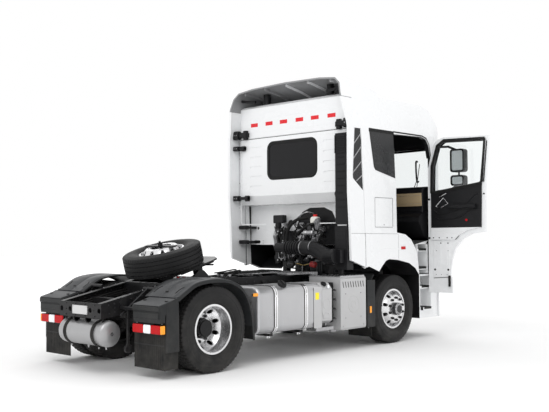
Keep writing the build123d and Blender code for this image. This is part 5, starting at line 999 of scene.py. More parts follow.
@dataclass
class Tyre:
    """Radial tyre: a (radius, offset) profile carried round the axle, its tread cut by zigzag grooves."""

    tread: Tread
    steps: int = 5
    depth: float = 0.012

    def profile(self) -> tuple[Array, Array, Array]:
        """Profile from one bead over the tread to the other.

        Returns:
            Radii, offsets along the axle, and how far each point sways with the zigzag.
        """
        side = [(0.288, 0.1040, 0), (0.300, 0.1043, 0), (0.309, 0.1100, 0), (0.318, 0.1210, 0),
                (0.330, 0.1275, 0), (0.334, 0.1305, 0), (0.338, 0.1290, 0), (0.355, 0.1380, 0),
                (0.378, 0.1455, 0), (0.400, 0.1485, 0), (0.420, 0.1480, 0), (0.440, 0.1455, 0),
                (0.443, 0.1468, 0), (0.447, 0.1452, 0), (0.465, 0.1415, 0), (0.482, 0.1375, 0), (0.492,
                0.1350, 0), (0.504, 0.1325, 0), (0.513, 0.1275, 0), (0.518, 0.1200, 0), (0.5195, 0.1120, 0)]
        grooves = ((0.083, 0.0105), (0.030, 0.0110)) if not self.tread.value[1] else ((0.070, 0.012),
                (0.024, 0.010))
        tread = []
        for middle, width in grooves:
            edge = width / 2
            top = 0.5215 - 0.05 * middle * middle * 4
            tread += [(top, middle + edge, 1), (top - self.depth, middle + edge * 0.6, 1),
                      (top - self.depth, middle - edge * 0.6, 1), (top, middle - edge, 1)]
        half = side + tread + [(0.5219, 0.006, 0)]
        whole = [(r, w, s) for r, w, s in half] + [(r, -w, -s) for r, w, s in reversed(half)]
        radius, offset, sway = (np.array(column, float) for column in zip(*whole))
        return radius, offset, sway

    def skin(self, centre: Vec, axis: Vec = X_AXIS) -> Skin:
        """The tyre's surface: P(u, v) = centre + (w(v) + sway·zigzag(u))·a + (r(v) - cut(u, v))·spoke(u)."""
        pitches, cut_across = self.tread.value
        count = pitches * self.steps
        u = np.arange(count)
        phase = (u % self.steps) / self.steps
        radius, offset, sway = self.profile()
        zigzag = np.abs(phase - 0.5) * 2 - 0.5
        cut = np.zeros((count, len(radius)))
        low = (phase < 0.35)[:, None]
        shoulder = (np.abs(offset) > 0.105) & (radius > 0.500)
        cut += np.where(low & shoulder[None], 0.0045 if not cut_across else 0.009, 0)
        if cut_across:
            crown = (np.abs(offset) <= 0.105) & (radius > 0.515)
            late = (((phase + 0.5) % 1) < 0.25)[:, None]
            cut += np.where(low & (crown & (np.abs(offset) > 0.045))[None], 0.009, 0)
            cut += np.where(late & (crown & (np.abs(offset) <= 0.045))[None], 0.007, 0)
        a = np.asarray(axis, float) / np.linalg.norm(axis)
        e1 = np.cross(a, (0.0, 0.6, 0.8) if abs(a[0]) > 0.9 else (1.0, 0.0, 0.0))
        e1 /= np.linalg.norm(e1)
        e2 = np.cross(a, e1)
        angle = u * 2 * np.pi / count
        spoke = np.cos(angle)[:, None] * e1 + np.sin(angle)[:, None] * e2
        along = offset[None] + sway[None] * zigzag[:, None] * 0.004
        out = (radius[None] - cut)[..., None] * spoke[:, None]
        points = np.asarray(centre, float) + along[..., None] * a + out
        skin = Skin(points.reshape(-1, 3), [grid_faces(count, len(radius), True, True)])
        return skin.outward()


def axle_radius(centre: Array, y: float, z: float = TYRE_RADIUS) -> Array:
    """Distance of each face's centre from an axle line."""
    return np.hypot(centre[:, 1] - y, centre[:, 2] - z)


def studs_rule(y: float, face: float) -> Rule:
    """Rule for the faces of the nuts round a hub, outside the disc's face."""
    def rule(c: Array, n: Array) -> Array:
        """Whether each centre lies in the ring of nuts."""
        r = axle_radius(c, y)
        return (r > STUD_RING[0]) & (r < STUD_RING[1]) & (np.abs(c[:, 0]) > face)

    return rule


@dataclass
class Wheels:
    """Front wheels and twin rear wheels: tyres with tread, rims with dark hubs, nuts, valves and hub caps."""

    nut_circle: float = 0.1675
    nuts: int = 10
    front_face: float = FRONT_TYRE_X + 0.165
    rear_face: float = REAR_TYRE_X - TWIN_SPACING / 2 + 0.017

    def build(self) -> None:
        """Makes every wheel's pieces."""
        for side, word in ((1.0, "left"), (-1.0, "right")):
            self.front(side, word)
            self.rear(side, word)

    def front(self, side: float, word: str) -> None:
        """Front wheel: ribbed tyre, polished disc, dark hub with a plain cap, and conical nuts."""
        body = f"front_{word}_wheel"
        centre = np.array((side * FRONT_TYRE_X, -WHEEL_BASE, TYRE_RADIUS))
        add_piece(f"front_tyre_{word}.tread", Tyre(Tread.RIBBED).skin(centre),
                  TYRE, body, 35, replaces=[f"front_tyre_{word}"])

        def hub(c: Array, n: Array) -> Array:
            """Hub and its cap, outside the disc."""
            return (axle_radius(c, -WHEEL_BASE) < 0.097) & (np.abs(c[:, 0]) > self.front_face + 0.001)

        def drum(c: Array, n: Array) -> Array:
            """Brake drum and hub behind the disc."""
            return (axle_radius(c, -WHEEL_BASE) < 0.21) & (np.abs(c[:, 0]) < self.front_face - 0.02)

        studs = studs_rule(-WHEEL_BASE, self.front_face + 0.001)
        dress_node(f"front_rim_{word}", (POLISHED, None),
                   (CAST, drum), (DARK_STEEL, hub), (FRAME_BLACK, studs))
        a = (side, 0, 0)
        face = np.array((side * self.front_face, -WHEEL_BASE, TYRE_RADIUS))
        nut = self.circle_of(self.nuts, self.nut(side), 0.0, self.nut_circle, side, face)
        cap = lathe([(0.088, 0.038), (0.092, 0.050), (0.086, 0.052), (0.070, 0.0523), (0.058, 0.060),
                     (0.050, 0.0655), (0.030, 0.0660), (0.026, 0.0635), (0, 0.0635)], face, a, 48)
        ring = self.circle_of(10, bolt(0.007, 0.006, a), 0.0505, 0.079, side, face)
        parts = ((0, nut), (1, cap), (0, ring), (2, self.valve(side, face)))
        add_mixed(f"front_nuts_{word}", (FRAME_BLACK, STEEL, RUBBER), body, *parts, angle=35)

    def circle_of(self, count: int, head: Skin, out: float, radius: float, side: float, face: Array) -> Skin:
        """Copies of a head evenly spaced on a circle round the axle, some way out from the disc's face."""
        first = face + side * np.array((out, 0, 0)) + (0, 0, radius)
        return head.moved(first).ring(count, (side, 0, 0), face)

    def nut(self, side: float) -> Skin:
        """Wheel nut about the origin: a hexagon with a domed end and a round flange."""
        a = (side, 0, 0)
        flange = lathe([(0, 0), (0.0215, 0), (0.0215, 0.004), (0.0175, 0.007), (0, 0.007)], ORIGIN, a, 16)
        body = lathe([(0, 0.004), (0.0168, 0.004), (0.0168, 0.026),
                      (0.0145, 0.0305), (0.009, 0.0318), (0, 0.0318)], ORIGIN, a, 6)
        return flange + body

    def valve(self, side: float, face: Array) -> Skin:
        """Bent tyre valve that comes out through a hand hole."""
        start = face + (-side * 0.04, 0, 0.236)
        return hose([start, start + (side * 0.02, 0, 0.006), start + (side * 0.045, 0, 0.020)],
                    0.005, Y_AXIS, 8)

    def rear(self, side: float, word: str) -> None:
        """Twin rear wheel: two drive tyres, polished discs, black hub with a bolted cap, and nuts."""
        body = f"rear_{word}_wheels"
        centre = np.array((side * REAR_TYRE_X, 0.0, TYRE_RADIUS))
        tyre = Tyre(Tread.DRIVE)
        pair = tyre.skin(centre) + tyre.skin(centre - (side * TWIN_SPACING, 0, 0))
        add_piece(f"rear_tyres_{word}.tread", pair, TYRE, body, 35, replaces=[f"rear_tyres_{word}"])

        def hub(c: Array, n: Array) -> Array:
            """Hub and flange, outside the disc."""
            return (axle_radius(c, 0.0) < 0.129) & (np.abs(c[:, 0]) > self.rear_face + 0.002)

        def inner(c: Array, n: Array) -> Array:
            """Drum and the inner rim."""
            return np.abs(c[:, 0]) < REAR_TYRE_X - TWIN_SPACING / 2 - 0.02

        studs = studs_rule(0.0, self.rear_face + 0.002)
        dress_node(f"rear_rims_{word}", (POLISHED, None),
                   (CAST, inner), (GLOSS_BLACK, hub), (DARK_STEEL, studs))
        a = (side, 0, 0)
        face = np.array((side * self.rear_face, 0.0, TYRE_RADIUS))
        nut = self.circle_of(self.nuts, self.nut(side), 0.0, self.nut_circle, side, face)
        rim = self.circle_of(12, bolt(0.009, 0.010, a), 0.043, 0.1185, side, face)
        end = self.circle_of(8, bolt(0.008, 0.008, a), 0.118, 0.085, side, face)
        parts = ((0, nut), (1, rim + end), (2, self.valve(side, face)))
        add_mixed(f"rear_nuts_{word}", (DARK_STEEL, DARK_STEEL, RUBBER), body, *parts, angle=35)


# ---------------------------------------------------------------- coupling and spare wheel
@dataclass
class Coupling:
    """Fifth wheel plate, greased on top, with the spare wheel clamped on it."""

    tilt: float = 15.2
    pivot: tuple[float, float] = (-0.55, 1.16)
    rise: float = 0.115
    spare_y: float = 0.270

    def frame(self) -> tuple[Array, Array]:
        """Origin of the plate's top and the matrix whose columns are its axes, in the ground frame."""
        s, c = math.sin(math.radians(self.tilt)), math.cos(math.radians(self.tilt))
        origin = np.array((0.0, self.pivot[0] + self.rise * s, self.pivot[1] + self.rise * c))
        return origin, np.array((X_AXIS, (0, c, s), (0, -s, c)))

    def on_plate(self, skin: Skin) -> Skin:
        """A skin given in the plate's axes, in the ground frame."""
        origin, axes = self.frame()
        return Skin(skin.points @ axes.T + origin, skin.faces)

    def local(self, points: Array) -> Array:
        """Ground points in the plate's axes."""
        origin, axes = self.frame()
        return (points - origin) @ axes

    def build(self) -> None:
        """Dresses the plate and makes the spare's tyre and clamp."""
        dress_node("fifth_wheel", (CAST, None), (GREASED, lambda c, n: self.local(c)[:, 2] > -0.0005))
        origin, axes = self.frame()
        middle = origin + axes @ np.array((0, self.spare_y, 0.1493))
        tyre = Tyre(Tread.RIBBED).skin(middle, axes[:, 2])
        add_piece("spare_tyre.tread", tyre, TYRE, "coupling", 35, replaces=["spare_tyre"])

        def clamp(c: Array, n: Array) -> Array:
            """Bar, bolt and washer."""
            p = self.local(c) - (0, self.spare_y, 0.1493)
            r = np.hypot(p[:, 0], p[:, 1])
            bar = (np.abs(p[:, 1]) < 0.0285) & (p[:, 2] > 0.1652)
            return bar | ((r < 0.065) & (p[:, 2] < 0.25))

        dress_node("spare_rim", (POLISHED, None), (FRAME_BLACK, clamp))
        z = 0.1493 + 0.181
        nut = bolt(0.021, 0.022, Z_AXIS).moved((0, self.spare_y, z + 0.001))
        wing = block((-0.050, self.spare_y - 0.008, z + 0.022),
                     (0.050, self.spare_y + 0.008, z + 0.040), 0.005, "xz")
        pads = [block((x - 0.028, self.spare_y - 0.036, z - 0.020),
                      (x + 0.028, self.spare_y + 0.036, z - 0.012), 0.003, "xy") for x in (-0.262, 0.262)]
        add_piece("spare_clamp", self.on_plate(nut + wing + pads[0] + pads[1]), FRAME_BLACK, "coupling")
        ribs = [block((x - 0.006, -0.29, -0.060), (x + 0.006, 0.30, -0.024), 0.003, "yz")
                for x in (-0.335, 0.335)]
        add_piece("plate_edge_ribs", self.on_plate(ribs[0] + ribs[1]), CAST, "coupling")


# ---------------------------------------------------------------- rear of the chassis
@dataclass
class Fenders:
    """Rear fenders: a crowned strip over the wheels, with lips, raised bands, slots and a lamp box."""

    inner_x: float = 0.640
    outer_x: float = 1.249
    line: tuple[tuple[float, float], ...] = (
        (-0.688, 0.340), (-0.640, 0.720), (-0.500, 0.975), (-0.280, 1.096), (0.0, 1.127), (0.280, 1.096),
        (0.462, 1.006), (0.590, 0.928))
    band_x: tuple[float, float] = (0.700, 1.165)

    def build(self) -> None:
        """Makes both fenders and the lamp boxes."""
        parts = []
        for side in SIDES:
            strip, box, lid, slots, stays = self.one()
            parts += [(1, strip.sided(side)), (1, box.sided(side)),
                      (0, lid.sided(side)), (2, slots.sided(side)), (3, stays.sided(side))]
        finishes = (FENDER_TOP, FENDER_GREY, RUBBER, FRAME_BLACK)
        whole, marks = joined(*parts)
        low = self.strip_marks(whole, np.array(marks))
        add_piece("rear_fenders.moulded", whole, finishes, "chassis", 32, low, ["rear_fenders"])

    def strip_marks(self, skin: Skin, marks: Array) -> Array:
        """Faces on the raised bands and near the crown take the paler finish."""
        start, out = 0, marks.copy()
        for f in skin.faces:
            middle = skin.points[f].mean(1)
            x = np.abs(middle[:, 0])
            top = (x > self.band_x[0]) & (x < self.outer_x - 0.012) & (middle[:, 2] > 0.50)
            top &= marks[start:start + len(f)] == 1
            radius = np.hypot(middle[:, 1], middle[:, 2] - TYRE_RADIUS)
            top &= (radius > 0.590) & (middle[:, 1] < 0.60)
            out[start:start + len(f)][top] = 0
            start += len(f)
        return out

    def section(self) -> Array:
        """Closed section as (inward, x): crown with a raised band, round outer corner and a deep lip."""
        low, high = self.band_x
        inner, outer, thick = self.inner_x, self.outer_x, 0.007
        top = [(0.022, inner), (0.004, inner + 0.002), (0.001, inner + 0.010), (0.001, low),
               (-0.004, low + 0.008), (-0.004, low + 0.20), (-0.001, low + 0.206), (-0.001, low + 0.222),
               (-0.004, low + 0.228), (-0.004, high), (0.001, high + 0.008), (0.002, outer - 0.030),
               (0.006, outer - 0.012), (0.014, outer - 0.003),
               (0.026, outer), (0.047, outer), (0.049, outer - 0.004), (0.047, outer - thick)]
        under = [(0.026, outer - thick), (thick + 0.006, outer - 0.024), (thick, high), (thick, low),
                 (thick, inner + 0.010), (0.022, inner + 0.006)]
        return np.array(top + under)[::-1]

    def one(self) -> tuple[Skin, Skin, Skin, Skin, Skin]:
        """The left fender's strip, lamp box, box lid, dark slots and stays."""
        curve = smooth_path(self.line, 7)
        path = np.column_stack((np.zeros(len(curve)), curve))
        strip = sweep(path, self.section(), X_AXIS)
        outline = [(0.570, 0.866), (0.575, 0.916), (0.604, 0.914), (0.700, 0.884), (0.846, 0.846),
                   (0.858, 0.836), (0.859, 0.792), (0.846, 0.778), (0.844, 0.690),
                   (0.838, 0.650), (0.764, 0.648), (0.760, 0.730), (0.742, 0.760), (0.600, 0.832)]
        box = slab(outline, self.inner_x + 0.102, self.outer_x - 0.002, "yz", 0.012)
        ledge = slab([(0.846, 0.700), (0.853, 0.704), (0.853, 0.766), (0.846, 0.770)],
                     0.770, 1.225, "yz", 0.003)
        lid = slab([(0.606, 0.911), (0.612, 0.921), (0.716, 0.890), (0.840, 0.857),
                    (0.852, 0.848), (0.838, 0.845), (0.700, 0.880)], 0.752, 1.238, "yz", 0.004)
        slots = self.slots()
        stays = hose([(0.43, -0.43, 1.010), (0.60, -0.43, 1.010), (0.69, -0.43, 1.012)], 0.023, Y_AXIS, 14)
        stays = stays + hose([(0.43, 0.43, 1.000), (0.60, 0.43, 1.000), (0.69, 0.43, 1.0)], 0.023, Y_AXIS, 14)
        stays = stays + block((RAIL_X, 0.77, 0.772), (0.80, 0.81, 0.810), 0.006)
        joint = block((self.inner_x + 0.062, 0.556, 0.914), (self.outer_x - 0.004, 0.578, 0.944), 0.004)
        apron = slab([(0.574, 0.928), (0.567, 0.70), (0.562, 0.315),
                      (0.757, 0.315), (0.757, 0.86), (0.62, 0.922)], 1.228, 1.2495, "yz", 0.004)
        return strip, box + ledge + joint + apron, lid, slots, stays

    def slots(self) -> Skin:
        """Hooked fixing slots and bolts on the crown and on the lid, as thin dark inlays."""
        curve = smooth_path(self.line, 7)
        t = np.linspace(0, 1, 9)
        hook = 0.030 * np.clip(t * 3 - 2, 0, 1) ** 2
        whole = None
        for y0, x0 in ((0.525, 0.735), (0.525, 1.130), (-0.40, 0.735), (-0.40, 1.130)):
            y = y0 - 0.115 * t
            z = np.interp(y, curve[:, 0], curve[:, 1]) + 0.0055
            strip = sweep(np.column_stack((x0 + hook, y, z)), rounded(0.017, 0.006, 0.002, 1), Z_AXIS)
            whole = strip if whole is None else whole + strip
        for x in (0.800, 1.190):
            whole = whole + block((x - 0.018, 0.690, 0.886), (x + 0.018, 0.722, 0.9005), 0.003, "xy")
        z = float(np.interp(0.50, curve[:, 0], curve[:, 1]))
        whole = whole + block((0.935, 0.485, z - 0.004), (0.975, 0.515, z + 0.009), 0.003, "xy")
        return whole


@dataclass
class Lamps:
    """Tail lamps in four lenses under the lamp boxes, headlamps, markers and reflex strips."""

    rear_y: float = 0.838

    def build(self) -> None:
        """Makes every lamp."""
        parts = []
        for side in SIDES:
            parts += [(m, s.sided(side)) for m, s in self.tail()]
            parts += [(m, s.sided(side)) for m, s in self.head()]
        finishes = (BLACK_PLASTIC, RED_LENS, WHITE_LENS, AMBER_LENS, CHROME)
        add_mixed("lamps.lenses", finishes, "chassis", *parts, replaces=["lamps"])
        self.markers()

    def tail(self) -> list[tuple[int, Skin]]:
        """Left tail lamp: housing, then the inner red, white, outer red and the amber end lens."""
        y = self.rear_y
        housing = block((0.725, 0.772, 0.524), (1.250, y - 0.010, 0.630), 0.010, "xz")
        back = block((0.81, 0.764, 0.60), (1.07, 0.80, 0.644), 0.006, "xz")
        parts = Parts([(0, housing), (0, back)])
        for mark, low, high in ((1, 0.728, 0.922), (2, 0.925, 1.056), (1, 1.059, 1.230)):
            parts.add(mark, block((low, y - 0.024, 0.528), (high, y - 0.001, 0.627), 0.010, "xz"))
            count = int((high - low) / 0.03)
            for index in range(count):
                x = low + (high - low) * (index + 0.5) / count
                parts.add(mark, block((x - 0.010, y - 0.006, 0.536), (x + 0.010, y, 0.575), 0.004, "xz"))
        parts.add(3, block((1.232, 0.776, 0.530), (1.254, y - 0.003, 0.626), 0.008, "xz"))
        return parts

    def head(self) -> list[tuple[int, Skin]]:
        """Left headlamp: dark bowl, two ringed reflectors, a light strip and a curved black rim."""
        x = np.linspace(0.795, 1.105, 15)
        bulge = -5.207 + 0.55 * np.clip(x - 0.60, 0, 1) ** 3
        parts = Parts([(0, block((0.795, -5.04, 0.605), (1.105, -4.99, 0.795), 0.012, "xz"))])
        for cx, cy in ((0.880, -5.125), (1.015, -5.085)):
            ring = [(0.0, 0.0), (0.035, -0.002), (0.060, 0.022),
                    (0.066, 0.050), (0.070, 0.050), (0.064, 0.016), (0.036, -0.010), (0, -0.010)]
            parts.add(4, lathe(ring, (cx, cy + 0.055, 0.700), (0, -1, 0), 28))
            parts.add(2, lathe([(0, 0.0), (0.030, 0.0), (0.030, 0.026), (0.022, 0.034), (0, 0.037)],
                               (cx, cy + 0.045, 0.700), (0, -1, 0), 20))
        low = np.column_stack((x, bulge + 0.020, np.full(15, 0.625)))
        parts.add(2, sweep(low, rounded(0.014, 0.012, 0.004, 2), Z_AXIS))
        rim = np.vstack([np.column_stack((x, bulge + 0.006, np.full(15, 0.612))),
                         np.column_stack((x[::-1], bulge[::-1] + 0.006, np.full(15, 0.790)))])
        parts.add(0, sweep(rim, rounded(0.014, 0.012, 0.004, 2), (0.0, 1.0, 0.05)))
        return parts

    def markers(self) -> None:
        """Amber markers by the tank and the shields, the red cab marker, and red reflex strips."""
        parts = Parts()
        for side in SIDES:
            parts.add(0, block((1.244, -0.724, 0.878), (1.253, -0.640, 0.918), 0.004).sided(side))
            parts.add(0, block((1.206, -3.150, 0.505), (1.214, -3.108, 0.603), 0.003).sided(side))
        add_mixed("amber_markers", (AMBER_LENS,), "chassis", *parts)
        cab = [block((1.2440, -3.982, 1.424), (1.2495, -3.868, 1.470), 0.004).sided(side) for side in SIDES]
        add_mixed("cab_side_markers", (RED_LENS,), "cab", *[(0, c) for c in cab])
        # the strips' glow is painted light, as tape is no lamp
        tape = [block((x - 0.077, -2.7546, 3.390), (x + 0.077, -2.7535, 3.450), 0.0005, "xz")
                for x in (-0.80, -0.475, -0.165, 0.165, 0.475, 0.80)]
        add_mixed("reflex_strips", (RED_TAPE,), "cab", *[(0, t) for t in tape])
        # the red and white reflex fields glow: painted light, as they are no lamps
        fields = [(mark, block((x, -0.216, 1.085), (x + 0.045, -0.214, 1.118), 0.0006, "xz"))
                  for mark, x in ((0, -0.44), (0, -0.33), (1, -0.385))]
        edge = block((-0.450, -0.222, 1.080), (-0.270, -0.2165, 1.123), 0.002, "xz")
        add_mixed("mount_reflex", (RED_TAPE, WHITE_LENS, FRAME_BLACK), "chassis", *fields, (2, edge))


@dataclass
class ChassisFrame:
    """Rails with their rows of bolts and holes, the end beam's plate and the bits that hang on them."""

    taper_y: float = -0.04
    rear_y: float = 1.055

    def build(self) -> None:
        """Dresses the frame and adds its small pieces."""
        plate = inside((-0.157, self.rear_y + 0.0095, 0.70), (0.157, 1.08, 0.82))
        dress_node("frame", (FRAME_BLACK, None), (PLATE, plate))
        self.fasteners()
        self.holes()
        self.tail()
        self.lines()

    def rail_z(self, y: Array, share: float) -> Array:
        """Height on the rail's web, a share of the way up from its bottom."""
        t = np.clip((y - self.taper_y) / (self.rear_y - self.taper_y), 0, 1)
        low, high = 0.790 + t * (0.670 - 0.790), 1.071 + t * (0.851 - 1.071)
        return low + (high - low) * share

    def fasteners(self) -> None:
        """Rows of flanged bolts on the webs, on the top flanges and on the end beam."""
        parts = Parts()
        y = np.concatenate((np.arange(-4.6, -0.9, 0.155), np.arange(-0.86, 1.02, 0.082)))
        for share, skip in ((0.24, 1), (0.76, 1), (0.5, 3)):
            ys = y[::skip] + 0.02 * share
            places = np.column_stack((np.full(len(ys), RAIL_X), ys, self.rail_z(ys, share)))
            head = bolts(places, 0.009, 0.009, X_AXIS)
            parts += [(0, head), (0, head.mirrored())]
            back = bolts(places * (0, 1, 1) + (RAIL_X - 0.008, 0, 0), 0.009, 0.009, (-1, 0, 0))
            parts += [(0, back), (0, back.mirrored())]
        spots = [(x, self.rear_y + 0.010, z) for x in (-0.30, -0.10, 0.10, 0.30) for z in (0.694, 0.827)]
        parts.add(0, bolts(spots, 0.009, 0.009, Y_AXIS))
        tops = [(s * 0.405, yy, float(self.rail_z(np.array(yy), 1.0)))
                for s in SIDES for yy in np.arange(0.05, 1.0, 0.19)]
        parts.add(1, bolts(tops, 0.009, 0.008, Z_AXIS))
        add_mixed("frame_bolts", (DARK_STEEL, STEEL), "chassis", *parts)

    def holes(self) -> None:
        """Punched holes along the webs, shown as thin dark discs with a rim."""
        y = np.arange(-3.9, 1.0, 0.115)
        for_left = []
        for share in (0.38, 0.62):
            z = self.rail_z(y, share)
            places = np.column_stack((np.full(len(y), RAIL_X), y, z))
            disc = lathe([(0, 0), (0.011, 0), (0.012, 0.0012), (0.009, 0.0016), (0.008, 0.0006), (0, 0.0006)],
                         ORIGIN, X_AXIS, 12)
            for_left.append(disc.at(places))
        parts = [(0, s) for s in for_left] + [(0, s.mirrored()) for s in for_left]
        add_mixed("frame_holes", (RUBBER,), "chassis", *parts)

    def tail(self) -> None:
        """Plate screws, hooked arms and eyes of the end beam, the flap hanger and a dark stay."""
        parts = Parts()
        screws = [(x, self.rear_y + 0.014, z) for x in (-0.140, 0.140) for z in (0.722, 0.799)]
        parts.add(1, bolts(screws, 0.005, 0.003, Y_AXIS))
        for x in (-0.38, 0.38):
            arm = hose([(x, 0.99, 0.69), (x, 1.00, 0.60), (x * 1.02, 0.95, 0.36), (x * 1.02, 0.90, 0.31)],
                       0.011, X_AXIS, 8)
            parts.add(0, arm)
        hanger = block((-0.575, 0.757, 0.300), (-0.545, 0.787, 0.780), 0.006)
        foot = lathe([(0, 0), (0.045, 0), (0.052, 0.010), (0.052, 0.034), (0.045, 0.044), (0, 0.044)],
                     (-0.583, 0.772, 0.315), X_AXIS, 20)
        parts += [(0, hanger), (0, foot)]
        stay = sweep(np.array(((-0.52, 0.43, 1.02), (-0.51, 0.64, 0.86), (-0.50, 0.84, 0.70))),
                     circle(0.009, 8), Z_AXIS)
        parts.add(2, stay)
        for x in (-0.12, 0.12):
            eye = lathe([(0.030, -0.008), (0.044, -0.008), (0.044, 0.008), (0.030, 0.008), (0.030, -0.008)],
                        (x, 1.03, 0.655), X_AXIS, 20)
            parts.add(0, eye)
        add_mixed("frame_tail_fittings", (FRAME_BLACK, STEEL, DARK_STEEL), "chassis", *parts)

    def lines(self) -> None:
        """Brake and cable lines along the rails and over the catwalk, with plugs and a tray where they end.
        """
        parts = Parts()
        for x, z in ((0.340, 0.99), (0.322, 0.965), (0.331, 0.94)):
            run = [(x, -2.9, z), (x, -2.0, z + 0.005), (x, -1.1, z - 0.004),
                   (x + 0.004, -0.3, z), (x, 0.2, z - 0.05), (x - 0.02, 0.85, z - 0.17)]
            for s in SIDES:
                parts.add(0, hose([(s * a, b, c) for a, b, c in run], 0.0085, Z_AXIS, 8))
        for sx in (-0.10, 0.02, 0.13):
            top = [(sx, -2.40, 1.118), (sx - 0.06, -2.15, 1.135), (sx - 0.16, -1.85, 1.128),
                   (sx - 0.10, -1.45, 1.120), (sx - 0.18, -1.15, 1.10), (sx - 0.15, -0.98, 1.085)]
            parts.add(0, hose(top, 0.010, Z_AXIS, 8))
        loop = [(-0.05, -1.55, 1.122), (-0.22, -1.42, 1.150),
                (-0.36, -1.26, 1.165), (-0.30, -1.10, 1.140), (-0.12, -1.08, 1.120)]
        parts.add(0, hose(loop, 0.011, Z_AXIS, 8))
        parts.add(0, hose([(a * 0.8 - 0.02, b + 0.05, c + 0.012) for a, b, c in loop], 0.009, Z_AXIS, 8))
        for x, y in ((-0.16, -1.02), (-0.27, -1.00), (-0.38, -1.04)):
            plug = lathe([(0, 0), (0.020, 0), (0.022, 0.012), (0.022, 0.030),
                          (0.013, 0.036), (0.011, 0.065), (0, 0.066)], (x, y, 1.090), (0.2, -0.9, 0.25), 14)
            parts.add(1, plug)
        tray = block((-0.41, -1.20, 1.072), (0.30, -0.96, 1.084), 0.004, "xy")
        parts.add(2, tray)
        add_mixed("chassis_lines", (RUBBER, STEEL, FRAME_BLACK), "chassis", *parts)


@dataclass
class Underbody:
    """Axles, knuckles, springs and the brake chambers that show under the chassis."""

    def build(self) -> None:
        """Dresses the axle nodes and adds spring leaves and brake chambers."""
        for node in ("rear_axle", "front_axle", "knuckle_left", "knuckle_right"):
            dress_node(node, (CAST, None))
        parts = Parts()
        for s in SIDES:
            for level in range(4):
                for x, y, half, z in ((0.5, 0.0, 0.60, 0.585), (0.425, -WHEEL_BASE, 0.62, 0.450)):
                    reach = half * (1 - 0.17 * level)
                    t = np.linspace(-1, 1, 13)
                    rise = (0.16 if z < 0.5 else 0.10) * (t * reach / half) ** 2
                    line = np.column_stack((np.full(13, s * x),
                            y + t * reach, z - 0.014 * level + rise - 0.004))
                    parts.add(0, sweep(line, rounded(0.078, 0.011, 0.003, 2), Z_AXIS))
            chamber = [(0, -0.085), (0.060, -0.080), (0.078, -0.060), (0.080, -0.012), (0.088, -0.008),
                       (0.088, 0.008), (0.080, 0.012), (0.080, 0.095), (0.068, 0.112), (0, 0.115)]
            parts.add(1, lathe(chamber, (s * 0.57, 0.27, 0.455), (0.0, 1.0, 0.28), 28))
            parts.add(0, hose([(s * 0.57, 0.19, 0.43), (s * 0.58, 0.12, 0.42), (s * 0.60, 0.03, 0.44)],
                              0.014, X_AXIS, 8))
            parts.add(2, hose([(s * 0.55, 0.30, 0.54), (s * 0.50, 0.33, 0.66), (s * 0.44, 0.30, 0.80)],
                              0.010, X_AXIS, 8))
        add_mixed("spring_leaves", (CAST, FRAME_BLACK, RUBBER), "chassis", *parts)


# ---------------------------------------------------------------- side equipment
def round_bead(centre: Vec, radius: float, thick: float) -> Skin:
    """Thin round ring that stands on a face turned to the side."""
    a = np.linspace(0, 2 * np.pi, 41)
    path = np.column_stack((np.zeros(41), radius * np.cos(a), radius * np.sin(a))) + centre
    return sweep(path, circle(thick, 6), X_AXIS)


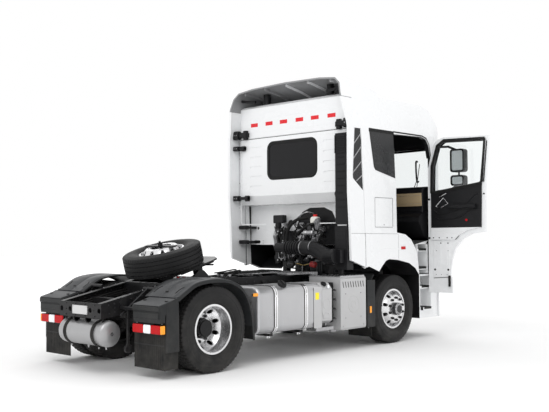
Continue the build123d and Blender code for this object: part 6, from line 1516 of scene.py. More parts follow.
@dataclass
class FuelTank:
    """Brushed tank with double bands, rubber-edged, its angled cap and seams."""

    out_x: float = -1.24
    width: float = 0.650
    low: float = 0.385
    high: float = 0.985
    ends: tuple[float, float] = (-1.975, -0.730)
    straps: tuple[float, float] = (-1.655, -1.065)

    def loop(self, y: float, grow: float) -> Array:
        """Rounded section of the tank at a place along it, grown outwards."""
        flat = rounded(self.width + 2 * grow, self.high - self.low + 2 * grow, 0.105 + grow, 8)
        x, z = self.out_x + self.width / 2, (self.low + self.high) / 2
        return np.column_stack((flat[:, 0] + x, np.full(len(flat), y), flat[:, 1] + z))

    def build(self) -> None:
        """Makes the tank, straps, filler and seams."""
        front, rear = self.ends
        steps = ((front, -0.022), (front + 0.004, -0.008), (front + 0.014, 0.0), (front + 0.030, 0.0),
                 (front + 0.034, 0.0025), (front + 0.042, 0.0025), (front + 0.046, 0.0), (rear - 0.046, 0.0),
                 (rear - 0.042, 0.0025), (rear - 0.034, 0.0025),
                 (rear - 0.030, 0.0), (rear - 0.014, 0.0), (rear - 0.004, -0.008), (rear, -0.022))
        body = loft(np.stack([self.loop(y, g) for y, g in steps]))
        dished = np.stack([self.loop(rear - 0.0001 + d, g)
                           for d, g in ((0.0, -0.060), (0.0035, -0.075), (0.004, -0.2))])
        parts = Parts([(0, body), (0, loft(dished))])
        for y in self.straps:
            for low, high, mark, grow in ((-0.0375, 0.0375, 1, 0.0035),
                    (-0.030, -0.004, 2, 0.0080), (0.004, 0.030, 2, 0.0080)):
                rings = ((y + low, 0.0004), (y + low, grow), (y + high, grow), (y + high, 0.0004))
                skin = loft(np.stack([self.loop(p, g) for p, g in rings]), False)
                parts.add(mark, skin)
            for z in (0.46, 0.86):
                pin = bolt(0.009, 0.012, (-1, 0, 0)).moved((self.out_x - 0.007, y, z))
                parts.add(2, pin)
            parts.add(3, block((-1.150, y - 0.034, 0.340), (-0.434, y + 0.034, 0.376), 0.006))
            parts.add(3, block((-0.474, y - 0.034, 0.345), (-0.434, y + 0.034, 1.008), 0.006))
            parts.add(2, bolts([(-1.10, y - 0.02, 0.340), (-1.10, y + 0.02, 0.340)], 0.009, 0.03, (0, 0, -1)))
        parts += self.filler()
        for z in (0.43, 0.94):
            parts.add(3, block((self.out_x - 0.0005, -0.87, z - 0.004),
                               (self.out_x + 0.002, -0.87 + 0.001, z + 0.004), 0.0004))
        finishes = (TANK, RUBBER, CHROME, FRAME_BLACK, BLACK_PLASTIC)
        add_mixed("fuel_tank.bands", finishes, "chassis", *parts, angle=32, replaces=["fuel_tank"])

    def filler(self) -> list[tuple[int, Skin]]:
        """Neck, ribbed cap with its handle bar and a retaining strap, leaning outwards."""
        axis = (-math.sin(math.radians(38)), 0, math.cos(math.radians(38)))
        base = np.array((self.out_x + 0.090, -1.230, self.high - 0.030))
        neck = lathe([(0, 0), (0.048, 0), (0.048, 0.050), (0, 0.050)], base, axis, 32)
        cap = lathe([(0, 0.046), (0.055, 0.046), (0.061, 0.052),
                     (0.062, 0.083), (0.056, 0.090), (0.030, 0.0905), (0, 0.0905)], base, axis, 40)
        rib = block((-0.003, -0.004, 0.052), (0.003, 0.004, 0.084),
                    0.001, "xy").moved((0.0605, 0, 0)).ring(20, Z_AXIS, ORIGIN)
        bar = block((-0.050, -0.010, 0.088), (0.050, 0.010, 0.102), 0.004, "xz")
        tilted = (rib + bar).turned(-38, Y_AXIS).moved(base)
        strap = hose([base + (0.0, 0.055, 0.03), base + (0.03, 0.10, 0.01), base + (0.05, 0.115, 0.035)],
                     0.004, Z_AXIS, 6)
        return [(0, neck), (4, cap), (4, tilted), (1, strap)]


@dataclass
class SideBoxes:
    """Exhaust box, urea tank, battery box, locker and mud shields."""

    def build(self) -> None:
        """Dresses the boxes and adds their louvres, covers, screws and labels."""
        self.exhaust()
        self.urea()
        self.left_boxes()
        self.shields()

    def exhaust(self) -> None:
        """Silver cover with a folded rim, slanted louvres over a recess painted dark as shade, screws and the
        outlet pipe.
        """
        # the back and walls of the louvre recess take the black rubber finish: painted shade inside the
        # recess
        recess = inside((-1.2195, -2.965, 0.88), (-1.205, -2.445, 1.0))
        dress_node("exhaust_box", (SILVER_COVER, None), (ENGINE, lambda c, n: c[:, 0] > -0.635),
                   (RUBBER, lambda c, n: recess(c, n) & (np.abs(n[:, 2]) < 0.99)))
        parts = Parts()
        front, rear = -2.995, -2.415
        for index in range(9):
            y = front + 0.060 + index * (rear - front - 0.12) / 8
            blade = block((-1.219, y - 0.010, 0.902), (-1.206, y + 0.004, 0.988),
                          0.003, "yz").turned(-14, X_AXIS, (0, y, 0.945))
            # slot: thin dark strip along each blade, painted shade in the gap under it
            slot = block((-1.2205, y - 0.006, 0.905), (-1.2192, y + 0.006, 0.985),
                         0.0004, "yz").turned(-14, X_AXIS, (0, y, 0.945))
            parts += [(0, blade), (1, slot)]
        spots = [(-1.2205, y, z) for y in (-2.88, -2.53)
                 for z in (0.815, 0.475)] + [(-1.2205, y, 0.36) for y in (-2.94, -2.47)]
        parts.add(2, bolts(spots, 0.008, 0.005, (-1, 0, 0)))
        rim = rounded(0.575, 0.728, 0.030, 4)
        path = np.vstack((rim, rim[:1]))
        path = np.column_stack((np.full(len(path), -1.2190), path[:, 0] - 2.705, path[:, 1] + 0.678))
        parts.add(0, sweep(path, rounded(0.008, 0.006, 0.002, 1), X_AXIS))
        for radius in (0.118, 0.050):
            parts.add(0, round_bead((-1.2202, -2.705, 0.66), radius, 0.0026))
        parts += [(3, block((-1.19, y - 0.012, 0.318), (-0.66, y + 0.012, 0.338), 0.004))
                  for y in (-2.90, -2.52)]
        outlet = lathe([(0, 0), (0.062, 0), (0.066, 0.01), (0.066, 0.05),
                        (0.058, 0.05), (0.056, 0.01), (0, 0.01)], (-0.95, -2.55, 0.318), (0, 0, -1), 28)
        parts.add(2, outlet)
        add_mixed("exhaust_cover_details", (SILVER_COVER, RUBBER, STEEL, FRAME_BLACK), "chassis", *parts)

    def urea(self) -> None:
        """Silver cover with a raised panel, blank label, cap, pipes and the step's tread."""
        step = inside((-1.24, -2.25, 0.33), (-1.03, -1.86, 0.39))
        dress_node("urea_tank", (SILVER_COVER, None),
                   (STEEL, step), (FRAME_BLACK, lambda c, n: c[:, 0] > -0.735))
        x = -1.2155
        outline = [(-2.205, 0.50), (-2.205, 0.88), (-2.19, 0.90),
                   (-2.02, 0.90), (-2.005, 0.88), (-2.005, 0.60), (-2.035, 0.50)]
        parts = Parts([(0, slab(outline, x - 0.006, x + 0.001, "yz", 0.004))])
        rim = round_bead((x - 0.006, -2.10, 0.70), 0.074, 0.003)
        arch = [(-2.16, 0.52), (-2.15, 0.56), (-2.125, 0.575), (-2.075, 0.575), (-2.05, 0.56), (-2.04, 0.52)]
        arch_path = smooth_path([(x - 0.006, a, b) for a, b in arch], 5)
        parts += [(0, rim), (0, sweep(arch_path, circle(0.004, 8), X_AXIS))]
        front = [(-1.974, 0.40), (-1.974, 0.93), (-1.962, 0.945),
                 (-1.822, 0.945), (-1.808, 0.93), (-1.808, 0.40), (-1.822, 0.385), (-1.962, 0.385)]
        parts.add(0, slab(front, -1.2455, -1.2375, "yz", 0.0025))
        parts.add(5, slab([(-1.8075, 0.40), (-1.8075, 0.93), (-1.8015, 0.93), (-1.8015, 0.40)],
                          -1.2425, -1.2385, "yz", 0.001))
        # yellow label: its glow is painted light
        parts.add(1, block((-1.2465, -1.914, 0.772), (-1.2450, -1.840, 0.866), 0.0005, "yz"))
        cap = lathe([(0, 0), (0.040, 0), (0.043, 0.006), (0.043, 0.022), (0.038, 0.027), (0, 0.027)],
                    (-1.165, -2.10, 0.962), (-0.5, 0, 0.86), 28)
        parts.add(2, cap)
        # mark in the white lens finish: its glow is painted light
        mark = lathe([(0, 0), (0.024, 0), (0.0245, 0.0012), (0, 0.0014)],
                     (x - 0.001, -2.150, 0.935), (-1, 0, 0), 20)
        parts.add(3, mark)
        for k in range(4):
            z = 0.47 + 0.13 * k
            parts.add(2, hose([(-1.16, -2.232, z), (-1.19, -2.30, z + 0.02), (-1.15, -2.38, z + 0.01)],
                              0.014, Z_AXIS, 10))
        panel = block((-1.10, -2.400, 0.42), (-1.00, -2.240, 0.98), 0.01)
        parts.add(2, panel)
        parts.add(4, bolts([(-1.102, -2.33, z) for z in (0.5, 0.7, 0.9)], 0.012, 0.010, (-1, 0, 0)))
        for k in range(6):
            y = -2.225 + 0.058 * k
            parts.add(2, block((-1.222, y, 0.3855), (-1.060, y + 0.030, 0.3885), 0.001, "xy"))
        add_mixed("urea_tank_details", (SILVER_COVER, YELLOW, BLACK_PLASTIC, WHITE_LENS, STEEL, RUBBER),
                  "chassis", *parts)

    def left_boxes(self) -> None:
        """Battery box with clips on its lid, and the locker with a latch and corner bolts."""
        dress_node("battery_box", (BLACK_PLASTIC, None), (FRAME_BLACK, lambda c, n: (c[:, 0] < 0.675)))
        parts = Parts()
        for y in (-1.85, -1.25):
            parts.add(0, block((1.2245, y - 0.02, 0.855), (1.2385, y + 0.02, 0.935), 0.004))
            parts.add(1, hose([(1.228, y - 0.014, 0.915), (1.238, y, 0.905), (1.228, y + 0.014, 0.915)],
                              0.003, Z_AXIS, 6))
        parts.add(1, block((1.2265, -2.53, 0.66), (1.2385, -2.45, 0.70), 0.004))
        parts.add(0, bolts([(1.2262, y, z) for y in (-2.90, -2.10) for z in (0.50, 0.86)],
                           0.008, 0.006, X_AXIS))
        ribs = [block((0.75, y, 0.9455), (1.15, y + 0.02, 0.952), 0.002, "xy")
                for y in np.arange(-1.86, -1.24, 0.11)]
        parts += [(0, r) for r in ribs]
        add_mixed("left_box_fittings", (BLACK_PLASTIC, STEEL), "chassis", *parts)

    def shields(self) -> None:
        """Mud flaps with fine ribs and a clamped top edge, and the front wheel shields."""
        dress_node("mud_flaps", (RUBBER, None), (FENDER_GREY,
                lambda c, n: (c[:, 1] < -1) & (c[:, 2] > 0.305)))
        parts = Parts()
        for s in SIDES:
            for x in np.arange(0.69, 1.222, 0.038):
                parts.add(0, block((s * x, 0.7595, 0.125), (s * (x + 0.006), 0.7625, 0.62), 0.001, "xz"))
            parts.add(1, block((s * 0.675, 0.7595, 0.385), (s * 1.225, 0.765, 0.398), 0.002, "xz"))
            parts.add(0, slab([(0.566, 0.118), (0.564, 0.318), (0.762, 0.318), (0.762, 0.118)],
                              1.2235, 1.2295, "yz", 0.002).sided(s))
            spots = [(s * x, 0.7595, 0.640) for x in (0.72, 0.95, 1.18)]
            parts.add(2, bolts(spots, 0.009, 0.007, Y_AXIS))
            for z in (0.45, 0.60, 0.75, 0.90):
                parts.add(1, block((s * 1.2045, -3.20, z), (s * 1.2075, -3.07, z + 0.012), 0.001))
            spots = [(s * x, -3.168, 0.285) for x in (0.80, 0.97, 1.14)]
            parts.add(2, bolts(spots, 0.009, 0.007, Y_AXIS))
        add_mixed("flap_ribs", (RUBBER, FENDER_GREY, STEEL), "chassis", *parts)


@dataclass
class AirTanks:
    """Silver air tanks with weld seams, end bosses, drain valves and black straps."""

    centre: tuple[float, float] = (0.935, 0.487)
    radius: float = 0.155
    half: float = 0.470

    def build(self) -> None:
        """Makes the rear tank's profile and the left rail's tank, with their straps."""
        y, z = self.centre
        t = np.linspace(0, np.pi / 2, 9)
        dome = np.column_stack((self.radius * np.sin(t), self.half - 0.060 * (1 - np.cos(t))))
        seam = [(self.radius, 0.402), (self.radius + 0.002, 0.396),
                (self.radius + 0.002, 0.388), (self.radius, 0.382)]
        end = [(r, h) for r, h in dome] + seam
        profile = [(r, -h) for r, h in end] + [(r, h) for r, h in reversed(end)]
        parts = Parts([(0, lathe(profile, (0, y, z), X_AXIS, 56))])
        boss = lathe([(0, -0.004), (0.024, -0.004), (0.024, 0.000), (0, 0.000)], ORIGIN, X_AXIS, 16)
        parts += [(1, boss.moved((self.half, y, z))), (1, boss.mirrored().moved((-self.half, y, z)))]
        for x in (-0.285, 0.285):
            hoop = [(self.radius + 0.0004, -0.028), (self.radius + 0.009, -0.027),
                    (self.radius + 0.009, -0.008), (self.radius + 0.005, -0.006),
                    (self.radius + 0.005, 0.006), (self.radius + 0.009, 0.008), (self.radius + 0.009, 0.027),
                    (self.radius + 0.0004, 0.028), (self.radius + 0.0004, -0.028)]
            parts.add(2, self.hoop(hoop, (x, y, z)))
            parts.add(2, block((x - 0.028, y - 0.030, z + 0.156), (x + 0.028, y + 0.030, 0.701), 0.004))
            near, far = sorted((x, math.copysign(0.4245, x)))
            parts.add(2, block((near, y - 0.030, 0.699), (far, y + 0.030, 0.730), 0.004))
            parts.add(1, bolts([(x, y + 0.05, z - 0.162)], 0.010, 0.020, (0, 0.3, -0.95)))
        valve = lathe([(0, 0), (0.014, 0), (0.014, 0.018), (0.009, 0.022), (0.009, 0.036), (0, 0.037)],
                      ORIGIN, (0, 0, -1), 12)
        parts += [(1, valve.moved((0.0, y, z - self.radius + 0.002))),
                  (1, valve.moved((-0.36, y, z - self.radius + 0.002)))]
        side = [(0.118 * math.sin(a), 0.155 - 0.045 * (1 - math.cos(a)))
                for a in np.linspace(0, np.pi / 2, 8)]
        side = [(r, -h) for r, h in side] + [(r, h) for r, h in reversed(side)]
        parts.add(0, lathe(side, (RAIL_X + 0.150, -0.980, 0.640), Y_AXIS, 40))
        for place in (-1.050, -0.910):
            hoop = [(0.1184, -0.020), (0.126, -0.020), (0.126, 0.020), (0.1184, 0.020), (0.1184, -0.020)]
            parts.add(2, self.hoop(hoop, (RAIL_X + 0.150, place, 0.640), Y_AXIS))
            parts.add(2, block((RAIL_X, place - 0.02, 0.756), (RAIL_X + 0.12, place + 0.02, 0.849), 0.004))
        add_mixed("air_tanks.seamed", (AIR_SILVER, STEEL, RUBBER),
                  "chassis", *parts, angle=35, replaces=["air_tanks"])

    def hoop(self, profile: Path, centre: Vec, axis: Vec = X_AXIS) -> Skin:
        """Closed ring: a closed (radius, height) outline carried round an axis."""
        shape = np.array(profile[:-1])
        a = np.asarray(axis, float)
        e1 = np.cross(a, (0.0, 0.0, 1.0))
        e2 = np.cross(a, e1)
        v = np.arange(48) * 2 * np.pi / 48
        spoke = np.cos(v)[:, None] * e1 + np.sin(v)[:, None] * e2
        along, out = shape[None, :, 1, None] * a, shape[None, :, 0, None] * spoke[:, None]
        points = np.asarray(centre, float) + along + out
        return Skin(points.reshape(-1, 3), [grid_faces(48, len(shape), True, True)]).outward()


@dataclass
class Deck:
    """Catwalk plates behind the cab with punched holes and folded edges."""

    pitch: tuple[float, float] = (0.055, 0.075)

    def build(self) -> None:
        """Dresses the plates and adds their holes and edge strips."""
        dress_node("catwalk", (DECK, None), (FRAME_BLACK,
                lambda c, n: (c[:, 2] < 1.103) & (np.abs(c[:, 0]) < 0.44) & (np.abs(n[:, 2]) < 0.5)))
        ring = lathe([(0, 0), (0.0105, 0), (0.0115, 0.002), (0.0090, 0.0022), (0.0080, 0.0008), (0, 0.0008)],
                     ORIGIN, Z_AXIS, 8)
        holes = [self.rows((-0.58, 0.54), (-2.56, -2.0), 1.111, 0.027), self.rows((-0.30, 0.31),
                (-1.92, -1.60), 1.111), self.rows((-1.17, -0.66), (-2.94, -2.46), 1.059)]
        parts = [(0, ring.at(np.vstack(holes)))]
        lips = [block((-0.620, -1.966, 1.080), (0.560, -1.960, 1.111), 0.002),
                block((-0.330, -1.566, 1.080), (0.330, -1.560, 1.111), 0.002),
                block((-1.199, -2.990, 1.046), (-1.193, -2.425, 1.066), 0.002),
                block((-0.626, -2.62, 1.082), (-0.620, -1.96, 1.1105), 0.002)]
        teeth = block((-0.004, -0.003, 0), (0.004, 0.003, 0.008), 0.001, "xy")
        places = [(x, -1.963, 1.110) for x in np.arange(-0.60, 0.56, 0.022)] + [(-1.196, y, 1.065)
                for y in np.arange(-2.98, -2.43, 0.022)]
        parts += [(1, s) for s in lips] + [(1, teeth.at(np.array(places)))]
        add_mixed("deck_details", (RUBBER, STEEL), "chassis", *parts)

    def rows(self, across: Vec, along: Vec, height: float, shift: float = 0.0) -> Array:
        """Places of punched holes in rows, every second row shifted sideways."""
        x, y = np.meshgrid(np.arange(*across, self.pitch[0]), np.arange(*along, self.pitch[1]))
        x[1::2] += shift
        return np.column_stack((x.ravel(), y.ravel(), np.full(x.size, height)))


# ---------------------------------------------------------------- engine bay
@dataclass
class EngineBay:
    """Hoses, wiring, filters and the coolant reservoir that show behind and under the sleeper."""

    def build(self) -> None:
        """Dresses the engine and adds what is fixed to it."""
        block_top = inside((-0.5, -4.4, 1.20), (0.5, -3.2, 1.5))
        core = inside((-0.345, -5.1, 0.95), (0.345, -4.90, 1.39))
        dress_node("engine", (ENGINE, None), (ENGINE_BRIGHT, block_top), (STEEL, core))
        self.air_cleaner()
        self.fittings()
        self.wiring()

    def air_cleaner(self) -> None:
        """Black duct with its clamp band, mould lines and a ribbed bellows."""
        dress_node("air_cleaner", (BLACK_PLASTIC, None))
        parts = Parts()
        for x in (-0.655, -0.47):
            clamp = lathe([(0.1065, -0.006), (0.1085, -0.006), (0.1085, 0.006), (0.1065, 0.006)],
                          (x, -2.48, 1.462), X_AXIS, 32)
            parts.add(0, clamp)
        for x in (-0.62, -0.52):
            tip = [(x, -2.48 + 0.106 * math.sin(a), 1.462 + 0.106 * math.cos(a))
                   for a in np.linspace(-1.0, 1.6, 10)]
            parts.add(1, sweep(np.array(tip), circle(0.004, 6), X_AXIS))
        run = [(-0.70, -2.383, 1.40), (-0.80, -2.383, 1.375), (-0.93, -2.382, 1.300), (-1.08, -2.382, 1.298)]
        parts.add(1, hose(run, 0.005, Y_AXIS, 6))
        run = [(-0.68, -2.39, 1.50), (-0.80, -2.385, 1.46), (-0.92, -2.385, 1.39), (-1.10, -2.385, 1.388)]
        parts.add(1, hose(run, 0.005, Y_AXIS, 6))
        parts.add(1, block((-1.175, -2.600, 1.20), (-0.995, -2.594, 1.72), 0.003))
        parts += [(1, block((-1.18, -2.5985, z), (-0.99, -2.5935, z + 0.010), 0.002))
                  for z in np.arange(1.22, 1.74, 0.06)]
        add_mixed("air_duct_details", (STEEL, BLACK_PLASTIC), "chassis", *parts)

    def fittings(self) -> None:
        """Reservoir, filler necks, filters, valve blocks, pulleys and bright pipe ends."""
        parts = Parts()
        tank = loft(np.stack([np.column_stack((rounded(0.15 * s, 0.12 * s, 0.045 * s, 4) + (-0.33, -2.92),
                np.full(20, z))) for z, s in ((1.800, 0.80),
                (1.806, 0.95), (1.850, 1.0), (1.895, 1.0), (1.925, 0.8), (1.932, 0.5))]))
        parts.add(0, tank)
        parts.add(1, lathe([(0, 0), (0.030, 0), (0.033, 0.005), (0.033, 0.026), (0.027, 0.033), (0, 0.034)],
                           (-0.33, -2.92, 1.930), Z_AXIS, 24))
        rng = np.random.default_rng(12)
        for k in range(22):
            x, z = rng.uniform(-0.52, 0.42), rng.uniform(1.28, 1.88)
            y = rng.uniform(-3.02, -2.74) if abs(x) < 0.50 else -2.76
            if z > 1.74 and y > -2.80:
                y = -2.86
            r, h = rng.uniform(0.018, 0.046), rng.uniform(0.03, 0.10)
            axis = (Y_AXIS, X_AXIS, (0, 0.3, 1))[k % 3]
            can = [(0, -h), (r * 0.8, -h), (r, -h * 0.85), (r, -h * 0.3), (r * 0.86, -h * 0.25),
                   (r * 0.86, h * 0.4), (r, h * 0.5), (r, h * 0.9), (r * 0.7, h), (0, h)]
            parts.add((2, 3, 4)[k % 3], lathe(can, (x, y, z), axis, 16))
        for k in range(17):
            x, y, z = rng.uniform(-0.50, 0.40), rng.uniform(-3.0, -2.84), rng.uniform(1.25, 1.74)
            w = rng.uniform(0.03, 0.075, 3)
            parts.add(2 if k % 2 else 4, block((x - w[0], y - w[1], z - w[2]),
                    (x + w[0], y + w[1], z + w[2]), 0.010))
        spots = np.column_stack((rng.uniform(-0.5, 0.42, 40),
                rng.uniform(-2.86, -2.76, 40), rng.uniform(1.25, 1.72, 40)))
        parts.add(3, bolts(spots, 0.009, 0.012, Y_AXIS))
        parts += [(6, block((0.40, -2.96, 1.20), (0.47, -2.88, 1.86), 0.008)), (6, block((0.30, -2.97, 1.84),
                (0.50, -2.86, 1.97), 0.012)), (6, block((0.10, -3.00, 1.24), (0.40, -2.90, 1.72), 0.02))]
        filters = [(-0.50, -2.66, 1.215, 5), (-0.12, -2.60, 1.215, 2)]
        for x, y, z, mark in filters:
            can = [(0, -0.055), (0.035, -0.052), (0.046, -0.040), (0.046, 0.030), (0.040, 0.040), (0, 0.042)]
            parts.add(mark, lathe(can, (x, y, z), (1, 0.15, 0.1), 24))
        frame_loop = [(0.30, -2.79, 1.30), (0.30, -2.78, 1.50),
                      (0.19, -2.78, 1.50), (0.19, -2.79, 1.30), (0.30, -2.79, 1.30)]
        parts.add(3, sweep(np.array([(0.245 + a, -2.780, 1.40 + b) for a, b in np.vstack((rounded(0.11,
                0.22, 0.03, 3), rounded(0.11, 0.22, 0.03, 3)[:1]))]), circle(0.006, 8), Y_AXIS))
        parts.add(3, bolts([(f[0], f[1], f[2]) for f in frame_loop[:3]], 0.008, 0.010, Y_AXIS))
        finishes = (MILKY, RED_CAP, DARK_STEEL, STEEL, ENGINE_BRIGHT, DARK_RED, FRAME_BLACK)
        add_mixed("engine_fittings", finishes, "chassis", *parts)

    def wiring(self) -> None:
        """Bent hoses, thin pipes and wiring looms, each a smooth tube through a few points."""
        rng = np.random.default_rng(7)
        parts = Parts()
        routes = (
            (0.022, 0, [(-0.45, -2.95, 1.85), (-0.30, -2.82, 1.80), (-0.12, -2.80, 1.70),
                        (0.0, -2.90, 1.60)]),
            (0.026, 0, [(-0.20, -2.90, 1.92), (-0.05, -2.80, 1.88), (0.10, -2.78, 1.74),
                        (0.14, -2.80, 1.50), (0.10, -2.90, 1.30)]),
            (0.020, 0, [(0.20, -2.95, 1.88), (0.22, -2.82, 1.70), (0.18, -2.78, 1.50),
                        (0.24, -2.80, 1.25)]),
            (0.013, 0, [(-0.55, -2.90, 1.62), (-0.62, -2.74, 1.68), (-0.58, -2.70, 1.56),
                        (-0.60, -2.78, 1.40)]),
            (0.012, 0, [(-0.10, -2.72, 1.34), (0.02, -2.64, 1.20), (-0.10, -2.60, 1.16),
                        (-0.35, -2.58, 1.15)]),
            (0.005, 1, [(-0.42, -2.78, 1.24), (-0.30, -2.68, 1.20), (-0.20, -2.64, 1.22),
                        (-0.05, -2.66, 1.16)]),
            (0.016, 0, [(0.26, -2.85, 1.78), (0.34, -2.80, 1.62), (0.30, -2.78, 1.42),
                        (0.33, -2.85, 1.22)]),
            (0.012, 2, [(-0.25, -2.98, 1.98), (-0.20, -2.86, 2.0), (-0.05, -2.84, 1.92),
                        (0.05, -2.88, 1.80)]),
        )
        for radius, mark, points in routes:
            parts.add(mark, hose(points, radius, (0.3, 0.1, 1), 10))
        for k in range(34):
            x0, z0 = rng.uniform(-0.50, 0.42), rng.uniform(1.50, 1.84)
            steps = rng.uniform(-1, 1, (4, 3)) * (0.10, 0.05, 0.05)
            line = np.array((x0, -2.83, z0)) + np.cumsum(steps, 0) - np.outer(np.arange(4), (0, 0, 0.12))
            line[:, 1] = np.clip(line[:, 1], -2.95, -2.765)
            line[:, 0] = np.clip(line[:, 0], -0.60, 0.46)
            parts.add((0, 0, 0, 2)[k % 4], hose(line, rng.uniform(0.005, 0.011), (0.3, 0.1, 1), 7))
        add_mixed("engine_hoses", (RUBBER, BRASS, STEEL), "chassis", *parts)


# ---------------------------------------------------------------- cab outside
def tube(path: Path, radius: float, up: Vec = X_AXIS, closed: bool = False) -> Skin:
    """Round bead along straight stretches, given its corner points."""
    points = np.asarray(list(path) + ([path[0]] if closed else []), float)
    return sweep(points, circle(radius, 8), up)


def strip(path: Path, width: float, height: float, up: Vec, closed: bool = False) -> Skin:
    """Flat rounded bead along corner points; width lies across up and height along it."""
    points = np.asarray(list(path) + ([path[0]] if closed else []), float)
    return sweep(points, rounded(width, height, min(width, height) * 0.3, 2), up)


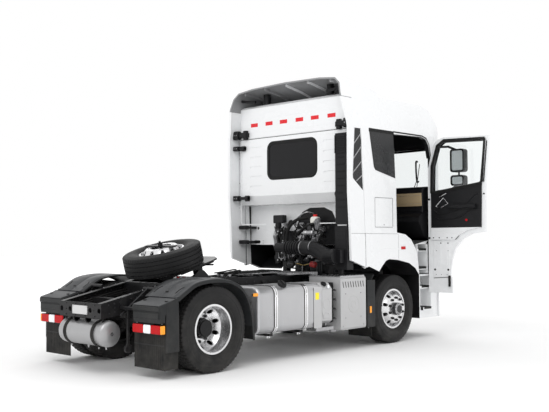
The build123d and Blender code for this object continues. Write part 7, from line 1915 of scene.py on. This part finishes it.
@dataclass
class CabShell:
    """White cab body with its black trim, beads, seals, brackets, steps and glass."""

    bars: tuple = (((-2.716, 2.962), (-2.872, 3.112)), ((-2.700, 2.742), (-2.882, 2.926)),
                   ((-2.688, 2.540), (-2.894, 2.716)), ((-2.770, 2.425), (-2.906, 2.512)))

    def build(self) -> None:
        """Dresses the shell nodes and adds everything fixed to their outside."""
        self.shell()
        self.rear_wall()
        self.glass()
        self.fairings()
        self.roof()
        self.intake()
        self.mirrors()
        self.side_details()

    def shell(self) -> None:
        """Face finishes of walls, floor, roof, front and bumper: outside paint, inside trim."""
        def inner(c: Array, n: Array) -> Array:
            """Faces turned towards the cabin."""
            towards = np.einsum("ij,ij->i", n, c - np.array((0.0, -3.9, 2.4))) < 0
            return towards & (c[:, 2] > 1.45) & ((c[:, 1] < -3.06) | (c[:, 2] > 2.10))

        def arch(c: Array, n: Array) -> Array:
            """Faces under the cab and round the wheel arch that stay black."""
            under = (n[:, 2] < -0.3) & (c[:, 2] < 1.60)
            return under | ((np.abs(c[:, 0]) < CAB_HALF - 0.03) & (c[:, 2] < 1.62) & (c[:, 1] < -2.62))

        dress_node("cab_sides", (WHITE, None), (BLACK_PLASTIC, arch), (CABIN, inner))
        dress_node("cab_roof", (WHITE, None), (CABIN, inner))
        dress_node("cab_front", (WHITE, None), (BLACK_PLASTIC,
                lambda c, n: (n[:, 1] > 0.2) & (c[:, 2] < 1.9)), (CABIN, inner))
        reveal = inside((0.0, -2.90, 2.50), (0.535, CAB_REAR_Y - 0.0005, 3.15))
        dress_node("cab_rear_wall", (WHITE, None), (CABIN, lambda c, n: n[:, 1] < -0.3),
                   (RUBBER, lambda c, n: reveal(c, n) & (np.abs(n[:, 1]) < 0.7)))
        well = inside((0.95, -4.705, 1.0), (1.19, -4.375, 1.555))
        dress_node("cab_floor", (CABIN, None), (BLACK_PLASTIC, lambda c, n: c[:, 2] < 1.50), (WHITE, well))
        dress_node("bumper", (WHITE, None),
                   (BLACK_PLASTIC, lambda c, n: (np.abs(c[:, 0]) < 0.94) & (n[:, 1] > -0.5)),
                   (BLACK_PLASTIC, lambda c, n: (c[:, 1] > -5.02) & (np.abs(c[:, 0]) < 0.93)),
                   (BLACK_PLASTIC, lambda c, n: (c[:, 1] > -4.60) & (n[:, 1] > 0.7)))
        finish_node("tow_jaw", FRAME_BLACK)

    def rear_wall(self) -> None:
        """Raised frame beads, seams, window seal and pane, bolts, plugs and ovals of the rear wall."""
        y = CAB_REAR_Y
        parts = Parts()
        for s in SIDES:
            loop = [(0.56, 3.155), (1.075, 3.155), (1.11, 3.12), (1.11, 1.86), (1.075, 1.825), (0.56, 1.825)]
            parts.add(0, strip([(s * x, y - 0.0015, z) for x, z in loop], 0.014, 0.006, Y_AXIS))
        parts.add(1, block((-1.150, y - 0.001, 3.196), (1.150, y + 0.0012, 3.203), 0.0006, "xz"))
        for z in (3.30, 3.52):
            parts.add(0, strip([(-1.05, y - 0.0015, z), (1.05, y - 0.0015, z)], 0.012, 0.006, Y_AXIS))
        seal = [(x, z) for x, z in rounded(0.990, 0.560, 0.10, 6) + (0.0, 2.825)]
        parts.add(1, strip([(x, y - 0.001, z) for x, z in seal], 0.052, 0.010, Y_AXIS, True))
        # gloss black pane in the window opening: painted shade of the cabin behind the glass, with the
        # glass's tint
        pane = slab(rounded(0.985, 0.555, 0.09, 6) + (0.0, 2.825), y - 0.010, y - 0.003, "xz", 0.001)
        parts.add(2, pane)
        for s in SIDES:
            spots = [(s * 1.145, y - 0.002, z) for z in (1.75, 2.1, 2.5, 2.9, 3.15)]
            parts.add(3, bolts(spots, 0.007, 0.004, Y_AXIS))
            plug = lathe([(0, 0), (0.020, 0), (0.022, 0.002), (0.020, 0.004), (0, 0.004)],
                         (s * 0.72, y - 0.002, 1.765), Y_AXIS, 16)
            parts.add(1, plug)
        low = LOWER_REAR_Y
        for s in SIDES:
            oval = slab(rounded(0.150, 0.052, 0.025, 6) + (s * 1.035, 1.545),
                        low - 0.001, low + 0.001, "xz", 0.0006)
            parts.add(1, oval)
            dots = [(s * x, low - 0.001, 1.545 + dz) for x in (0.90, 1.165) for dz in (-0.02, 0.02)]
            parts.add(1, bolts(dots, 0.006, 0.002, Y_AXIS))
        add_mixed("rear_wall_details", (WHITE, RUBBER, GLOSS_BLACK, STEEL), "cab", *parts)

    def glass(self) -> None:
        """Clear windscreen with its black border and wipers, and the dark rear pane."""
        # the rear pane's dark glass lets no light through: painted shade of the cabin behind it, with the
        # glass's tint
        dress_node("cab_glass", (CLEAR, None), (DARK_GLASS, lambda c, n: c[:, 1] > -3.5))
        parts = Parts()
        border = [(-1.055, 2.02), (1.055, 2.02), (1.00, 3.02), (0.93, 3.075), (-0.93, 3.075), (-1.00, 3.02)]
        border = [(x, self.front_y(x), z) for x, z in border]
        spread = []
        for index in range(len(border)):
            a, b = np.array(border[index]), np.array(border[(index + 1) % len(border)])
            for t in np.linspace(0, 1, 10)[:-1]:
                p = a + (b - a) * t
                spread.append((p[0], self.front_y(p[0]) + 0.012, p[2]))
        parts.add(0, strip(spread, 0.050, 0.006, Y_AXIS, True))
        for x in (-0.42, 0.42):
            base = np.array((x, self.front_y(x) + 0.002, 1.985))
            tip = np.array((x - 0.30, self.front_y(x - 0.30) + 0.004, 2.62))
            arm = [base, base + (0.0, 0.004, 0.05), (base + tip) / 2 + (0, 0.008, 0), tip]
            parts.add(0, hose(arm, 0.007, Y_AXIS, 8))
            blade = [(p[0], self.front_y(p[0]) + 0.006, p[2])
                     for p in (tip + (0.05, 0, -0.33), tip, tip + (-0.04, 0, 0.22))]
            parts.add(0, strip(blade, 0.012, 0.010, Y_AXIS))
            parts.add(0, lathe([(0, 0), (0.020, 0), (0.020, 0.012), (0, 0.016)],
                               base + (0, 0.012, 0), (0, -1, 0.2), 14))
        add_mixed("screen_border", (GLOSS_BLACK,), "cab", *parts)

    def front_y(self, x: float) -> float:
        """Place of the windscreen's outer face at a distance from the truck's middle."""
        t = abs(x) / 1.06
        return -5.180 + 0.072 * t * t

    def fairings(self) -> None:
        """Side fairings with their dark grille, bars, seams and black brackets."""
        dress_node("side_fairings", (WHITE, None), (BLACK_PLASTIC,
                lambda c, n: (np.abs(c[:, 0]) < 1.19) & (c[:, 2] < 3.36)))
        parts = Parts()
        for s in SIDES:
            x = s * 1.2335
            side = [(-2.735, 3.190), (-2.885, 3.202), (-2.935, 2.262), (-2.693, 2.462), (-2.688, 2.505)]
            parts.add(0, slab(side, x, x + s * 0.0045, "yz", 0.001))
            bead = [(x + s * 0.003, a, b) for a, b in side]
            parts.add(1, tube(bead, 0.0055, X_AXIS, True))
            for (a, b), (c, d) in self.bars:
                parts.add(1, strip([(x + s * 0.006, a, b), (x + s * 0.006, c, d)], 0.016, 0.006, X_AXIS))
            for z, tall, near in ((3.275, 0.140, 0.93), (3.060, 0.075, 0.98), (2.250, 0.085, 0.90)):
                a, b, far = s * near, s * (near + 0.07), s * 1.203
                parts += [(2, block((a, -2.752, z - tall * 0.28), (far, -2.680, z + tall * 0.28), 0.010)),
                          (2, block((s * 1.09, -2.750, z - tall / 2), (far, -2.655, z + tall / 2), 0.014)),
                          (2, block((a, -2.7545, z - tall * 0.6), (b, -2.690, z + tall * 0.5), 0.012)),
                          (3, bolts([(s * 1.12, -2.656, z), (s * 1.17, -2.656, z)], 0.007, 0.005, Y_AXIS))]
            for z in (1.780, 1.545):
                parts += [(2, block((s * 1.04, -2.875, z - 0.032), (s * 1.203, -2.785, z + 0.032), 0.012)),
                          (2, lathe([(0, -0.03), (0.045, -0.028), (0.045, 0.028), (0, 0.03)],
                        (s * 1.10, -2.83, z), Z_AXIS, 20))]
        add_mixed("fairing_details", (QUARTER_GREY, STEEL, BLACK_PLASTIC, STEEL), "cab", *parts)

    def roof(self) -> None:
        """Deflector: white outside, grey inside, with posts and edge seal."""
        def hollow(c: Array, n: Array) -> Array:
            """Faces of the deflector turned to the rear, down or inwards."""
            return (n[:, 1] > 0.30) | (n[:, 2] < -0.15) | (n[:, 0] * np.sign(c[:, 0]) < -0.3)

        dress_node("roof_deflector", (WHITE, None), (DEFLECTOR_GREY, hollow))
        parts = Parts()
        for s in SIDES:
            sleeve = [(0, 3.744), (0.085, 3.744), (0.085, 3.760),
                      (0.058, 3.765), (0.056, 3.900), (0.060, 3.905), (0.060, 3.914), (0, 3.914)]
            parts.add(0, lathe(sleeve, (s * 0.66, -2.910, 0), Z_AXIS, 28))
            parts.add(0, hose([(s * 1.04, -2.715, 3.825),
                               (s * 0.90, -2.715, 3.800), (s * 0.74, -2.72, 3.785)], 0.022, Y_AXIS, 10))
            parts.add(1, bolts([(s * 0.66 + a, -2.910, 3.760) for a in (-0.07, 0.07)], 0.009, 0.006, Z_AXIS))
        add_mixed("roof_details", (BLACK_PLASTIC, STEEL), "cab", *parts)

    def intake(self) -> None:
        """Black intake stack with mould ribs and a grille."""
        dress_node("cab_intake", (BLACK_PLASTIC, None))
        low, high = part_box("cab_intake")
        low, high = np.array(low) - ROW, np.array(high) - ROW
        parts = Parts()
        mid = (low + high) / 2
        for z in np.linspace(low[2] + 0.25, high[2] - 0.25, 9):
            bar = block((mid[0] - 0.08, high[1] - 0.006, z),
                        (mid[0] + 0.08, high[1] - 0.0005, z + 0.008), 0.002)
            parts.add(0, bar)
        add_mixed("intake_ribs", (BLACK_PLASTIC,), "cab", *parts)

    def mirrors(self) -> None:
        """Mirror housings with panes of painted reflection and a seam round each."""
        dress_node("mirrors", (BLACK_PLASTIC, None))
        parts = []
        for s in SIDES:
            for width, z0, z1 in ((0.206, 2.672, 2.998), (0.196, 2.452, 2.578)):
                middle = (s * 1.600, (z0 + z1) / 2)
                # pane: its pale colour is painted reflection
                face = slab(rounded(width, z1 - z0, 0.03, 4) + middle, -4.9358, -4.9330, "xz", 0.0008)
                rim = [(x, -4.9325, z) for x, z in rounded(width - 0.006, z1 - z0 - 0.006, 0.028, 4) + middle]
                parts += [(0, face), (1, strip(rim, 0.006, 0.0024, Y_AXIS, True))]
        add_mixed("mirror_panes", (MIRROR, RUBBER), "cab", *parts)

    def side_details(self) -> None:
        """Roof-side trim over the doors, quarter panel, locker outline, arch lips and step treads."""
        parts = Parts()
        for s in SIDES:
            x = s * (CAB_HALF + 0.0015)
            quarter = [(-3.080, 3.218), (-3.685, 3.200), (-3.725, 2.512), (-3.228, 2.612), (-3.195, 2.652)]
            parts.add(0, slab(quarter, x, x - s * 0.004, "yz", 0.001))
            parts.add(1, tube([(x - s * 0.001, a, b) for a, b in quarter], 0.0035, X_AXIS, True))
            locker = [(-3.205, 1.775), (-3.205, 2.190), (-3.218, 2.202),
                      (-3.643, 2.202), (-3.656, 2.190), (-3.656, 1.775), (-3.643, 1.762), (-3.218, 1.762)]
            parts.add(1, tube([(s * (CAB_HALF - 0.0008), a, b) for a, b in locker], 0.0026, X_AXIS, True))
            edge = s * (CAB_HALF - 0.0008)
            seams = ([(-2.640, 1.670), (-3.785, 1.662)],
                     [(-2.975, 1.668), (-2.970, 1.185)], [(-3.798, 1.655), (-3.800, 1.285)])
            parts += [(1, tube([(edge, a, b) for a, b in seam], 0.0022)) for seam in seams]
            flare = smooth_path([(edge, a, b) for a, b in ((-3.130, 1.235),
                    (-3.185, 1.330), (-3.374, 1.442), (-3.808, 1.434), (-4.10, 1.372), (-4.285, 1.295))], 6)
            parts.add(3, sweep(flare, rounded(0.016, 0.0045, 0.002, 2), X_AXIS))
            parts.add(1, block((s * 1.2435, -3.700, 3.172), (s * 1.2482, -3.070, 3.222), 0.002))
            gutter = [(s * 1.2458, a, b) for a, b in ((-3.690, 3.216),
                    (-4.470, 3.218), (-4.592, 3.188), (-4.667, 3.097), (-4.765, 2.706), (-4.765, 1.72))]
            parts.add(1, strip(gutter, 0.022, 0.005, X_AXIS))
            spots = [(s * (CAB_HALF - 0.001), -3.43, 1.80)]
            parts.add(2, bolts(spots, 0.012, 0.003, (s, 0, 0)))
        add_mixed("side_panels", (QUARTER_GREY, RUBBER, STEEL, WHITE), "cab", *parts)
        self.treads()

    def treads(self) -> None:
        """Black ridged pads on the four steps each side, and the black plates behind the lower steps."""
        for name, body, levels in (("upper", "cab", (1.426, 1.138)), ("lower", "chassis", (0.837, 0.500))):
            parts = Parts()
            for s in SIDES:
                for z in levels:
                    a, b = sorted((s * 0.990, s * (1.226 if z < 0.6 else 1.183)))
                    front = -4.735 if body == "chassis" else -4.672
                    rear = -4.486 if body == "chassis" else -4.410
                    parts.add(0, block((a, front, z - 0.001), (b, rear, z + 0.0025), 0.004, "xy", 0.001))
                    out = s * (1.2305 if z < 0.6 else 1.1855)
                    parts.add(0, block((out, front + 0.02, z - 0.030),
                            (out - s * 0.01, rear - 0.02, z + 0.001), 0.001))
                    for y in np.arange(front + 0.012, rear - 0.014, 0.030):
                        parts.add(0, block((a + 0.01, y, z + 0.002),
                                (b - 0.01, y + 0.012, z + 0.0065), 0.001, "xy"))
            if body == "chassis":
                parts += [(1, block((s * 0.47, -4.470, 0.42), (s * 0.957, -4.462, 1.10), 0.003, "xz"))
                          for s in SIDES]
            add_mixed(f"{name}_treads", (RUBBER, BLACK_PLASTIC), body, *parts)


# ---------------------------------------------------------------- doors and lid
@dataclass
class Door:
    """Door with black window surround, seals, handle, chrome pocket and a white skirt with ribs."""

    side: int
    opened: float
    window: tuple[tuple[float, float], ...] = (
        (-4.647, 2.330), (-4.637, 2.740), (-4.542, 3.050), (-4.442, 3.120), (-3.775, 3.100), (-3.830, 2.480),
        (-3.860, 2.450))

    def hung(self, skin: Skin) -> Skin:
        """Turns a piece made for the closed left door to this door's place and angle."""
        flipped = skin if self.side > 0 else skin.mirrored()
        if not self.opened:
            return flipped
        pivot = (self.side * DOOR_PIVOT[0], DOOR_PIVOT[1], DOOR_PIVOT[2])
        return flipped.turned(-self.side * self.opened, Z_AXIS, pivot)

    def build(self) -> None:
        """Dresses the door's nodes and hangs its details."""
        name = "left" if self.side > 0 else "right"
        body = f"{name}_door"
        pivot = np.array((self.side * DOOR_PIVOT[0], DOOR_PIVOT[1], 0.0))
        turn = turn_matrix(self.side * self.opened, Z_AXIS)

        def local(c: Array, n: Array) -> tuple[Array, Array]:
            """Face centres and normals as if the door were closed and on the left."""
            p = (c - pivot) @ turn.T + pivot
            q = n @ turn.T
            return p * (self.side, 1, 1), q * (self.side, 1, 1)

        def seal(c: Array, n: Array) -> Array:
            """Narrow faces round the window."""
            p, q = local(c, n)
            hole = (p[:, 1] > -4.66) & (p[:, 1] < -3.768) & (p[:, 2] > 2.32) & (p[:, 2] < 3.13)
            return hole & (p[:, 0] < 1.2405) & (np.abs(q[:, 0]) < 0.7)

        dress_node(f"door_{name}", (WHITE, None), (RUBBER, seal))
        dress_node(f"door_trim_{name}", (BLACK_PLASTIC, None))
        dress_node(f"door_glass_{name}", (CLEAR, None))
        self.outside(name, body)
        self.inside_trim(name, body)

    def outside(self, name: str, body: str) -> None:
        """Window bead, handle recess and skirt ribs of the outside."""
        x = CAB_HALF + 0.0002
        parts = Parts([(0, strip([(x - 0.002, a, b) for a, b in self.window], 0.020, 0.006, X_AXIS, True))])
        parts.add(1, block((x - 0.0165, -4.038, 1.817), (x - 0.0150, -3.832, 1.893), 0.0006, "yz"))
        for z in (1.40, 1.36):
            parts.add(2, strip([(x - 0.001, -4.72, z), (x - 0.001, -4.40, z)], 0.006, 0.003, X_AXIS))
        add_mixed(f"door_{name}_outside", (RUBBER, BLACK_PLASTIC, WHITE),
                  body, *[(m, self.hung(s)) for m, s in parts])

    def inside_trim(self, name: str, body: str) -> None:
        """Inner side: window seal, opener, pocket rim, mould lines, edge rubbers, skirt ribs, a painted
        shadow line under the skirt panel, and holes.
        """
        middle = np.mean(self.window, axis=0)
        ring = [(1.1640, *(middle + (np.array(p) - middle) * 1.045)) for p in self.window]
        parts = Parts([(0, strip(ring, 0.044, 0.012, X_AXIS, True))])
        face = 1.1660
        pocket = [(-4.59, 2.10), (-4.46, 2.23), (-4.38, 2.14), (-4.53, 2.065)]
        parts.add(1, tube([(face, a, b) for a, b in pocket], 0.007, X_AXIS, True))
        parts.add(1, strip([(face, -4.53, 2.252), (face, -4.41, 2.305)], 0.022, 0.014, X_AXIS))
        upper = [(-4.62, 2.04), (-4.50, 1.975), (-4.30, 2.00), (-4.10, 2.10), (-3.95, 2.24), (-3.87, 2.28)]
        lower = [(-4.60, 1.93), (-4.45, 1.885), (-4.20, 1.915), (-4.02, 2.02), (-3.88, 2.05)]
        for line in (upper, lower):
            parts.add(4, hose([(face, a, b) for a, b in line], 0.007, X_AXIS, 8))
        parts.add(3, lathe([(0, 0), (0.018, 0), (0.018, 0.002), (0, 0.0025)],
                           (1.1668, -4.07, 1.875), (-1, 0, 0), 18))
        for a, b in (((-3.727, 3.09), (-3.785, 2.46)), ((-4.46, 3.160), (-3.76, 3.146))):
            parts.add(0, strip([(1.1915, *a), (1.1915, *b)], 0.014, 0.010, X_AXIS))
        parts.add(0, block((1.187, -3.80, 2.265), (1.1960, -3.772, 2.285), 0.002))
        lower = [(-4.681, 1.566), (-4.681, 1.757), (-3.824, 1.761),
                 (-4.046, 1.718), (-4.204, 1.636), (-4.275, 1.566)]
        parts.add(5, slab(lower, 1.1640, 1.1960, "yz", 0.002))
        for z in (1.705, 1.672):
            parts.add(5, strip([(1.1640, -4.66, z), (1.1640, -4.16, z)], 0.010, 0.005, X_AXIS))
        panel = [(-4.660, 0.965), (-4.660, 1.560), (-4.395, 1.560), (-4.372, 1.300), (-4.380, 0.985)]
        parts.add(5, slab(panel, 1.1900, 1.1965, "yz", 0.003))
        # dark strip along the raised panel's lower edge, in the dark steel finish: a painted shadow line
        # under the panel
        parts.add(2, strip([(1.1930, -4.655, 0.958), (1.1930, -4.385, 0.978)], 0.008, 0.006, X_AXIS))
        parts += [(5, block((1.1882, y, 1.13), (1.1915, y + 0.045, 1.50), 0.0015)) for y in (-4.575, -4.455)]
        holes = [(y, 1.600, 0.010) for y in (-4.638, -4.537, -4.40, -4.318)]
        holes += [(-4.525, 1.514, 0.011), (-4.400, 1.514, 0.011)]
        holes += [(-4.60, 1.395, 0.006), (-4.40, 1.395, 0.006), (-4.63, 1.095, 0.017), (-4.40, 1.095, 0.017)]
        holes += [(y, 1.015, 0.006) for y in (-4.61, -4.52, -4.42)]
        for y, z, r in holes:
            depth = 1.1640 if z > 1.566 else 1.1900
            parts.add(0, lathe([(0, 0), (r, 0), (r, 0.001), (0, 0.0015)], (depth, y, z), (-1, 0, 0), 14))
        parts.add(0, block((1.166, -4.392, 0.830), (1.1960, -4.360, 1.005), 0.006))
        finishes = (RUBBER, CHROME, DARK_STEEL, RED_LENS, BLACK_PLASTIC, WHITE)
        add_mixed(f"door_{name}_inside", finishes, body, *[(m, self.hung(s)) for m, s in parts])


@dataclass
class FrontLid:
    """Front service lid with a dark grille set into its slots."""

    slots: int = 8
    first: float = 1.010
    pitch: float = 0.088
    height: float = 0.052
    half: float = 0.640

    def build(self) -> None:
        """Dresses the lid and sets a curved backing with upright bars into each slot."""
        dress_node("front_lid", (WHITE, None), (GLOSS_BLACK, lambda c, n: n[:, 1] > 0.4))
        skin = node_skin("front_lid").points
        parts = Parts()
        for k in range(self.slots):
            z = self.first + self.pitch * k
            rim = skin[(np.abs(skin[:, 2] - z) < 0.002) & (np.abs(skin[:, 0]) < self.half + 0.001)]
            xs = np.unique(np.round(rim[:, 0], 3))
            ys = np.array([rim[np.abs(rim[:, 0] - x) < 0.002, 1].min() for x in xs])
            across = np.linspace(-self.half + 0.006, self.half - 0.006, 25)
            back = np.column_stack((across, np.interp(across, xs, ys) + 0.017,
                    np.full(25, z + self.height / 2)))
            parts.add(0, sweep(back, rounded(self.height - 0.004, 0.004, 0.001, 2), Y_AXIS))
            for x, y, _ in back[1:-1]:
                parts.add(1, block((x - 0.004, y - 0.010, z + 0.003),
                        (x + 0.004, y - 0.001, z + self.height - 0.003), 0.001, "xz"))
        add_mixed("lid_slots", (GLOSS_BLACK, BLACK_PLASTIC), "service_lid", *parts)


# ---------------------------------------------------------------- cabin
@dataclass
class Cabin:
    """Dashboard with vents and a screen, steering wheel grips, pillar handles and padded seats."""

    def build(self) -> None:
        """Makes the driver's place, then the seats."""
        self.dash()
        self.seats()

    def dash(self) -> None:
        """Black dashboard with its high cowl, tan panel, screen and vents, wheel grips and pillar handles."""
        wheel = inside((0.26, -4.76, 1.98), (0.84, -4.34, 2.40))
        dress_node("dashboard", (CABIN, None), (BLACK_PLASTIC, lambda c, n: (c[:, 2] > 1.90)),
                   (BLACK_PLASTIC, wheel))
        tilt = turn_matrix(-40, X_AXIS)
        centre = np.array((0.550, -4.560, 2.130))
        parts = Parts()
        a = np.linspace(0, 2 * np.pi, 49)
        ring = np.column_stack((0.232 * np.cos(a), 0.232 * np.sin(a), np.zeros(49))) @ tilt.T + centre
        for low, high in ((4, 10), (15, 21)):
            parts.add(0, sweep(ring[low:high], circle(0.0162, 12), tuple(tilt @ Z_AXIS)))
        badge = lathe([(0, 0), (0.040, 0), (0.044, 0.004), (0.036, 0.010), (0, 0.012)],
                      centre + tilt @ np.array((0, 0, 0.018)), tilt @ np.array(Z_AXIS), 32)
        parts.add(1, badge)
        for x in (-0.95, -0.62, 0.98):
            for k in range(5):
                parts.add(1, block((x - 0.07, -4.545, 1.885 + 0.012 * k),
                        (x + 0.07, -4.520, 1.891 + 0.012 * k), 0.002))
        parts.add(2, slab(rounded(0.22, 0.12, 0.012, 3) + (-0.02, 1.90), -4.530, -4.515, "xz", 0.002))
        cowl = [(-5.020, 1.990), (-5.030, 2.300), (-4.960, 2.405),
                (-4.800, 2.432), (-4.690, 2.420), (-4.640, 2.360), (-4.640, 2.010)]
        parts.add(1, slab(cowl, -1.130, 0.200, "yz", 0.012))
        hood = [(-5.020, 1.990), (-5.030, 2.300), (-4.980, 2.380),
                (-4.880, 2.392), (-4.830, 2.360), (-4.830, 2.010)]
        parts.add(1, slab(hood, 0.196, 1.130, "yz", 0.012))
        parts.add(3, slab([(-4.642, 2.115), (-4.642, 2.318), (-4.632, 2.322),
                           (-4.628, 2.315), (-4.628, 2.118), (-4.632, 2.111)], -1.115, -0.30, "yz", 0.002))
        parts += [(4, block((-1.10, -4.632, z), (-0.32, -4.6265, z + 0.004), 0.001)) for z in (2.150, 2.280)]
        for s in SIDES:
            rail = [(s * 1.12, -4.560, 2.50), (s * 1.085, -4.556, 2.52),
                    (s * 1.085, -4.535, 2.80), (s * 1.12, -4.530, 2.82)]
            parts.add(1, hose(rail, 0.014, Y_AXIS, 10))
        add_mixed("dash_details", (RUBBER, BLACK_PLASTIC, GLOSS_BLACK, CABIN_TAN, STEEL), "cab", *parts)

    def seats(self) -> None:
        """Pedestals and boards, then each padded piece."""
        low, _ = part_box("seats_and_bunk")
        floor = float(low[2] - ROW[2])
        plain = [block((x - 0.08, -4.23, floor), (x + 0.08, -3.95, 1.862), 0.02, "xy") for x in (0.62, -0.62)]
        plain.append(block((-1.10, -3.56, 1.99), (1.10, -3.13, 2.04), 0.008, "yz"))
        plain.append(block((-1.10, -3.56, 2.205), (1.10, -2.862, 2.251), 0.008, "yz"))
        plain += [block((s * 0.46, -3.56, floor), (s * 1.10, -3.53, 2.21), 0.004, "xz") for s in SIDES]
        add_mixed("seat_bases", (CABIN, STEEL), "cab",
                  *[(0, each) for each in plain], replaces=["seats_and_bunk"])
        for name, x in (("left", 0.62), ("right", -0.62)):
            sag = block((x - 0.23, -4.35, 1.86), (x + 0.23, -3.862, 2.00), 0.045, "xy", 0.030)
            back = slab([(-3.898, 1.965), (-3.798, 2.695), (-3.695, 2.695), (-3.762, 1.965)],
                        x - 0.22, x + 0.22, "yz", 0.030)
            head = block((x - 0.13, -3.788, 2.695), (x + 0.13, -3.692, 2.888), 0.035, "xz", 0.025)
            cushioned(f"{name}_seat_cushion", sag, SEAT_CLOTH, 0.009)
            cushioned(f"{name}_seat_back", back, SEAT_CLOTH, 0.009)
            cushioned(f"{name}_headrest", head, SEAT_CLOTH, 0.007)
        mattress = block((-1.098, -3.558, 2.252), (1.098, -2.864, 2.378), 0.04, "xy", 0.030)
        cushioned("bunk_mattress", mattress, BUNK_CLOTH, 0.016)


def cushioned(name: str, skin: Skin, finish: Cloth, voxel: float) -> bpy.types.Object:
    """Remeshes a pad's form evenly and lets a short pressure run round it off.

    Args:
        name: name of the finished piece.
        skin: closed surface of the form.
        finish: its cloth.
        voxel: edge length of the even mesh.

    Returns:
        The finished object with its movement applied. Each point moves by CUSHION_MOVE at most and stays in
        the form's box.
    """
    made = add_piece(name, skin, finish, "cab", angle=60)
    scene = bpy.context.scene
    remesh = made.modifiers.new("even", "REMESH")
    remesh.mode = "VOXEL"
    remesh.voxel_size = voxel
    apply_all(made)
    rest = mesh_points(made.data)
    cloth = made.modifiers.new("cushion", "CLOTH")
    cloth.settings.use_pressure = True
    cloth.settings.uniform_pressure_force = CUSHION_PRESSURE
    cloth.settings.effector_weights.gravity = 0
    for number in range(1, CUSHION_FRAMES + 1):
        scene.frame_set(number)
    apply_all(made)
    move = mesh_points(made.data) - rest
    length = np.maximum(np.linalg.norm(move, axis=1), 1e-9)
    moved = rest + move * (np.minimum(length, CUSHION_MOVE) / length)[:, None]
    made.data.vertices.foreach_set("co", np.clip(moved, rest.min(0), rest.max(0)).ravel())
    made.data.update()
    made.data.shade_smooth()
    scene.frame_set(1)
    LOG.info("%s: cushion pass over %d points, furthest %.1f mm", name, len(rest), 1000 * float(length.max()))
    return made


def apply_all(obj: bpy.types.Object) -> None:
    """Replaces an object's mesh by its evaluated one and drops its modifiers."""
    depsgraph = bpy.context.evaluated_depsgraph_get()
    mesh = bpy.data.meshes.new_from_object(obj.evaluated_get(depsgraph),
            preserve_all_data_layers=True, depsgraph=depsgraph)
    old = obj.data
    obj.modifiers.clear()
    obj.data = mesh
    bpy.data.meshes.remove(old)


# ---------------------------------------------------------------- everything
def main() -> None:
    """Builds each sub-assembly in order and logs it."""
    logging.basicConfig(level=logging.INFO)
    studio = Studio()
    assemblies = (Wheels(), Coupling(), ChassisFrame(), Underbody(), Fenders(), Lamps(), FuelTank(),
                  SideBoxes(), AirTanks(), Deck(), EngineBay(),
                  CabShell(), Door(1, 0.0), Door(-1, DOOR_OPEN), FrontLid(), Cabin())
    for assembly in assemblies:
        LOG.info("building %s", type(assembly).__name__)
        assembly.build()
    studio.build()


if __name__ == "__main__":
    main()
